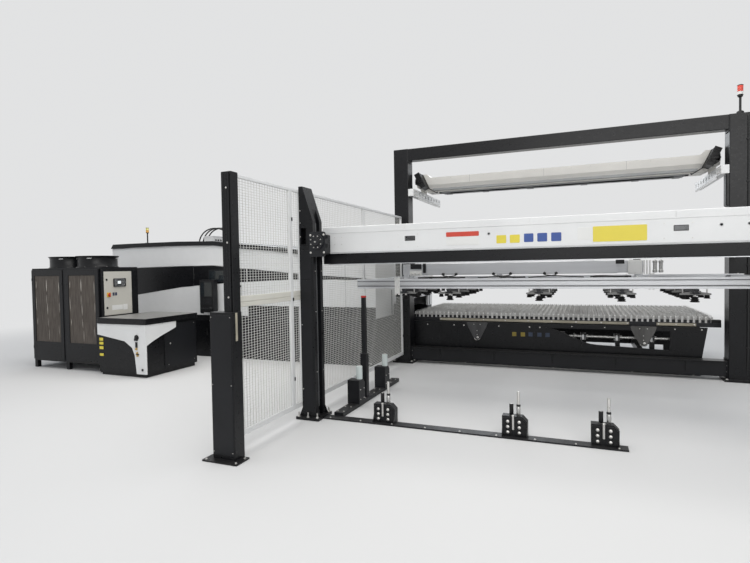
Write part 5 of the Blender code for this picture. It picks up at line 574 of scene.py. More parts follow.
def bracket_fittings(side, tag):
    """Flange screws, hub ring and clips on the bracket before the column."""
    x, z, front = side * 2.33, 2.052, Span("lift_bracket_" + tag).y0
    turns = [2 * pi * (k + 0.5) / 8 for k in range(8)]
    screws = Piece("bracket_screws_" + tag, "bolt_steel", "carriage")
    screws.socket([(x + 0.068 * cos(a), front + 0.0135, z + 0.068 * sin(a)) for a in turns], "-Y", 0.0085)
    screws.bolt(grid(about(x, 0.085), -0.0205, (z - 0.12, z + 0.08)), "-Y", 0.011)
    screws.socket((x, front, z), "-Y").done()
    hub = Piece("bracket_hub_" + tag, "black_satin", "carriage", "dark_steel")
    hub.turned([(0.052, 0.0), (0.052, 0.006), (0.047, 0.009), (0.030, 0.009), (0.030, 0.0)],
               (x, front + 0.0135, z), "-Y", 28, closed_ends=False)
    for dz in (-0.045, 0.055):
        hub.block(x - side * 0.10, x - side * 0.135, -0.018, 0.012, *about(z + dz, 0.022))
    hub.done(0.003, 2)


for side, tag in SIDES:
    front_column_fittings(side, tag)
for side, tag in SIDES:
    bracket_fittings(side, tag)

girder = Span("carriage_front_girder")
FACE, GIRDER_TOP = girder.y0, girder.z1
GIRDER_FOLD, GIRDER_LIP_TOP = girder.z1 - 0.075, girder.z0 + 0.022
SLOTS = [(x - 0.056, x + 0.056, 2.047, 2.092) for x in (-1.307, 1.307)]

# Top fold, seams, rims of the slots and bottom lip laid on the girder's face
fold = Piece("girder_top_fold", "white_coat", "carriage")
joints = [girder.x0, -1.369, -0.029, 1.266, girder.x1]
for a, b in zip(joints, joints[1:]):
    fold.prism([(FACE + 0.001, GIRDER_FOLD), (FACE - 0.004, GIRDER_FOLD + 0.004),
                (FACE - 0.004, GIRDER_TOP - 0.003),
                (FACE, GIRDER_TOP + 0.002), (FACE + 0.10, GIRDER_TOP + 0.002),
                (FACE + 0.10, GIRDER_TOP - 0.001),
                (FACE + 0.001, GIRDER_TOP - 0.001)], "X", a + 0.001, b - 0.001)
fold.done(0.0006)
Piece("girder_bottom_lip", "white_lip", "carriage").prism(
    [(FACE + 0.001, girder.z0 + 0.001), (FACE - 0.007, girder.z0 + 0.002),
     (FACE - 0.007, GIRDER_LIP_TOP - 0.004),
     (FACE + 0.001, GIRDER_LIP_TOP)], "X", girder.x0 + 0.002, girder.x1 - 0.002).done(0.0008)
rims = Piece("girder_slot_rims", "black_satin", "carriage")
screws = Piece("girder_screws", "bolt_steel", "carriage")
for x0, x1, z0, z1 in SLOTS:
    for a, b, c, d in ((x0 - 0.004, x1 + 0.004, z1 - 0.001, z1 + 0.004),
                       (x0 - 0.004, x1 + 0.004, z0 - 0.004, z0 + 0.001),
                       (x0 - 0.004, x0 + 0.001, z0, z1), (x1 - 0.001, x1 + 0.004, z0, z1)):
        rims.block(a, b, FACE - 0.002, FACE + 0.006, c, d)
    screws.socket(grid((x0 - 0.082, x1 + 0.034), FACE, (z0 - 0.07, z1 + 0.022)), "-Y", 0.006)
rims.done()
screws.socket(grid((-2.24, -2.15, 2.24, 2.15), FACE, (2.03, 2.112)), "-Y", 0.006)
screws.bolt(grid(spread(girder.x0 + 0.12, girder.x1 - 0.12, 16), FACE + 0.06, GIRDER_TOP + 0.002), "Z",
            0.009).done()
Piece("girder_pressings", "white_lip", "carriage").turned(
    [(0.016, 0), (0.0155, 0.002), (0.011, 0.0006), (0.010, 0.0)],
    grid((1.62, 1.83, 2.04, -0.44), FACE, 2.085),
    "-Y").done()

# Plain coloured plates on the girder, each with cut corners
ROUND = 0.006
for colour, places in {
        "plate_red": [(-0.897, -0.543, 2.068, 2.118)],
        "plate_white": [(-0.897, -0.543, 1.976, 2.066), (0.424, 0.545, 1.99, 2.11)],
        "plate_yellow": [(-0.362, -0.262, 1.981, 2.065), (-0.226, -0.126, 1.981, 2.065),
                         (0.562, 1.030, 1.965, 2.115)],
        "plate_blue": [(x0, x1, 1.985, 2.072) for x0,
                       x1 in ((-0.085, 0.008), (0.045, 0.140), (0.178, 0.274))]}.items():
    made = Piece("girder_" + colour, colour, "carriage", "white_paint")
    for x0, x1, z0, z1 in places:
        made.prism([(x0 + ROUND, z0), (x1 - ROUND, z0), (x1, z0 + ROUND), (x1, z1 - ROUND), (x1 - ROUND, z1),
                    (x0 + ROUND, z1), (x0, z1 - ROUND), (x0, z0 + ROUND)], "Y", FACE - 0.0018, FACE + 0.0005)
    made.done(0.0005)

beam = Span("carriage_lower_beam")
strip = Piece("lower_beam_strip", "anodised", "carriage")
strip.block(beam.x0 + 0.05, beam.x1 - 0.05, beam.y0 + 0.012, beam.y0 + 0.045, beam.z0 - 0.009,
            beam.z0 + 0.001)
for x in (beam.x0 + 0.16, -0.6, 0.6, beam.x1 - 0.16):
    strip.block(*about(x, 0.04), beam.y0 + 0.005, beam.y0 + 0.055, beam.z0 - 0.012, beam.z0 - 0.001)
strip.done(0.001)
wiring = Piece("lower_beam_fittings", "dark_plastic", "carriage")
for a, b in ((-2.17, -2.06), (-2.03, -1.95), (0.35, 1.05)):
    wiring.block(a, b, FACE + 0.004, FACE + 0.03, beam.z1 - 0.016, beam.z1 + 0.004)
wiring.done(0.002)

# Lift carriage frame behind the girder
cradle = Span("carriage_frame")
DECK_XS = (-1.5, -0.55, 0.55, 1.5)
ribs = Piece("carriage_ribs", "black_coat", "carriage")
for x in spread(-2.0, 2.0, 9):
    ribs.prism([(cradle.y1 - 0.125, 1.99), (cradle.y1 - 0.175, 1.99), (cradle.y1 - 0.125, 2.13)], "X",
               *about(x, 0.005))
for x in DECK_XS:
    ribs.block(*about(x, 0.07), 0.50, 0.508, 2.09, 2.215).block(*about(x, 0.055), 0.42, 3.44, 2.2255, 2.2295)
ribs.done(0.0012)
bolts = Piece("carriage_bolts", "bolt_steel", "carriage")
bolts.socket(grid([x + dx for x in DECK_XS for dx in (0.036, -0.036)], spread(0.50, 3.38, 7), 2.2295), "Z",
             0.007)
bolts.bolt(grid((-2.345, 2.345), spread(0.55, 3.35, 8), 1.985), "Z").done()
rails = Piece("carriage_rails", "ground_steel", "carriage")
for side in (-1, 1):
    for z0, z1 in ((1.845, 1.855), (1.955, 1.965)):
        rails.block(side * 2.293, side * 2.289, 0.51, 3.385, z0, z1)
rails.done()

# Traverse bridge
bridge = Span("traverse_bridge")
drive_y, drive_z, shaft_y, shaft_z = bridge.y - 0.03, bridge.z1 + 0.055, bridge.y + 0.055, bridge.z1 + 0.022
drive = Piece("traverse_drive", "dark_metal", "traverse")
drive.turned([(0.052, 0), (0.052, 0.13), (0.047, 0.135), (0.047, 0.20), (0.040, 0.205)],
             (0.30, drive_y, drive_z), "X")
drive.block(0.17, 0.302, bridge.y - 0.085, bridge.y + 0.02, bridge.z1 - 0.004, bridge.z1 + 0.105)
drive.turned([(0.050, 0), (0.050, 0.002)], grid(steps(0.44, 0.006, 9), drive_y, drive_z), "X")
drive.done(0.002, 2)
shafting = Piece("traverse_shaft", "ground_steel", "traverse")
shafting.rod((bridge.x0 + 0.09, shaft_y, shaft_z), (bridge.x1 - 0.09, shaft_y, shaft_z), 0.012, 14)
shafting.turned([(0.021, 0), (0.021, 0.03)], grid((-1.9, -0.9, 0.45, 1.3, 1.95), shaft_y, shaft_z), "X",
                14).done()
seats = Piece("traverse_bearings", "plate_white", "traverse")
for x in (-1.95, -0.95, 0.40, 1.25, 1.90):
    seats.prism([(bridge.y + dy, bridge.z1 + dz) for dy, dz in (
        (0.03, -0.002), (0.08, -0.002), (0.08, 0.03), (0.068, 0.045), (0.042, 0.045), (0.03, 0.03))],
        "X", *about(x, 0.016))
seats.done(0.002, 2)
bushes = Piece("traverse_bushes", "dark_metal", "traverse")
for axis, z, radius, high in (("Z", bridge.z1, 0.044, 0.055), ("-Z", bridge.z0, 0.042, 0.05)):
    bushes.turned([(0.030, 0), (0.058, 0), (0.058, 0.012), (radius, 0.014), (radius, high), (0.030, high)],
                  grid((-1.86, 1.10), bridge.y, z), axis, 24)
bushes.done(0.001)

# Suction frame

suction = Span("suction_frame")
HALF_WIDTH = 0.065 / 2      # of the slotted profiles
FRONT_Y, REAR_Y = suction.y0 + HALF_WIDTH, suction.y1 - HALF_WIDTH
PROFILE_TOP, PROFILE_LOW = 1.591, suction.z0
CROSS_XS = (-2.30, -1.86, -0.55, 1.10, 2.30)
CLAMP_X = -1.826

caps = Piece("profile_caps", "plate_white", "suction")
for x, way in ((suction.x0, -1), (suction.x1, 1)):
    for y in (FRONT_Y, REAR_Y):
        caps.block(x, x + way * 0.006, *about(y, 0.033), PROFILE_LOW - 0.001, PROFILE_TOP + 0.001)
for x, y, way in ((CLAMP_X, FRONT_Y, -1), (CLAMP_X, REAR_Y, 1), (1.36, REAR_Y, 1)):
    face = y + way * HALF_WIDTH
    for edge in about(x, 0.024):
        caps.block(*about(edge, 0.013), face, face + way * 0.010, PROFILE_LOW - 0.085, PROFILE_TOP + 0.022)
    caps.block(*about(x, 0.012), face, face + way * 0.004, PROFILE_LOW - 0.07, PROFILE_TOP + 0.015)
caps.done(0.0025, 2)
lines = Piece("profile_shadow_strips", "line_grey", "suction")
for y, way in ((FRONT_Y, -1), (REAR_Y, 1)):
    inner = y + way * (HALF_WIDTH - 0.0125)
    for share in (0.24, 0.79):
        lines.block(suction.x0 + 0.004, suction.x1 - 0.004, inner, inner + way * 0.009,
                    *about(PROFILE_LOW + (PROFILE_TOP - PROFILE_LOW) * share, 0.0075))
lines.done()
screws = Piece("profile_screws", "bolt_steel", "suction")
screws.bolt(grid([x + dx for x in CROSS_XS for dx in (-0.06, 0.06)], (FRONT_Y, REAR_Y), PROFILE_TOP), "Z",
            0.010)
screws.socket(grid(about(CLAMP_X, 0.024), suction.y0 - 0.010,
                   [PROFILE_LOW + dz for dz in (-0.06, 0.025, 0.105)]),
              "-Y", 0.006).done()
brackets = Piece("profile_corners", "dark_metal", "suction")
for x in CROSS_XS:
    for y, way in ((FRONT_Y + HALF_WIDTH, 1), (REAR_Y - HALF_WIDTH, -1)):
        for side in (-1, 1):
            brackets.prism([(x + side * 0.04, y), (x + side * 0.085, y), (x + side * 0.04, y + way * 0.045)],
                           "Z", 1.515, 1.57)
brackets.done(0.002)

SMALL_CUP = [(0.018, 0.0), (0.032, 0.008), (0.022, 0.015), (0.036, 0.024), (0.026, 0.031), (0.040, 0.042),
             (0.030, 0.044)]
SIDE_CUP = [(0.018, 0.0), (0.030, 0.008), (0.022, 0.015), (0.032, 0.022), (0.024, 0.029), (0.034, 0.038),
            (0.026, 0.040)]
MAIN_CUP = [(0.020, 0.0), (0.024, 0.005), (0.036, 0.012), (0.038, 0.017), (0.028, 0.024), (0.042, 0.032),
            (0.044, 0.037), (0.032, 0.044), (0.047, 0.053), (0.048, 0.058), (0.040, 0.061), (0.022, 0.050)]
MAIN_STEM = [(0.020, 0), (0.020, 0.006), (0.013, 0.008), (0.013, 0.030), (0.017, 0.031), (0.017, 0.038)]


def suction_arm(number):
    """Grooved arm with clamp plates, level springs, ribbed bellows cups and a grey front plate."""
    node = "suction_arm_%d" % number
    span = Span(node)
    x, top, low = span.x, span.z1, span.z1 - 0.055
    half = [(0.025, 0.0), (0.025, 0.018), (0.017, 0.022), (0.017, 0.033), (0.025, 0.037), (0.025, top - low)]
    bar = Piece("arm_bar_%d" % number, "dark_metal", "suction")
    bar.prism([(x - 0.025, low)] + [(x + u, low + v) for u, v in half] + [(x - u, low + v) for u,
                                                                          v in half[:0:-1]],
              "Y", span.y0 + 0.004, span.y1 - 0.004)
    for y in (FRONT_Y, REAR_Y):
        bar.block(*about(x, 0.05), *about(y, 0.045), low + 0.004, low + 0.014)
    bar.done(0.0015, replaces=[node])
    cups = Piece("arm_cups_%d" % number, "rubber", "suction")
    stems = Piece("arm_stems_%d" % number, "bolt_steel", "suction")
    plates = Piece("arm_plates_%d" % number, "lid_grey", "suction")
    main = [span.y0 + (span.y1 - span.y0) * (0.06 + k * 0.88 / 3) for k in range(4)]
    between = [(a + b) / 2 for a, b in zip(main, main[1:])]
    stems.turned([(0.016, 0), (0.016, 0.008), (0.011, 0.010), (0.011, 0.034)], grid(x, between, low + 0.002),
                 "-Z", 12)
    cups.turned(SMALL_CUP, grid((x - 0.105, x, x + 0.105), between, low - 0.012), "-Z", 16)
    for y in between:
        cups.block(*about(x, 0.125), *about(y, 0.020), low - 0.012, low + 0.002)
    stems.turned(MAIN_STEM, grid(x, main, low + 0.002), "-Z", 12)
    cups.turned(MAIN_CUP, grid(x, main, low - 0.032), "-Z", 24)
    for y in main:
        for spot in about(x, 0.115):
            stems.rod((spot, y + 0.004, low - 0.012), (spot, y + 0.004, low + 0.05), 0.007, 10)
            cups.turned(SIDE_CUP, (spot, y + 0.004, low - 0.012), "-Z", 18)
        plates.prism([(x + dx, low + dz) for dx,
                      dz in ((-0.15, -0.012), (0.15, -0.012), (0.15, 0.006), (0.06, 0.02),
                                                        (-0.06, 0.02), (-0.15, 0.006))], "Y", y - 0.028,
                                                        y - 0.024)
    stems.bolt(grid(x, [y - 0.028 for y in main], low + 0.006), "-Y", 0.008)
    cups.done()
    stems.done()
    plates.done(0.0012)


for number in range(1, 6):
    suction_arm(number)

# Vacuum reservoir with valves, brackets and hose lines clipped along it
TANK_FRONT, TANK_TOP, TANK_LOW = 1.67, 1.792, 1.632
HOSE_XS = (-1.30, -1.12, -0.62, -0.40, 0.02, 0.16)
HOSE_REACHES = (0.34, -0.42, 0.30, -0.36, 0.46, -0.30)
lids = Piece("reservoir_brackets", "plate_white", "suction")
lids.prism([(0.972, TANK_LOW - 0.012), (1.122, TANK_LOW - 0.012), (1.122, TANK_TOP - 0.012),
            (1.11, TANK_TOP),
            (0.984, TANK_TOP), (0.972, TANK_TOP - 0.012)], "Y", TANK_FRONT - 0.040, TANK_FRONT - 0.004)
for x in (1.145, 1.175, 1.205):
    lids.block(*about(x, 0.009), TANK_FRONT - 0.020, TANK_FRONT - 0.008, TANK_LOW - 0.012, TANK_TOP - 0.004)
lids.block(-1.775, -1.60, TANK_FRONT - 0.030, TANK_FRONT - 0.006, TANK_LOW - 0.012,
           TANK_LOW + 0.062).done(0.002, 2)
valves = Piece("reservoir_valves", "dark_plastic", "suction")
valves.block(0.84, 0.935, TANK_FRONT - 0.025, TANK_FRONT - 0.004, TANK_TOP - 0.045, TANK_TOP + 0.004)
valves.block(-1.765, -1.61, TANK_FRONT - 0.026, TANK_FRONT - 0.006, TANK_LOW + 0.085, TANK_TOP - 0.004)
valves.block(-1.585, -1.545, TANK_FRONT - 0.022, TANK_FRONT - 0.004, TANK_LOW + 0.03, TANK_TOP)
for x in HOSE_XS:
    valves.block(*about(x, 0.018), TANK_FRONT - 0.030, TANK_FRONT - 0.002, TANK_LOW - 0.004,
                 TANK_LOW + 0.022)
valves.done(0.003, 2)
Piece("suction_cylinders", "ground_steel", "suction").turned(
    [(0.012, 0), (0.026, 0.004), (0.026, 0.030), (0.021, 0.034), (0.021, 0.115), (0.026, 0.119),
     (0.026, 0.140),
     (0.012, 0.144), (0.010, 0.152)], grid((1.262, 1.325), TANK_FRONT + 0.015, TANK_LOW + 0.004)).done()
ties = Piece("reservoir_screws", "bolt_steel", "suction")
ties.socket(grid((0.99, 1.047, 1.104), TANK_FRONT - 0.040, (TANK_LOW + 0.012, TANK_TOP - 0.035)), "-Y",
            0.006)
ties.socket(grid(spread(-1.45, 0.74, 12), TANK_FRONT - 0.001, TANK_TOP - 0.022), "-Y", 0.005)
ties.turned([(0.012, 0), (0.012, 0.012), (0.008, 0.014), (0.008, 0.03)],
            grid((-1.74, -1.69, -1.64), TANK_FRONT - 0.030, TANK_LOW + 0.022), "-Y", 10).done()
hoses = Piece("suction_hoses", "hose_black", "suction")
for x, reach in zip(HOSE_XS, HOSE_REACHES):
    hoses.tube(smooth_run([(x, TANK_FRONT - 0.02, TANK_LOW + 0.028),
                           (x, TANK_FRONT - 0.03, TANK_LOW - 0.005),
                           (x + reach * 0.25, TANK_FRONT - 0.06, PROFILE_TOP + 0.022),
                           (x + reach * 0.7, FRONT_Y + 0.10, PROFILE_TOP + 0.014),
                           (x + reach, FRONT_Y + 0.012, PROFILE_TOP + 0.009)], 5), 0.0065, 7)
for x0, x1 in ((-1.55, -0.92), (-0.50, -0.18), (0.55, 0.98)):
    for radius, run in ((0.009, ((x0, 0.01, 0.012), (x0 + (x1 - x0) * 0.3, 0.016, 0.020),
                                 (x0 + (x1 - x0) * 0.65, -0.004, 0.011), (x1, 0.012, 0.013))),
                        (0.0075, ((x0 + 0.03, -0.012, 0.010), (x0 + (x1 - x0) * 0.4, -0.018, 0.014),
                                  (x1 - 0.06, -0.012, 0.010)))):
        hoses.tube(smooth_run([(x, FRONT_Y + dy, PROFILE_TOP + dz) for x, dy, dz in run], 6), radius, 8)
hoses.done()

# Upper gantry

hood = Span("gantry_beam")
HOOD_BACK, HOOD_FRONT = hood.y1, hood.y0
belly = Piece("gantry_belly_panel", "panel_grey", "gantry")
belly.block(-2.0, 2.0, HOOD_FRONT + 0.064, HOOD_BACK - 0.064, hood.z0 - 0.012, hood.z0 + 0.002)
belly.block(-2.16, 2.16, HOOD_FRONT + 0.012, HOOD_FRONT + 0.062, hood.z0 + 0.03, hood.z0 + 0.075).done(0.003)
seams = Piece("gantry_seams", "line_grey", "gantry", "black_rubber")
for x in (-1.45, -0.15, 1.15):
    seams.block(*about(x, 0.0012), HOOD_FRONT - 0.0006, HOOD_FRONT + 0.01, 3.30, 3.434)
    seams.block(*about(x, 0.0015), HOOD_FRONT, HOOD_BACK, 3.434, 3.4356)
for x in (-1.9, -1.2, -0.4, 0.5, 1.3, 1.9):
    seams.block(*about(x, 0.055), HOOD_FRONT + 0.09, HOOD_BACK - 0.09, hood.z0 - 0.022, hood.z0 - 0.008)
seams.done()
runs = Piece("gantry_hoses", "hose_black", "gantry")
for j, (dy, z) in enumerate(((0.10, 3.144), (0.122, 3.140), (0.145, 3.145))):
    y = HOOD_FRONT + dy
    sagging = [(-2.05 + k * 4.1 / 12, y + 0.006 * sin(k * 1.7 + j), z - 0.010 * abs(sin(k * 1.1 + j * 0.8)))
               for k in range(1, 12)]
    runs.tube(smooth_run([(-2.05, y, z + 0.004), *sagging, (2.05, y, z + 0.004)], 4), 0.0085, 7)
runs.done()
fixings = Piece("gantry_screws", "bolt_steel", "gantry")
for axis, y in (("-Y", HOOD_FRONT), ("Y", HOOD_BACK)):
    fixings.socket(grid(spread(-2.1, 2.1, 15), y, 3.405), axis, 0.006)
for side in (-1, 1):
    ys = (HOOD_FRONT + 0.06, hood.y, HOOD_BACK - 0.06)
    fixings.bolt(grid(side * 2.38, ys, hood.z1), "Z", 0.011).bolt(grid(side * hood.x1, ys, 3.40),
                                                                  X_AXIS[side], 0.011)
fixings.done()


def gantry_side(side, tag):
    """Links of the energy chain, rail bolts, strut and cables at one end of the gantry."""
    chain = Span("energy_chain_" + tag)
    links = Piece("chain_links_" + tag, "dark_plastic", "gantry")
    count = 14
    pitch = (chain.y1 - chain.y0) / count
    low, high = chain.z0, chain.z1
    for k in range(count):
        y = chain.y0 + k * pitch
        plate = [(y + pitch * share, z) for share, z in (
            (0.04, low + 0.004), (0.96, low + 0.004), (1.02, low + 0.03), (1.02, high - 0.03), (0.96, high),
            (0.04, high), (-0.06, high - 0.03), (-0.06, low + 0.03))]
        for x, pin, axis in ((chain.x0, chain.x0, "-X"), (chain.x1 - 0.012, chain.x1, "X")):
            links.prism(plate, "X", x + (0.003 if k % 2 else 0), x + (0.012 if k % 2 else 0.009))
            links.turned([(0.014, 0), (0.014, 0.004), (0.008, 0.005)], (pin, y + pitch / 2, chain.z), axis,
                         12)
        for z0, z1 in ((high - 0.012, high - 0.002), (low + 0.002, low + 0.012)):
            links.block(chain.x0 + 0.006, chain.x1 - 0.006, y + pitch * 0.3, y + pitch * 0.7, z0, z1)
    links.done(0.0012, replaces=["energy_chain_" + tag])
    bundle = Piece("chain_bundle_" + tag, "dark_plastic", "gantry")
    across, along = 0.905, 0.425        # direction of the bundle's slant
    for k in range(11):
        cx, cz = 2.262 + 0.0115 * k, 3.225 + 0.0245 * k
        for half, wide, start, end in ((0.012, 0.052, 3.955, 3.975), (0.0085, 0.046, 3.975, 4.215),
                                       (0.012, 0.052, 4.215, 4.235)):
            bundle.prism([(side * (cx + i * along * half + j * across * wide),
                           cz + i * across * half - j * along * wide)
                          for i, j in ((-1, -1), (1, -1), (1, 1), (-1, 1))], "Y", start, end)
    bundle.done(0.002)
    cables = Piece("chain_cables_" + tag, "hose_black", "gantry")
    for k, x in enumerate(spread(chain.x0 + 0.03, chain.x1 - 0.03, 4)):
        cables.tube(grid(x, spread(chain.y0 - 0.01, chain.y1 + 0.02, 5), chain.z - 0.012 + 0.01 * (k % 2)),
                    0.011)
    cables.done()
    rail = Span("gantry_rail_" + tag)
    Piece("rail_bolts_" + tag, "bolt_steel").bolt(
        grid(rail.x0 if side > 0 else rail.x1, (3.68, 3.74, 3.80, 3.86), (rail.z0 + 0.03, rail.z1 - 0.03)),
        X_AXIS[-side], 0.011).done()
    track = Piece("rail_track_" + tag, "ground_steel")
    for outline in ([(rail.x + dx, rail.z1 + dz) for dx,
                     dz in ((-0.012, -0.002), (0.012, -0.002), (0.008, 0.006),
                                                               (-0.008, 0.006))],
                    [(rail.x - side * dx, rail.z0 + dz) for dx,
                     dz in ((0.05, -0.001), (0.045, -0.03), (0.03, -0.03),
                                                                      (0.03, -0.001))]):
        track.prism(outline, "Y", 3.93, rail.y1 - 0.02)
    track.done(0.001)
    strut = Piece("hood_strut_" + tag, "dark_metal", "gantry")
    outer, inner, y = side * 2.40, side * 2.07, HOOD_FRONT - 0.012
    strut.rod((inner, y, 3.135), (outer, y, 3.34), 0.008, 8)
    strut.rod((inner, y, 3.135), (inner, HOOD_FRONT + 0.03, 3.160), 0.010, 8)
    strut.rod((outer, y, 3.34), (outer, HOOD_FRONT + 0.02, 3.34), 0.010, 8).done()


for side, tag in SIDES:
    gantry_side(side, tag)

# Portal

portal, floor_beam, right_post = Span("portal_top_beam"), Span("portal_floor_beam"), Span("rear_right_column")
POST_OUT, POST_WIDTH = 2.709, 0.268
bolts = Piece("portal_bolts", "bolt_steel")
flanges = Piece("portal_flanges", "black_satin")
for side in (-1, 1):
    end, inner = side * portal.x1, side * (portal.x1 - 0.012)
    bolts.bolt(grid(inner, (portal.y0 + 0.03, portal.y1 - 0.03), (portal.z0 + 0.035, portal.z1 - 0.035)),
               X_AXIS[-side], 0.011)
    bolts.bolt(grid((side * 2.411, side * 2.739), (3.605, 3.77, 3.90), FOOT_TOP), "Z", 0.02)
    bolts.bolt(grid(inner, (3.70, 3.84), (0.13, 0.22)), X_AXIS[-side], 0.013)
    flanges.block(end, inner, portal.y0 - 0.004, portal.y1 + 0.02, portal.z0 - 0.03, portal.z1 - 0.002)
    flanges.block(end, inner, 3.66, 3.88, 0.0325, 0.315)
    flanges.block(side * POST_OUT, side * (POST_OUT - POST_WIDTH), portal.y0 + 0.006, 3.90, portal.z1,
                  portal.z1 + 0.004)
bolts.done()
flanges.done(0.0015)
trim = Piece("floor_beam_trim", "black_coat")
y, z = floor_beam.y0, floor_beam.z1
trim.prism([(y - 0.001, z - 0.022), (y - 0.004, z - 0.018), (y - 0.004, z + 0.001),
            (floor_beam.y1, z + 0.002),
            (floor_beam.y1, z - 0.001)], "X", floor_beam.x0 + 0.013, floor_beam.x1 - 0.013)
for x in (-1.9, -0.95, 0.0, 0.95, 1.9):
    trim.prism([(y + 0.031, 0.10), (y + 0.031, z - 0.02), (y + 0.008, z - 0.02)], "X", *about(x, 0.004))
trim.done(0.001)
lid_x = right_post.x1 - FOOT_MARGIN - POST_WIDTH
Piece("junction_lid", "black_satin").block(lid_x - 0.041, lid_x - 0.034, 3.652, 3.774, 2.57,
                                           3.01).done(0.003, 2)
Piece("column_conduit", "hose_black").tube(
    smooth_run([(2.66, 3.64, 0.10), *grid(2.668, 3.628, (0.5, 1.6, 2.9, 3.72)), (2.66, 3.64, 3.85)], 6),
    0.011, 10).done()
clips = Piece("conduit_clips", "dark_plastic")
for z in (0.5, 1.1, 1.7, 2.3, 2.9, 3.5):
    clips.block(2.648, 2.688, 3.614, 3.636, *about(z, 0.01))
clips.done(0.002)

# Lamp tower: foot, pole and three ribbed lamp caps with black rings
lamp = Span("tower_beacon")
CAP_HIGH = 0.043
body = Piece("beacon_body", "dark_plastic")
for profile in ([(0.050, 0), (0.050, 0.014), (0.046, 0.05), (0.030, 0.062), (0.020, 0.066), (0.016, 0.07),
                 (0.016, 0.255),
                 (0.026, 0.262), (0.034, 0.270), (0.034, 0.285), (0.040, 0.290), (0.040, 0.296)],
                [(0.040, 0.425), (0.040, 0.431), (0.030, 0.4385), (0.01, 0.4395)]):
    body.turned(profile, (lamp.x, lamp.y, lamp.z0), "Z", 24)
body.done(replaces=["tower_beacon"])


def ribbed(steps, pitch, crest, valley, first, last, top):
    """Profile of a lamp cap with its rings."""
    rings = [(radius, shift + k * pitch) for k in range(steps) for radius,
             shift in ((crest, first), (valley, last))]
    return rings + [(crest, top)]


for k, (material, slot) in enumerate((("plate_white", "white_nylon"), ("red_lamp_cap", None),
                                      ("red_lamp_cap", None))):
    Piece("beacon_cap_%d" % (k + 1), material, "plant", slot).turned(
        ribbed(4, 0.0104, 0.0385, 0.0368, 0.001, 0.006, 0.0415),
        (lamp.x, lamp.y, lamp.z0 + 0.296 + k * CAP_HIGH),
        "Z", 24).done()

# Exchange platform and table

table, platform = Span("exchange_table"), Span("platform_base")
FRONT_PLATE_Y = 3.94
FRAME_LOW, FRAME_TOP, SKIN = 0.7425, 0.8073, 0.004
RAIL_WIDTH = 0.1
SLAT_TOP, TOOTH_VALLEY, SLAT_LOW = table.z1 - 0.058, 0.856, 0.818
PITCH, TOOTH, SLAT_THICK = 0.0795, 0.0733, 0.003
TIE_YS = (table.y0 + 0.03, table.y1 - 0.03)

rails = Piece("table_frame", "dark_metal", "table")
for y, way in ((table.y0, 1), (table.y1, -1)):
    for z0, z1 in ((FRAME_LOW, FRAME_LOW + SKIN), (FRAME_TOP - SKIN, FRAME_TOP)):
        rails.block(table.x0, table.x1, y, y + way * RAIL_WIDTH, z0, z1)
    rails.block(table.x0, table.x1, y, y + way * 0.006, FRAME_LOW + SKIN, FRAME_TOP - SKIN)
for x0 in (table.x0, table.x1 - RAIL_WIDTH):
    rails.block(x0, x0 + RAIL_WIDTH, table.y0 + RAIL_WIDTH, table.y1 - RAIL_WIDTH, FRAME_LOW, FRAME_TOP)
for y in TIE_YS:
    for a, b in ((-0.010, -0.006), (0.006, 0.010)):
        rails.block(table.x0 + 0.004, table.x1 - 0.004, y + a, y + b, FRAME_TOP - 0.002, 0.85)
for x in spread(table.x0 + 0.5, table.x1 - 0.5, 5):
    rails.block(*about(x, 0.02), table.y0 + RAIL_WIDTH, table.y1 - RAIL_WIDTH, 0.75, 0.79)
rails.done(0.001, replaces=["exchange_table"])

# Toothed slats across the table and low toothed strips along it that stand in the slats' valleys. Every
# tooth is a closed strip of quads.
SLAT_START, SLAT_END = table.y0 + 0.02, table.y1 - 0.02
TEETH = int((SLAT_END - SLAT_START) / TOOTH)
STEP = (SLAT_END - SLAT_START) / TEETH
SLAT_COUNT = int((table.x1 - table.x0 - 0.10) // PITCH)
SLAT_XS = [(table.x0 + table.x1) / 2 - PITCH * (SLAT_COUNT - 1) / 2 + k * PITCH for k in range(SLAT_COUNT)]
STRIP_LOOPS = ((0, 1), (2, 3), (1, 3), (0, 2))
TOOTH_FORM = ((0.0, TOOTH_VALLEY), (0.07, TOOTH_VALLEY), (0.30, SLAT_TOP - 0.045), (0.47, SLAT_TOP),
              (0.60, SLAT_TOP - 0.002), (0.77, SLAT_TOP - 0.050), (0.95, TOOTH_VALLEY))
edge = [(SLAT_START + (k + share) * STEP, z) for k in range(TEETH) for share, z in TOOTH_FORM]
edge.append((SLAT_END, TOOTH_VALLEY))
slats = Piece("table_slats", "cut_steel", "table")
for k, x in enumerate(SLAT_XS):
    drift = 0.0012 * sin(k * 2.3)
    burnt = [(y, z - 0.0015 * (1 + sin(k * 3.7 + y * 9)) * (z > SLAT_TOP - 0.02)) for y, z in edge]
    slats.sheet([row for side in about(x, SLAT_THICK / 2) for row in (
        [(side + drift, y, SLAT_LOW) for y, _ in edge], [(side - drift, y, z) for y, z in burnt])],
        STRIP_LOOPS)
slats.done(smooth=False)
combs = Piece("table_combs", "cut_steel", "table")
for row in range(1, TEETH):
    edge = []
    for k, x in enumerate(SLAT_XS[:-1]):
        top = SLAT_TOP - 0.003 * (1 + sin(k * 4.1 + row * 2.7))
        edge += [(x + 0.004, TOOTH_VALLEY - 0.004), (x + PITCH * 0.36, top - 0.016), (x + PITCH * 0.5, top),
                 (x + PITCH * 0.64, top - 0.020), (x + PITCH - 0.004, TOOTH_VALLEY - 0.004)]
    combs.sheet([[(x, y, z) for x, z in line] for y in about(SLAT_START + row * STEP, 0.0012)
                 for line in ([(x, SLAT_LOW + 0.003) for x, _ in edge], edge)], STRIP_LOOPS)
combs.done(smooth=False)
holders = Piece("slat_holders", "cut_steel", "table")
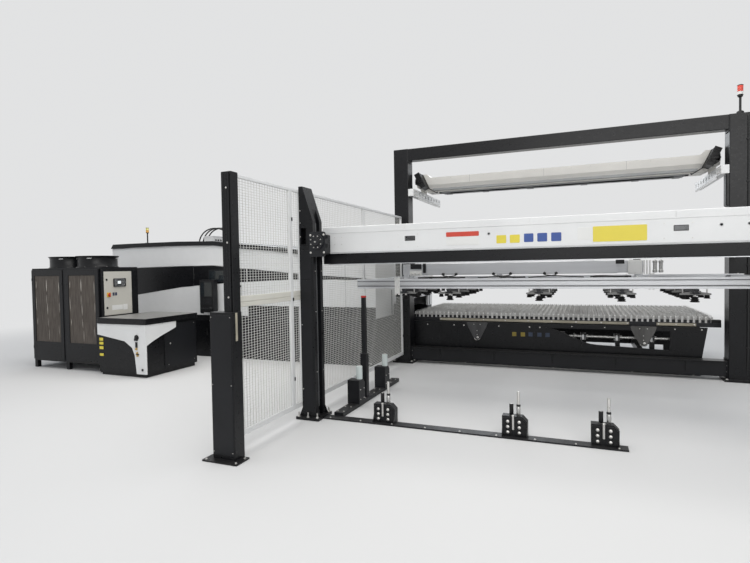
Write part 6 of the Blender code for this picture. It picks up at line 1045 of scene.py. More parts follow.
knobs = Piece("slat_holder_caps", "plate_white", "table", "bare_steel")
for x in SLAT_XS:
    for y, way in zip(TIE_YS, (-1, 1)):
        holders.block(*about(x, 0.016), y + way * 0.011, y + way * 0.015, FRAME_TOP, 0.885)
        for a, b in ((-0.012, -0.004), (0.004, 0.012)):
            holders.block(x + a, x + b, *about(y, 0.008), 0.835, 0.868)
        knobs.block(*about(x, 0.013), y + way * 0.008, y + way * 0.018, 0.885, 0.905)
holders.done(0.0012)
knobs.done(0.002)
strips = Piece("table_strips", "strip_beige", "table")
buttons = Piece("table_bolts", "bolt_steel", "table")
for x0, x1, count in ((-1.984, 1.164, 9), (1.557, 2.097, 3)):
    for y, axis, way in ((table.y0, "-Y", -1), (table.y1, "Y", 1)):
        strips.block(x0, x1, y, y + way * 0.012, 0.754, 0.797)
        buttons.turned([(0.013, 0), (0.013, 0.003), (0.009, 0.006)],
                       grid(spread(x0 + 0.025, x1 - 0.025, count), y + way * 0.012, 0.7755), axis, 14)
strips.done(0.003, 2)
buttons.done()
stops = Piece("table_stops", "dark_plastic", "table")
for y in (table.y0 + 0.05, table.y1 - 0.05):
    for x, way in ((table.x1, -1), (table.x0, 1)):
        stops.block(x, x + way * 0.13, *about(y, 0.045), FRAME_TOP, FRAME_TOP + 0.05)
stops.done(0.003, 2)

# Front plate of the platform: cut-out rim, bolts, bearing caps, sprocket and blank plates
WINDOW_LEFT, WINDOW_RIGHT, WINDOW_TOP, WINDOW_LOW = -0.126, 1.735, 0.672, 0.37
rim = Piece("platform_window_rim", "black_satin")
for x0, x1, proud, z0, z1 in (
        (WINDOW_LEFT, WINDOW_RIGHT, 0.003, WINDOW_TOP + 0.001, WINDOW_TOP + 0.007),
        (WINDOW_RIGHT + 0.001, WINDOW_RIGHT + 0.007, 0.003, WINDOW_LOW, WINDOW_TOP + 0.007),
        (platform.x0 + 0.02, platform.x1 - 0.02, 0.004, 0.731, 0.7425),
        (platform.x0 + 0.02, 2.14, 0.004, 0.004, 0.016),
        (-1.62, -1.612, 0.002, 0.02, 0.73), (-0.30, -0.292, 0.002, 0.02, 0.73)):
    rim.block(x0, x1, FRONT_PLATE_Y - proud, FRONT_PLATE_Y + 0.001, z0, z1)
rim.done(0.001)
bolts = Piece("platform_bolts", "bolt_steel")
for xs, zs, size in (((-2.75, -2.2, -1.70, -1.52, -0.9, -0.38, -0.21), (0.06, 0.68), 0.010),
                     ((0.3, 0.8, 1.3, 1.8, 2.16), 0.707, 0.009), ((0.30, 1.25, 1.95, 2.1), 0.06, 0.010)):
    bolts.bolt(grid(xs, FRONT_PLATE_Y, zs), "-Y", size)
bolts.bolt(grid((-2.6, -1.4, -0.2, 1.0, 2.0), platform.y1, (0.08, 0.40, 0.68)), "Y", 0.010).done()
for name, material, xs, half, z0, z1 in (
        ("platform_yellow_plates", "yellow_dull", (-0.637, -0.492), 0.036, 0.512, 0.584),
        ("platform_blue_plates", "blue_dull", (-0.365, -0.218, -0.087), 0.035, 0.518, 0.588)):
    plates = Piece(name, material)
    for x in xs:
        plates.block(*about(x, half), FRONT_PLATE_Y - 0.002, FRONT_PLATE_Y + 0.0005, z0, z1)
    plates.done(0.0008)
shaft = Span("drive_shaft")
covers = Piece("bearing_covers", "white_coat")
for x in (0.487, 0.997, 1.498):
    for x0, x1 in ((x - 0.052, x - 0.047), (x + 0.02, x + 0.024)):
        covers.prism([(4.042, 0.478), (4.156, 0.478), (4.156, 0.53), (4.142, 0.568), (4.118, 0.592),
                      (4.08, 0.592),
                      (4.056, 0.568), (4.042, 0.53)], "X", x0, x1)
    covers.prism([(x - 0.032, 0.482), (x + 0.004, 0.482), (x + 0.004, 0.552), (x - 0.004, 0.572),
                  (x - 0.024, 0.572),
                  (x - 0.032, 0.552)], "Y", 4.034, 4.0405)
covers.done(0.002)
wheels = Piece("shaft_sprockets", "ground_steel", "shaft")
teeth = [(2 * pi * k / 36, 0.058 if k % 2 else 0.050) for k in range(36)]
wheels.prism([(shaft.y + radius * cos(a), shaft.z + radius * sin(a)) for a, radius in teeth], "X", 0.325,
             0.335)
wheels.turned([(0.034, 0), (0.034, 0.028), (0.031, 0.030)], (0.335, shaft.y, shaft.z), "X")
wheels.turned([(0.0205, 0), (0.0245, 0.001), (0.0245, 0.018), (0.0205, 0.019)],
              grid((0.60, 1.15, 1.62), shaft.y, shaft.z), "X").done(0.0006)
drive = Piece("platform_drive", "dark_metal")
drive.turned([(0.030, -0.16), (0.062, -0.155), (0.066, -0.15), (0.066, 0.02), (0.050, 0.028), (0.050, 0.05)],
             (0.08, 4.20, 0.50), "X", 24)
drive.block(0.10, 0.185, 4.13, 4.27, 0.42, 0.585)
drive.turned([(0.066, 0), (0.0695, 0.001), (0.0695, 0.006), (0.066, 0.007)],
             grid(steps(-0.05, 0.022, 6), 4.20, 0.50), "X", 24).done(0.002)
plates = Piece("lift_plate_bolts", "bolt_steel")
for span in (Span("lift_plate_left"), Span("lift_plate_right")):
    plates.tube([(span.x + 0.052 * cos(radians(a)), FRONT_PLATE_Y - 0.0275,
                  span.z0 + 0.054 + 0.050 * sin(radians(a)))
                 for a in range(200, 341, 14)], 0.0035)
    plates.turned([(0.020, 0), (0.020, 0.003), (0.012, 0.006), (0.012, 0.012)],
                  (span.x + 0.012, FRONT_PLATE_Y - 0.0255, span.z0 + 0.050), "-Y", 16)
    plates.socket(grid(about(span.x, 0.055), FRONT_PLATE_Y - 0.0143, 0.705), "-Y", 0.010)
    plates.socket(grid(span.x, FRONT_PLATE_Y - 0.0143, (0.521, 0.591)), "-Y", 0.009)
plates.done()
Piece("platform_feet", "bolt_steel").turned(
    [(0.035, 0), (0.035, 0.008), (0.012, 0.012), (0.012, 0.02)],
    grid((-2.7, -1.5, 0.0, 1.2, 2.05), (3.97, 6.235), 0.0),
    "Z", 14).done()

# Cutting cabin

cabin, door = Span("cabin_shell"), Span("cabin_door")
CABIN_L, CABIN_R, CABIN_F, CABIN_B = cabin.x0, cabin.x1, 3.05, cabin.y1


def cabin_xs(shares):
    return [CABIN_L + (CABIN_R - CABIN_L) * share for share in shares]


ROOF_X = cabin_xs((0.0, 0.02, 0.10, 0.30, 0.445, 0.541, 0.64, 0.737, 0.86, 1.0))
ROOF_LEVELS = (2.20, 2.325, 2.347, 2.347, 2.325, 2.25, 2.19, 2.12, 2.03, 1.93)
DARK_X = cabin_xs((0.0, 0.102, 0.302, 0.445, 0.541, 0.64, 0.737, 0.86, 0.97))
DARK_TOPS = (1.80, 1.818, 1.836, 1.84, 1.781, 1.72, 1.66, 1.60, 1.555)
DARK_LOWS = (1.20, 1.24, 1.408, 1.47, 1.506, 1.53, 1.547, 1.548, 1.535)


def level(x, xs, levels):
    """The level at x on the line through the given places."""
    for a, b, low, high in zip(xs, xs[1:], levels, levels[1:]):
        if a <= x <= b:
            return low + (high - low) * (x - a) / (b - a)
    return levels[-1]


def roof_level(x):
    return level(x, ROOF_X, ROOF_LEVELS)


x0, x1 = door.x0 + 0.002, door.x1 - 0.002
stops = [x0, *(x for x in DARK_X if x0 < x < x1), x1]
Piece("door_dark_band", "black_coat", "sliding_door").prism(
    [(x, level(x, DARK_X, DARK_LOWS)) for x in stops]
    + [(x, level(x, DARK_X, DARK_TOPS) - 0.002) for x in reversed(stops)],
    "Y", door.y0 - 0.0022, door.y0 + 0.001).done(0.001)
skirt = Piece("cabin_dark_skirt", "black_coat")
for proud, z0, z1 in ((0.0022, 0.852, 1.043), (0.004, 1.043, 1.049)):
    skirt.block(door.x1 + 0.012, CABIN_R - 0.001, CABIN_F - proud, CABIN_F + 0.001, z0, z1)
skirt.done(0.001)
seams = Piece("cabin_seams", "line_grey", slot="black_rubber")
for x in (-4.55, -3.45):
    seams.block(*about(x, 0.002), CABIN_F - 0.0006, CABIN_F + 0.004, 0.86, roof_level(x) - 0.20)
for y in (4.0, 5.2, 6.0):
    seams.block(CABIN_L - 0.0006, CABIN_L + 0.004, *about(y, 0.002), 0.88, 2.10)
for x in (-8.2, -7.0, -5.8, -4.6, -3.6):
    seams.block(*about(x, 0.002), CABIN_B - 0.004, CABIN_B + 0.0006, 0.88, roof_level(x) - 0.10)
seams.done()
arch = list(zip(ROOF_X, ROOF_LEVELS))[2:]
cap_low = [(CABIN_L - 0.012, 2.2505), (ROOF_X[1], 2.2555)] + [(x, z - 0.0845) for x, z in arch]
cap_high = [(CABIN_L - 0.012, 2.258), (CABIN_L + 0.052, 2.3425)] + arch
Piece("roof_cap_shell", "black_coat").prism(cap_low + cap_high[::-1], "Y", CABIN_F - 0.03,
                                            CABIN_B + 0.03).done(
    0.004, 2, replaces=["cabin_roof_cap"])
Piece("cabin_upper_corner", "white_coat").prism(
    [(CABIN_L, 2.09), (CABIN_L + 0.002, 2.09), (ROOF_X[1] + 0.15, 2.238), (ROOF_X[1] + 0.15, 2.250),
     (CABIN_L, 2.250)],
    "Y", CABIN_F + 0.0005, CABIN_B - 0.001).done(0.001)
gasket = Piece("cabin_entry_gasket", "rubber")
for y0, y1 in ((3.83, 3.86), (6.38, 6.41)):
    gasket.block(CABIN_R - 0.001, CABIN_R + 0.006, y0, y1, 0.86, 1.32)
gasket.done(0.002)

PANE_L, PANE_R, PANE_LOW, PANE_TOP, RIM = door.x0 + 0.40, door.x1 - 0.22, 1.525, 1.735, 0.022
trim = Piece("door_frame", "black_satin", "sliding_door")
for x0, x1, z0, z1 in ((PANE_L - RIM, PANE_R + RIM, PANE_LOW - RIM, PANE_LOW),
                       (PANE_L - RIM, PANE_R + RIM, PANE_TOP, PANE_TOP + RIM),
                       (PANE_L - RIM, PANE_L, PANE_LOW, PANE_TOP),
                       (PANE_R, PANE_R + RIM, PANE_LOW, PANE_TOP)):
    trim.block(x0, x1, door.y0 - 0.006, door.y0 + 0.001, z0, z1)
trim.done(0.0015)
Piece("door_window", "dark_glass", "sliding_door").block(
    PANE_L, PANE_R, door.y0 - 0.004, door.y0 + 0.001, PANE_LOW, PANE_TOP).done(0.001)
handle = Piece("door_handle", "dark_metal", "sliding_door")
x = door.x1 - 0.14
handle.tube(smooth_run([(x, door.y0 - out, z) for out, z in (
    (0, 1.12), (0.028, 1.125), (0.036, 1.16), (0.036, 1.27), (0.036, 1.39), (0.028, 1.425), (0, 1.43))], 4),
    0.011, 12)
handle.turned([(0.020, 0), (0.020, 0.005), (0.013, 0.008)], grid(x, door.y0, (1.12, 1.43)), "-Y", 16).done()
rollers = Piece("door_rollers", "dark_metal", "sliding_door")
for x in (door.x0 + 0.2, door.x1 - 0.2):
    rollers.block(*about(x, 0.04), door.y0 - 0.010, door.y0 + 0.001, 0.885, 0.945)
    rollers.socket(grid(about(x, 0.022), door.y0 - 0.010, 0.915), "-Y", 0.008)
rollers.done(0.002)

# Bed side: doors, vents, grips and feet
BED_FRONT, BED_BACK, DOOR_LOW, DOOR_TOP = 3.09, 6.58, 0.12, 0.74
FRONT_DOORS = ((-8.95, -8.05), (-8.0, -7.1), (-7.05, -6.5), (-5.4, -4.5), (-4.45, -3.55))
bed = Piece("bed_doors", "black_coat")
for x0, x1 in FRONT_DOORS:
    bed.block(x0, x1, BED_FRONT - 0.006, BED_FRONT + 0.001, DOOR_LOW, DOOR_TOP)
for x0 in (-8.9, -7.8, -6.7, -5.6, -4.5):
    bed.block(x0, x0 + 1.0, BED_BACK - 0.001, BED_BACK + 0.006, DOOR_LOW, DOOR_TOP)
bed.done(0.003, 2)
grips = Piece("bed_grips", "dark_plastic")
for x in (-8.12, -7.18, -6.58, -4.58, -3.63):
    grips.block(*about(x, 0.016), BED_FRONT - 0.016, BED_FRONT - 0.005, 0.44, 0.56)
grips.louvres(BED_FRONT - 0.006, -0.011, 0.008, 0.012, "X", (-8.8, -7.85), 0.45, steps(0.18, 0.028, 9))
grips.louvres(BED_BACK + 0.006, 0.011, 0.008, 0.012, "X", (-8.7, -6.5, -4.3), 0.6,
              steps(0.18, 0.028, 9)).done(0.001)
screws = Piece("bed_screws", "bolt_steel")
for x0, x1 in FRONT_DOORS:
    screws.socket(grid((x0 + 0.02, x1 - 0.02), BED_FRONT - 0.006, (DOOR_LOW + 0.02, DOOR_TOP - 0.02)), "-Y",
                  0.006)
screws.bolt(grid((-9.0, -6.3, -5.9, -3.0), BED_FRONT, 0.05), "-Y", 0.014).done()
mounts = Piece("bed_feet", "bolt_steel")
for y, inner in ((3.055, 3.10), (6.60, 6.57)):
    for x in (-8.9, -7.4, -5.9, -4.4, -3.05):
        mounts.turned([(0.045, 0), (0.045, 0.01), (0.016, 0.016), (0.016, 0.07), (0.026, 0.071),
                       (0.026, 0.085)],
                      (x, y, 0.0), "Z", 14).block(*about(x, 0.03), y, inner, 0.05, 0.062)
mounts.done()

# Roof: seam strips, white box with its lid, cable bosses and arched cables
strips = Piece("roof_strips", "black_satin")
for x in (-8.7, -7.35, -5.95, -4.9, -3.9):
    strips.block(*about(x, 0.015), 3.10, 6.57, roof_level(x) - 0.004, roof_level(x) + 0.006)
strips.done(0.002)
BOX_X, BOX_Y = -6.9, 3.72
box_low = roof_level(BOX_X)
box = Piece("roof_box_shell", "white_coat")
for half_x, half_y, z0, z1 in ((0.1255, 0.1505, 0.002, 0.127), (0.132, 0.157, 0.118, 0.135)):
    box.block(*about(BOX_X, half_x), *about(BOX_Y, half_y), box_low + z0, box_low + z1)
box.done(0.004, 2)
Piece("roof_box_glands", "dark_plastic").turned(
    [(0.018, 0), (0.018, 0.008), (0.014, 0.012), (0.014, 0.022)],
    grid(BOX_X + 0.1255, (BOX_Y - 0.08, BOX_Y, BOX_Y + 0.08), box_low + 0.05), "X", 8).done()
CABLE_XS = (-7.17, -6.35)


def roof_cable(name, y, rise, clear, replaced):
    """Stand, arch and far stand of one roof cable, just clear of its bosses."""
    start, end = (Vector((x, y, roof_level(x) + clear)) for x in CABLE_XS)
    path = [start]
    for t in (k / 20 for k in range(21)):
        lift = 0.02 + sin(pi * t) ** 0.75 * rise
        lean = sin(2 * pi * t) * 0.05
        path.append(Vector((start.x + (end.x - start.x) * (t - lean), y,
                            start.z + (end.z - start.z) * t + lift)))
    path.append(end)
    shown = Piece(name, "hose_black").tube(smooth_run(path, 2), 0.014, 12).done(replaces=replaced)


roof_cable("roof_cable_shown", 3.72, 0.26, 0.0303, ["roof_cable"])
roof_cable("roof_cable_near", 3.60, 0.25, 0.0296, [])
roof_cable("roof_cable_far", 3.84, 0.27, 0.0296, [])
collars = Piece("cable_collars", "bolt_steel")
for x in CABLE_XS:
    collars.turned([(0.040, -0.004), (0.040, 0.006), (0.030, 0.010), (0.030, 0.022), (0.024, 0.0295)],
                   grid(x, (3.60, 3.72, 3.84), roof_level(x)), "Z", 6)
collars.done()

signal = Span("cabin_beacon")
LAMP_RADIUS, LAMP_LOW, LAMP_HIGH = 0.034, 0.25, 0.36
stand = Piece("cabin_beacon_stand", "dark_plastic")
for profile in ([(0.060, 0), (0.060, 0.012), (0.050, 0.026), (0.018, 0.030), (0.014, 0.034), (0.014, 0.235),
                 (0.030, 0.240),
                 (LAMP_RADIUS, 0.246), (LAMP_RADIUS, LAMP_LOW + 0.003)],
                [(LAMP_RADIUS, LAMP_HIGH - 0.008), (LAMP_RADIUS, LAMP_HIGH - 0.004),
                 (0.028, LAMP_HIGH - 0.0005),
                 (0.006, LAMP_HIGH)]):
    stand.turned(profile, (signal.x, signal.y, signal.z0))
stand.done(replaces=["cabin_beacon"])
for k, material in enumerate(("amber_lamp_cap", "yellow_lamp_cap")):
    Piece("cabin_lamp_%d" % (k + 1), material).turned(
        ribbed(5, 0.0095, LAMP_RADIUS - 0.0012, LAMP_RADIUS - 0.003, 0.001, 0.005, 0.0490),
        (signal.x, signal.y, signal.z0 + LAMP_LOW + 0.003 + k * 0.0495)).done()

# Operator panel: screen, key pad, switches and the stop head
panel = Span("operator_panel")
FRONT = panel.y0
face = Piece("panel_face", "dark_plastic", "panel")
for rim, y0, y1, z0, z1 in ((0.012, -0.004, 0.001, 0.015, 0.015), (0.03, -0.009, -0.003, 0.30, 0.035)):
    face.block(panel.x0 + rim, panel.x1 - rim, FRONT + y0, FRONT + y1, panel.z0 + z0, panel.z1 - z1)
face.done(0.003, 2)
Piece("panel_screen", "dark_glass", "panel", "black_rubber").block(
    panel.x0 + 0.042, panel.x1 - 0.042, FRONT - 0.0105, FRONT - 0.0085, panel.z0 + 0.315,
    panel.z1 - 0.05).done()
keys = Piece("panel_keys", "dark_metal", "panel")
for x, y, z in grid(steps(panel.x0 + 0.05, 0.028, 9), FRONT - 0.009, steps(panel.z0 + 0.15, 0.026, 5)):
    keys.block(x, x + 0.021, y, y + 0.006, z, z + 0.02)
keys.done(0.0015)
stop = (panel.x1 - 0.07, FRONT - 0.004, panel.z0 + 0.075)
Piece("panel_stop", "dark_plastic", "panel").turned(
    [(0.014, 0), (0.014, 0.014), (0.028, 0.018), (0.031, 0.026), (0.026, 0.034), (0.01, 0.037)], stop, "-Y",
    24).done()
Piece("panel_stop_collar", "dark_metal", "panel").turned(
    [(0.036, 0), (0.036, 0.003), (0.030, 0.005)], stop, "-Y", 24).done()
knobs = Piece("panel_knobs", "dark_metal", "panel")
knobs.turned([(0.015, 0), (0.015, 0.004), (0.011, 0.006), (0.011, 0.016), (0.009, 0.018)],
             grid(steps(panel.x0 + 0.055, 0.048, 4), FRONT - 0.004, panel.z0 + 0.075), "-Y", 18)
knobs.socket(grid((panel.x0 + 0.02, panel.x1 - 0.02), FRONT - 0.004, (panel.z0 + 0.025, panel.z1 - 0.025)),
             "-Y",
             0.004).done()

# Chiller

chiller = Span("chiller_cabinet")
CHILLER_L, CHILLER_R, CHILLER_F, CHILLER_B, CHILLER_TOP = chiller.x0, chiller.x1, 1.178, 2.0, 1.831
SKIN_LOW, SKIN_TOP = 0.16, 1.80
LEAF_SIDE, FIELD_LOW, FIELD_TOP = 0.075, 0.485, 1.70
# Places, heights and widths of the pale slivers painted on the film as highlights
GLINT_STRIPS = ((0.47, 1.40, 1.63, 0.016), (0.455, 1.18, 1.36, 0.007), (0.49, 0.98, 1.20, 0.011),
          (0.50, 0.76, 0.93, 0.006),
          (0.52, 0.52, 0.72, 0.005), (0.955, 1.34, 1.60, 0.009), (0.96, 1.02, 1.22, 0.006),
          (0.045, 1.46, 1.60, 0.010),
          (0.05, 1.05, 1.32, 0.008), (0.06, 0.80, 0.92, 0.008), (0.93, 0.62, 0.80, 0.005))
FOLDS = ((1.205, 0.50, 0.97), (1.19, 0.03, 0.40), (0.875, 0.30, 0.72), (1.44, 0.06, 0.30))


def filter_leaf(hinge, tag):
    """Folded frame with a sunk film field, pressing lines, lock and hinge barrels."""
    span, body, front = Span("filter_door_" + tag), tag + "_filter_door", CHILLER_F
    low, high = span.x0, span.x1
    field_l, field_r = low + LEAF_SIDE, high - LEAF_SIDE
    leaf = Piece("filter_frame_" + tag, "black_coat", body)
    leaf.block(low, high, front + 0.013, front + 0.035, span.z0, span.z1)
    for x0, x1, z0, z1 in ((low, field_l, span.z0, span.z1), (field_r, high, span.z0, span.z1),
                           (field_l, field_r, FIELD_TOP, span.z1), (field_l, field_r, span.z0, FIELD_LOW)):
        leaf.block(x0, x1, front, front + 0.0135, z0, z1)
    leaf.done(0.003, 2, replaces=["filter_door_" + tag])
    Piece("filter_film_" + tag, "filter_film", body).block(
        field_l, field_r, front + 0.0095, front + 0.0132, FIELD_LOW, FIELD_TOP).done()
    # Pale slivers on the film, painted highlights where its crests would catch the light
    glints = Piece("filter_glints_" + tag, "film_crest", body)
    for place, z0, z1, wide in GLINT_STRIPS:
        x = field_l + (high - low - LEAF_SIDE * 2) * place
        shift = 0.012 * sin(z0 * 9 + place * 20)
        glints.prism([(x + way * wide * 0.5 * sin(pi * k / 8) + shift * k / 8, z0 + (z1 - z0) * k / 8)
                      for way, ks in ((-1, range(9)), (1, range(7, 0, -1))) for k in ks], "Y",
                      front + 0.0070,
                     front + 0.0098)
    glints.done(0.0008)
    folds = Piece("filter_folds_" + tag, "filter_film", body)
    for z, a, b in FOLDS:
        x0, x1 = (field_l + (high - low - LEAF_SIDE * 2) * share for share in (a, b))
        folds.prism([(x0, z), (x1, z + 0.006), (x1, z + 0.012), ((x0 + x1) / 2, z + 0.010), (x0, z + 0.006)],
                    "Y",
                    front + 0.0065, front + 0.0098)
    folds.done(0.001)
    trim = Piece("filter_trim_" + tag, "dark_plastic", body)
    for x0, x1, z0, z1 in ((field_l, field_r, FIELD_LOW, FIELD_LOW + 0.006),
                           (field_l, field_r, FIELD_TOP - 0.006, FIELD_TOP),
                           (field_l, field_l + 0.006, FIELD_LOW + 0.006, FIELD_TOP - 0.006),
                           (field_r - 0.006, field_r, FIELD_LOW + 0.006, FIELD_TOP - 0.006)):
        trim.block(x0, x1, front + 0.003, front + 0.010, z0, z1)
    for z in (0.455, 0.235):
        trim.block(low + 0.012, high - 0.012, front - 0.0005, front + 0.001, z, z + 0.004)
    trim.done()
    steel = Piece("filter_lock_" + tag, "dark_metal", body)
    inner, outer = (high - 0.037, low) if hinge < 0 else (low + 0.037, high)
    for z in (0.60, 1.55):
        steel.turned([(0.015, 0), (0.015, 0.003), (0.012, 0.005)], (inner, front, z), "-Y")
        steel.block(*about(inner, 0.0025), front - 0.0075, front - 0.004, *about(z, 0.009))
    steel.socket(grid((low + 0.02, high - 0.02), front, (span.z0 + 0.02, span.z1 - 0.02)), "-Y", 0.005)
    steel.turned([(0.007, 0), (0.007, 0.05)], grid(outer - hinge * 0.010, front - 0.002, (0.36, 1.60)), "Z",
                 10).done()


for side, tag in SIDES:
    filter_leaf(side, tag)

skin = Piece("chiller_skin", "black_satin")
for x0, x1, y0, y1, z0, z1 in (
        (CHILLER_L - 0.001, CHILLER_L + 0.002, 1.25, 1.98, SKIN_LOW, SKIN_TOP),
        (CHILLER_L + 0.03, CHILLER_R - 0.03, 1.999, 2.0008, SKIN_LOW, SKIN_TOP),
        (CHILLER_R - 0.002, CHILLER_R + 0.0012, 1.225, 1.262, SKIN_LOW, SKIN_TOP),
        (CHILLER_R - 0.002, CHILLER_R + 0.0012, 1.268, 1.985, SKIN_LOW, 0.965),
        (chiller.x - 0.034, chiller.x + 0.034, CHILLER_F + 0.012, CHILLER_F + 0.036, SKIN_LOW, SKIN_TOP),
        (CHILLER_L + 0.02, CHILLER_R - 0.02, CHILLER_F + 0.03, CHILLER_F + 0.036, 1.803, 1.829)):
    skin.block(x0, x1, y0, y1, z0, z1)
skin.done(0.002)
louvres = Piece("chiller_louvres", "dark_plastic")
louvres.louvres(CHILLER_L - 0.001, -0.010, 0.012, 0.014, "Y", (1.32, 1.66), 0.26, steps(0.36, 0.04, 12))
louvres.louvres(CHILLER_B + 0.0005, 0.010, 0.012, 0.014, "X", (-8.86, -8.30, -7.75), 0.42,
                steps(0.42, 0.04, 12))
louvres.louvres(CHILLER_R + 0.001, 0.010, 0.011, 0.013, "Y", (1.36,), 0.50,
                steps(0.30, 0.035, 9)).done(0.001)
rivets = Piece("chiller_screws", "bolt_steel")
rivets.socket(grid(CHILLER_L - 0.001, spread(1.27, 1.96, 5), (0.18, 1.78)), "-X", 0.005)
rivets.socket(grid(CHILLER_R + 0.001, spread(1.27, 1.96, 5), 0.18), "X", 0.005)
rivets.socket(grid(spread(CHILLER_L + 0.06, CHILLER_R - 0.06, 7), CHILLER_B, (0.18, 1.78)), "Y", 0.005)
rivets.turned([(0.030, -0.002), (0.030, 0.006), (0.012, 0.010), (0.012, 0.03)],
              grid((CHILLER_L + 0.035, chiller.x, CHILLER_R - 0.035), (1.25, 1.965), 0.002), "Z", 14).done()

# Control door with its display, buttons, locks and blank plates
DISPLAY_X = CHILLER_R + 0.020
Piece("control_bezel", "black_satin", "control_leaf").prism(
    [(1.463, 1.490), (1.470, 1.483), (1.710, 1.483), (1.717, 1.490), (1.717, 1.624), (1.710, 1.631),
     (1.470, 1.631),
     (1.463, 1.624)], "X", CHILLER_R - 0.0005, DISPLAY_X + 0.004).done(0.003, 2)
Piece("control_face", "panel_grey", "control_leaf").prism(
    [(1.476, 1.500), (1.484, 1.492), (1.672, 1.492), (1.704, 1.557), (1.672, 1.622), (1.484, 1.622),
     (1.476, 1.614)],
    "X", DISPLAY_X + 0.0035, DISPLAY_X + 0.0050).done(0.0006)
Piece("control_face_inner", "black_satin", "control_leaf").prism(
    [(1.480, 1.498), (1.668, 1.498), (1.697, 1.557), (1.668, 1.616), (1.480, 1.616)],
    "X", DISPLAY_X + 0.0045, DISPLAY_X + 0.0056).done(0.0004)
Piece("control_screen", "screen", "control_leaf").block(
    DISPLAY_X + 0.0050, DISPLAY_X + 0.0066, 1.535, 1.605, 1.532, 1.586).done()
buttons = Piece("control_buttons", "panel_grey", "control_leaf")
for x, y, z in grid(DISPLAY_X + 0.0050, (1.495, 1.517, 1.625, 1.648, 1.670), (1.518, 1.544, 1.570, 1.596)):
    buttons.block(x, x + 0.0025, *about(y, 0.007), *about(z, 0.007))
buttons.done(0.001)
locks = Piece("control_locks", "dark_plastic", "control_leaf")
for z in (1.116, 1.611):
    locks.turned([(0.020, 0), (0.020, 0.005), (0.015, 0.009)], (CHILLER_R, 1.327, z), "X")
    locks.block(CHILLER_R + 0.008, CHILLER_R + 0.0115, 1.324, 1.330, *about(z, 0.012))
locks.done()
hinges = Piece("control_hinges", "bolt_steel", "control_leaf")
hinges.turned([(0.006, 0), (0.006, 0.045)],
              grid(CHILLER_R + 0.003, Span("control_door").y1 - 0.008, (1.08, 1.37, 1.66)),
              "Z", 10)
hinges.turned([(0.008, 0), (0.008, 0.003)], (CHILLER_R, 1.565, 1.700), "X", 12).done()
for name, material, proud, places in (
        ("control_blank_plate", "plate_white", 0.0012,
         ((1.425, 1.650, 1.070, 1.155), (1.660, 1.755, 1.060, 1.160))),
        ("control_blue_plates", "blank_blue", 0.0014,
         ((1.442, 1.484, 1.325, 1.383), (1.494, 1.536, 1.325, 1.383)))):
    plates = Piece(name, material, "control_leaf")
    for place in places:
        plates.block(CHILLER_R - 0.0005, CHILLER_R + proud, *place)
    plates.done(0.0005)

switch = Span("rotary_switch")
middle = (switch.x0, switch.y, switch.z)
dial = Piece("switch_plate", "yellow_plastic", "switch")
dial.block(switch.x0, switch.x0 + 0.004, *about(switch.y, 0.040), *about(switch.z, 0.040))
dial.turned([(0.036, 0.003), (0.036, 0.009), (0.033, 0.012), (0.026, 0.012)], middle, "X", 28)
dial.done(replaces=["rotary_switch"])
grip = Piece("switch_grip", "red_plastic", "switch")
grip.turned([(0.026, 0.010), (0.026, 0.020), (0.022, 0.024)], middle, "X", 28)
grip.prism([(switch.y + dy, switch.z + dz) for dy, dz in ((-0.008, -0.034), (0.008, -0.034), (0.006, 0.034),
                                                          (-0.006, 0.034))], "X", switch.x0 + 0.020,
                                                          switch.x1)
grip.done(0.002, 2)

FAN_RIM = [(0.335, 0.011), (0.335, 0.020), (0.331, 0.026), (0.329, 0.150), (0.333, 0.178), (0.343, 0.195),
           (0.357, 0.206),
           (0.357, 0.210), (0.352, 0.2105), (0.338, 0.200), (0.327, 0.182), (0.323, 0.150), (0.3185, 0.04),
           (0.3185, 0.003)]
FAN_FOOT = [(0.350, 0.0), (0.350, 0.012), (0.3185, 0.012), (0.3185, 0.0)]
FAN_HUB = [(0.070, 0), (0.075, 0.005), (0.075, 0.058), (0.066, 0.067), (0.040, 0.070), (0.038, 0.066),
           (0.012, 0.066),
           (0.010, 0.070)]
LAST_ROW, LAST_STEP = 6, 5  # of the places along and across a blade


def around(x, y, z, radius, turns):
    """Places on a level circle about (x, y)."""
    return [(x + radius * cos(a), y + radius * sin(a), z) for a in turns]


def fan_blade(blades, span, turn):
    """Twisted and swept blade, 3 mm thick."""
    sheet = []
    for share in (row / LAST_ROW for row in range(LAST_ROW + 1)):
        radius = 0.070 + 0.222 * share
        pitch = radians(30 - 14 * share)
        chord = 0.100 + 0.055 * sin(pi * (0.25 + 0.5 * share))
        line = []
        for part in (step / LAST_STEP for step in range(LAST_STEP + 1)):
            along, camber = (part - 0.5) * chord, 0.010 * (1 - (2 * part - 1) ** 2)
            angle = turn + 0.14 * share * share + along * cos(pitch) / radius
            line.append(Vector((span.x + radius * cos(angle), span.y + radius * sin(angle),
                                span.z0 + 0.035 + along * sin(pitch) * 0.75 + camber)))
        sheet.append(line)
    lower, upper = ([[blades.bm.verts.new(p + Vector((0, 0, lift))) for p in line] for line in sheet]
                    for lift in (0.0, 0.003))
    for a in range(LAST_ROW):
        for b in range(LAST_STEP):
            blades.bm.faces.new((lower[a][b], lower[a][b + 1], lower[a + 1][b + 1], lower[a + 1][b]))
            blades.bm.faces.new((upper[a][b], upper[a + 1][b], upper[a + 1][b + 1], upper[a][b + 1]))
    border = ([(a, 0) for a in range(LAST_ROW)] + [(LAST_ROW, b) for b in range(LAST_STEP)]
              + [(a, LAST_STEP) for a in range(LAST_ROW, 0, -1)] + [(0, b) for b in range(LAST_STEP, 0, -1)])
    for (a, b), (c, d) in zip(border, border[1:] + border[:1]):
        blades.bm.faces.new((lower[a][b], lower[c][d], upper[c][d], upper[a][b]))


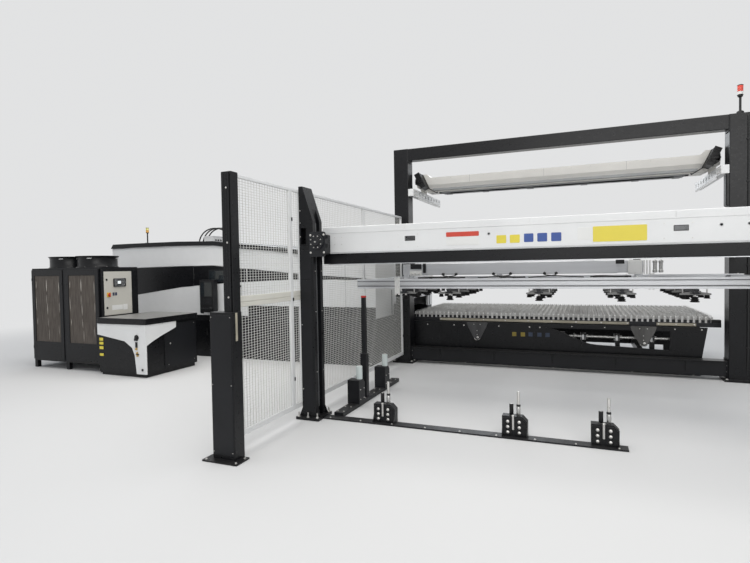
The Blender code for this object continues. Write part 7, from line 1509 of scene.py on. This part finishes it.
def fan_top(x, tag):
    """Flared rim with a folded foot, guard rings, motor spider and six twisted blades."""
    y, low = 1.59, CHILLER_TOP + 0.0003
    base = Piece("fan_rim_" + tag, "black_coat")
    for profile in (FAN_RIM, FAN_FOOT):
        base.turned(profile, (x, y, low), "Z", 64, closed_ends=False)
    base.done(replaces=["fan_cowl"] if tag == "left" else ())
    guard = Piece("fan_guard_" + tag, "bolt_steel", slot="dark_steel")
    for half_x, half_y in ((0.322, 0.013), (0.013, 0.322)):
        guard.block(*about(x, half_x), *about(y, half_y), low + 0.036, low + 0.050)
    for radius in (0.10, 0.20, 0.28):
        guard.tube(around(x, y, low + 0.040, radius, steps(0, 2 * pi / 40, 41)), 0.003, 5)
    guard.done()
    grips = Piece("fan_grips_" + tag, "white_coat")
    for angle in (radians(-62 + 90 * k) for k in range(4)):
        across, outward = Vector((-sin(angle), cos(angle), 0)), Vector((cos(angle), sin(angle), 0))
        centre = Vector((x, y, low + 0.165)) + outward * 0.334
        grips.tube(smooth_run([centre + across * a + outward * out for a, out in (
            (-0.035, 0), (-0.034, 0.014), (-0.02, 0.018), (0.02, 0.018), (0.034, 0.014), (0.035, 0))], 3),
            0.005)
    grips.done()
    Piece("fan_screws_" + tag, "bolt_steel").socket(
        around(x, y, low + 0.011, 0.343, [radians(15 + 30 * k) for k in range(12)]), "Z", 0.005).done()
    span = Span("fan_" + tag)
    hub = Piece("fan_hub_" + tag, "dark_plastic", tag + "_fan", "dark_steel")
    hub.turned(FAN_HUB, (span.x, span.y, span.z0), "Z", 36)
    hub.turned([(0.005, 0.062), (0.005, 0.0695), (0.004, 0.070)],
               around(span.x, span.y, span.z0, 0.052, [k * pi / 3 for k in range(6)]), "Z", 6)
    hub.done(replaces=["fan_" + tag])
    blades = Piece("fan_blades_" + tag, "dark_metal", tag + "_fan")
    for k in range(6):
        fan_blade(blades, span, 2 * pi * k / 6)
    blades.done()


fan_top(-8.50, "left")
fan_top(-7.78, "right")
Piece("chiller_pipes", "hose_black").turned(
    [(0.030, 0), (0.030, 0.004), (0.020, 0.006), (0.020, 0.010)],
    [(-7.50, CHILLER_B, 0.30), (-7.64, CHILLER_B, 0.38)], "Y", 16).done()

# Laser source unit

SOURCE_L, SOURCE_R, SOURCE_F, SOURCE_B = Span("source_cabinet").x0, -6.111, 1.061, 2.266
DOOR_Z = (0.10, 0.84)
outline = []
for k, (x, y) in enumerate(((SOURCE_R - 0.04, SOURCE_B - 0.04), (SOURCE_L + 0.045, SOURCE_B - 0.04),
                            (SOURCE_L + 0.045, SOURCE_F + 0.04), (SOURCE_R - 0.04, SOURCE_F + 0.04))):
    outline += [(x + 0.03 * cos(a), y + 0.03 * sin(a)) for a in (pi / 2 * (k + j / 4) for j in range(5))]
Piece("source_lid_face", "lid_grey").prism(outline, "Z", 0.969, 0.9722).done(0.001)
Piece("source_lid_edge", "dark_plastic").block(
    SOURCE_L + 0.03, SOURCE_R - 0.03, SOURCE_F - 0.0128, SOURCE_F - 0.011, 0.90, 0.905).block(
    SOURCE_R + 0.011, SOURCE_R + 0.0128, SOURCE_F + 0.03, SOURCE_B - 0.03, 0.90, 0.905).done()
doors = Piece("source_doors", "black_satin")
doors.block(SOURCE_R - 0.0205, SOURCE_R - 0.0150, SOURCE_F + 0.42, SOURCE_B - 0.03, *DOOR_Z)
doors.block(SOURCE_L - 0.004, SOURCE_L + 0.001, SOURCE_F + 0.05, SOURCE_B - 0.05, *DOOR_Z)
doors.block(SOURCE_L + 0.03, SOURCE_R - 0.05, SOURCE_B - 0.001, SOURCE_B + 0.004, *DOOR_Z).done(0.003, 2)
vents = Piece("source_vents", "dark_plastic")
vents.louvres(SOURCE_B + 0.0035, 0.0075, 0.009, 0.011, "X", (SOURCE_L + 0.15,), 0.40, steps(0.20, 0.03, 10))
for z in steps(0.20, 0.03, 10):
    vents.block(SOURCE_L - 0.0048, SOURCE_L - 0.003, 1.40, 1.85, *about(z, 0.004))
vents.done()
marker = Piece("source_blank_plates", "plate_yellow")
for z0, z1 in ((0.580, 0.630), (0.515, 0.560), (0.435, 0.485), (0.320, 0.365)):
    marker.block(*about(-7.130, 0.045), 1.0785, 1.0815, z0, z1)
marker.done(0.0005)
cover = Piece("source_cover_shell", "white_coat")
SHELL, COVER_TOP = 0.024, 0.8747
cover.prism([(SOURCE_L, COVER_TOP), (SOURCE_L, 0.687), (-6.576, 0.594), (-6.411, 0.489), (-6.356, 0.366),
             (-6.323, 0.062),
             (SOURCE_R, 0.062), (SOURCE_R, COVER_TOP)], "Y", SOURCE_F, SOURCE_F + SHELL)
cover.prism([(SOURCE_F + SHELL, 0.515), (1.089, 0.531), (1.150, 0.562), (1.207, 0.588), (1.368, 0.648),
             (1.736, 0.767),
             (1.74, COVER_TOP), (SOURCE_F + SHELL, COVER_TOP)], "X", SOURCE_R - SHELL, SOURCE_R)
cover.done(0.003, 2, replaces=["source_cover"])
inset = Piece("source_leg_panel", "white_coat")
inset.block(-6.392, -6.180, SOURCE_F - 0.0016, SOURCE_F + 0.0005, 0.604, 0.830)
inset.prism([(-6.322, 0.12), (-6.190, 0.12), (-6.190, 0.592), (-6.375, 0.592), (-6.350, 0.40)], "Y",
            SOURCE_F - 0.0014, SOURCE_F + 0.0005).done(0.0008)
valve = Piece("source_valves", "brass")
for x, z, size in ((-6.305, 0.478, 1.0), (-6.290, 0.415, 0.8), (-6.283, 0.370, 1.0)):
    valve.turned([(radius * size, out) for radius, out in (
        (0.020, 0), (0.020, 0.008), (0.013, 0.010), (0.013, 0.020), (0.017, 0.021), (0.017, 0.0245))],
        (x, SOURCE_F - 0.001, z), "-Y", 6)
valve.done()
knob = Piece("source_knob", "dark_plastic")
knob.turned([(0.044, 0), (0.046, 0.004), (0.046, 0.010), (0.030, 0.012), (0.030, 0.024), (0.026, 0.0265)],
            (-6.298, SOURCE_F - 0.001, 0.664), "-Y", 24)
for x0, x1, proud, z0, z1 in ((-6.345, -6.275, 0.016, 0.612, 0.650), (-6.325, -6.285, 0.012, 0.500, 0.590),
                              (-6.315, -6.255, 0.018, 0.385, 0.398), (-6.205, -6.172, 0.010, 0.118, 0.155)):
    knob.block(x0, x1, SOURCE_F - proud, SOURCE_F - 0.0008, z0, z1)
knob.turned([(0.026, 0), (0.026, 0.010), (0.018, 0.014), (0.018, 0.03)], (-6.35, SOURCE_B + 0.004, 0.35),
            "Y", 16).done()
heads = Piece("source_screws", "bolt_steel")
heads.socket(grid(spread(SOURCE_L + 0.10, SOURCE_R - 0.10, 4), SOURCE_F, 0.862), "-Y", 0.006)
heads.socket(grid(SOURCE_R, spread(SOURCE_F + 0.10, 1.70, 3), 0.862), "X", 0.006)
heads.socket(grid(SOURCE_R - 0.0150, (SOURCE_F + 0.5, SOURCE_B - 0.08), (0.14, 0.80)), "X", 0.007)
heads.turned([(0.014, 0), (0.014, 0.003), (0.011, 0.005)], (SOURCE_R - 0.0150, SOURCE_F + 0.55, 0.5),
             "X").done()

# Fence

WIRE_X = Span("fence_panel_front").x
TUBE, WIRE, ROW, COLUMN = 0.032, 0.0038, 0.0262, 0.046


def fence_sheet(tag, fields):
    """Welded frame of square tube with a field of thin crossed wires and small corner clips."""
    span = Span("fence_panel_" + tag)
    low_z, high_z = span.z0 + TUBE, span.z1 - TUBE
    bars = Piece("fence_frame_" + tag, "white_coat")
    bars.block(span.x0, span.x1, span.y0, span.y1, span.z0, low_z)
    bars.block(span.x0 + 0.002, span.x1 - 0.002, span.y0 + TUBE, span.y1 - TUBE, low_z, low_z + 0.022)
    if tag == "front":
        bars.block(span.x0 + 0.0015, span.x1 - 0.0015, -0.206, -0.148, low_z, high_z)
    bars.block(span.x0, span.x1, span.y0, span.y1, high_z, span.z1)
    width = (span.y1 - span.y0 - TUBE * (fields + 1)) / fields
    posts = steps(span.y0, width + TUBE, fields + 1)
    for y in posts:
        bars.block(span.x0, span.x1, y, y + TUBE, low_z, high_z)
    bars.done(0.003, 2, replaces=["fence_panel_" + tag])
    if tag == "front":
        middle = Piece("fence_middle_rail", "cream_coat")
        for z0, z1 in ((1.392, 1.438), (1.4395, 1.497)):
            middle.block(span.x0 + 0.002, span.x1 - 0.002, span.y0 + TUBE, span.y1 - TUBE, z0, z1)
        middle.done(0.004, 2)
    wires = Piece("fence_wires_" + tag, "wire_white")
    for low in (y + TUBE for y in posts[:-1]):
        columns, rows = int(width / COLUMN), int((high_z - low_z) / ROW)
        for y in (low + width * k / columns for k in range(1, columns)):
            wires.block(*about(WIRE_X, WIRE / 2), *about(y, WIRE / 2), low_z - 0.002, high_z + 0.002)
        for z in (low_z + (high_z - low_z) * k / rows for k in range(1, rows)):
            wires.block(WIRE_X - WIRE * 1.4, WIRE_X - WIRE * 0.45, low - 0.002, low + width + 0.002,
                        *about(z, WIRE / 2))
    wires.done()
    clips = Piece("fence_clips_" + tag, "dark_plastic")
    for x, y, z in grid(span.x1,
                        (span.y0 + TUBE / 2, span.y1 - TUBE / 2) + ((-0.156,) if tag == "front" else ()),
                        (span.z0 + 0.35, span.z, span.z1 - 0.35)):
        clips.block(x - 0.001, x + 0.004, *about(y, 0.012), *about(z, 0.020))
        clips.turned([(0.006, 0), (0.006, 0.004)], (x + 0.004, y, z), "X", 8)
    clips.done(0.001)


fence_sheet("front", 1)
fence_sheet("rear", 2)

POST_L, POST_R, POST_F, POST_B, POST_TOP = -2.584, -2.475, -1.35, -1.2503, 2.644
BOX_L, BOX_R, BOX_F, BOX_TOP = -2.715, -2.465, -1.3963, 1.362
grooves = Piece("post_grooves", "black_satin")
for x in (POST_L + 0.018, POST_L + 0.046, POST_L + 0.074):
    grooves.block(x, x + 0.008, POST_F - 0.0025, POST_F + 0.001, BOX_TOP + 0.004, POST_TOP - 0.012)
grooves.block(POST_L + 0.002, POST_R - 0.002, POST_F + 0.002, POST_B - 0.002, POST_TOP - 0.001,
              POST_TOP + 0.004)
grooves.block(BOX_L + 0.012, BOX_R - 0.012, BOX_F - 0.003, BOX_F + 0.001, 0.05, BOX_TOP - 0.02)
grooves.block(BOX_L + 0.004, BOX_R - 0.004, BOX_F + 0.004, POST_B - 0.004, BOX_TOP - 0.001,
              BOX_TOP + 0.003).done(0.001)
Piece("post_window", "strip_beige", slot="yellow_lamp").block(
    BOX_R - 0.0005, BOX_R + 0.0025, BOX_F + 0.050, BOX_F + 0.078, 1.10, BOX_TOP - 0.004).done(0.0006)
pins = Piece("post_bolts", "bolt_steel")
pins.bolt(grid(POST_L + 0.054, POST_F - 0.0025, (1.50, 2.0, 2.5)), "-Y", 0.008)
pins.bolt(grid((-2.755, -2.425), (-1.44, -1.31), 0.012), "Z", 0.011)
pins.socket(grid((BOX_L + 0.02, BOX_R - 0.02), BOX_F - 0.003, (0.08, 0.70, 1.32)), "-Y", 0.005).done()

# Floor guides

bar = Span("floor_guide_front")
BAR_TOP, BLOCK_FRONT, PIN_Y, PIN_OUT, PIN_Z = 0.014, 0.125, 0.175, 0.035, 0.2185
BLOCK_XS = (-1.60, -0.18, 0.66)
near_xs, far_xs = ([x + out for x in BLOCK_XS] for out in (-PIN_OUT, PIN_OUT))
steel = Piece("guide_bolts", "bolt_steel")
steel.bolt(grid(spread(bar.x0 + 0.08, bar.x1 - 0.08, 9), 0.085, BAR_TOP), "Z", 0.010)
steel.turned([(0.0165, 0), (0.0165, 0.006), (0.012, 0.011), (0.004, 0.013)],
             grid([x + dx for x in BLOCK_XS for dx in (-0.066, 0.048)], BLOCK_FRONT - 0.0098,
                  (0.052, 0.107, 0.162)),
             "-Y", 16)
screw_xs = [x - 0.012 for x in BLOCK_XS]
steel.turned([(0.0125, 0), (0.0125, 0.15)], grid(screw_xs, BLOCK_FRONT - 0.0145, 0.085), "Z", 16)
steel.turned([(0.017, 0), (0.017, 0.010), (0.013, 0.014)], grid(screw_xs, BLOCK_FRONT - 0.0145, 0.22), "Z",
             6)
for xs, high in ((near_xs, 0.331), (far_xs, 0.46)):
    steel.turned([(0.022, 0), (0.022, 0.012), (0.015, 0.016)], grid(xs, PIN_Y, 0.20), "Z", 18)
    steel.turned([(0.0146, 0), (0.0146, high - 0.212), (0.0135, high - 0.2085)], grid(xs, PIN_Y, 0.21), "Z",
                 18)
steel.done()
Piece("guide_rollers", "ground_steel", slot="white_nylon").turned(
    [(0.019, 0), (0.021, 0.003), (0.021, 0.085), (0.019, 0.088)], grid(far_xs, PIN_Y, PIN_Z)).done()
Piece("guide_sleeves", "dark_plastic").turned(
    [(0.019, 0), (0.021, 0.003), (0.021, 0.110), (0.016, 0.1135)], grid(near_xs, PIN_Y, PIN_Z)).turned(
    [(0.0215, 0), (0.0215, 0.018), (0.017, 0.022)], grid(far_xs, PIN_Y, 0.309), "Z", 6).done()
plates = Piece("guide_plates", "black_coat")
for x in BLOCK_XS:
    for outline in (((-0.118, 0.020), (-0.032, 0.020), (-0.032, 0.200), (-0.110, 0.200), (-0.118, 0.192)),
                    ((0.010, 0.020), (0.118, 0.020), (0.118, 0.160), (0.080, 0.200), (0.010, 0.200))):
        plates.prism([(x + dx, z) for dx, z in outline], "Y", 0.1155, 0.1262)
    for side in (-1, 1):
        plates.prism([(BLOCK_FRONT, BAR_TOP), (BLOCK_FRONT - 0.045, BAR_TOP), (BLOCK_FRONT, 0.11)], "X",
                     *about(x + side * 0.1215, 0.0025))
plates.done(0.001)

SIDE_X, SENSOR_Y = -2.20, 0.98
steel = Piece("side_guide_bolts", "bolt_steel")
steel.bolt(grid(about(SIDE_X, 0.038), (0.25, 0.45, 0.90, 1.20, 1.40, 1.85, 2.05), 0.05), "Z", 0.009)
steel.socket(grid(SIDE_X + 0.08, about(0.70, 0.055) + about(1.60, 0.055), (0.10, 0.22)), "X", 0.008)
steel.turned([(0.020, 0), (0.020, 0.004), (0.0125, 0.006), (0.0125, 0.011)],
             grid(SIDE_X + 0.045, (0.70, 1.60), 0.5105),
             "Z", 14).done()
Piece("sensor_collars", "red_plastic").turned(
    [(0.034, 0), (0.036, 0.003), (0.036, 0.020), (0.034, 0.023)], (SIDE_X, SENSOR_Y, 1.358), "Z", 24).done()
fittings = Piece("sensor_fittings", "dark_plastic")
fittings.turned([(0.031, 0), (0.034, 0.004), (0.034, 0.012), (0.031, 0.016)], (SIDE_X, SENSOR_Y, 0.62), "Z",
                24)
for z in (0.72, 0.95, 1.18):
    fittings.block(*about(SIDE_X, 0.012), 0.955, 0.962, z, z + 0.09)
fittings.done(0.001)

# Cutting gantry

beam, head = Span("cutting_bridge"), Span("cutting_head")
tracks = Piece("bridge_rails", "ground_steel", "bridge")
for z in (1.39, 1.58):
    tracks.block(beam.x1 - 0.001, beam.x1 + 0.0002, 4.05, 6.15, *about(z, 0.012))
tracks.done()
Piece("bridge_screws", "bolt_steel", "bridge").bolt(grid(beam.x0, spread(4.1, 6.1, 11), 1.56), "-X",
                                                    0.009).bolt(
    grid(beam.x0, (3.80, 6.42), (0.90, 1.0)), "-X", 0.010).done()
Piece("head_rings", "brass", "head").turned(
    [(0.030, 0), (0.034, 0.002), (0.034, 0.012), (0.030, 0.014)], (head.x, head.y, head.z0 + 0.062), "Z",
    24).done()
Piece("head_covers", "dark_plastic", "head").block(
    head.x1 - 0.001, head.x1 + 0.003, *about(head.y, 0.055), 1.26, 1.53).done(0.002)

low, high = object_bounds()
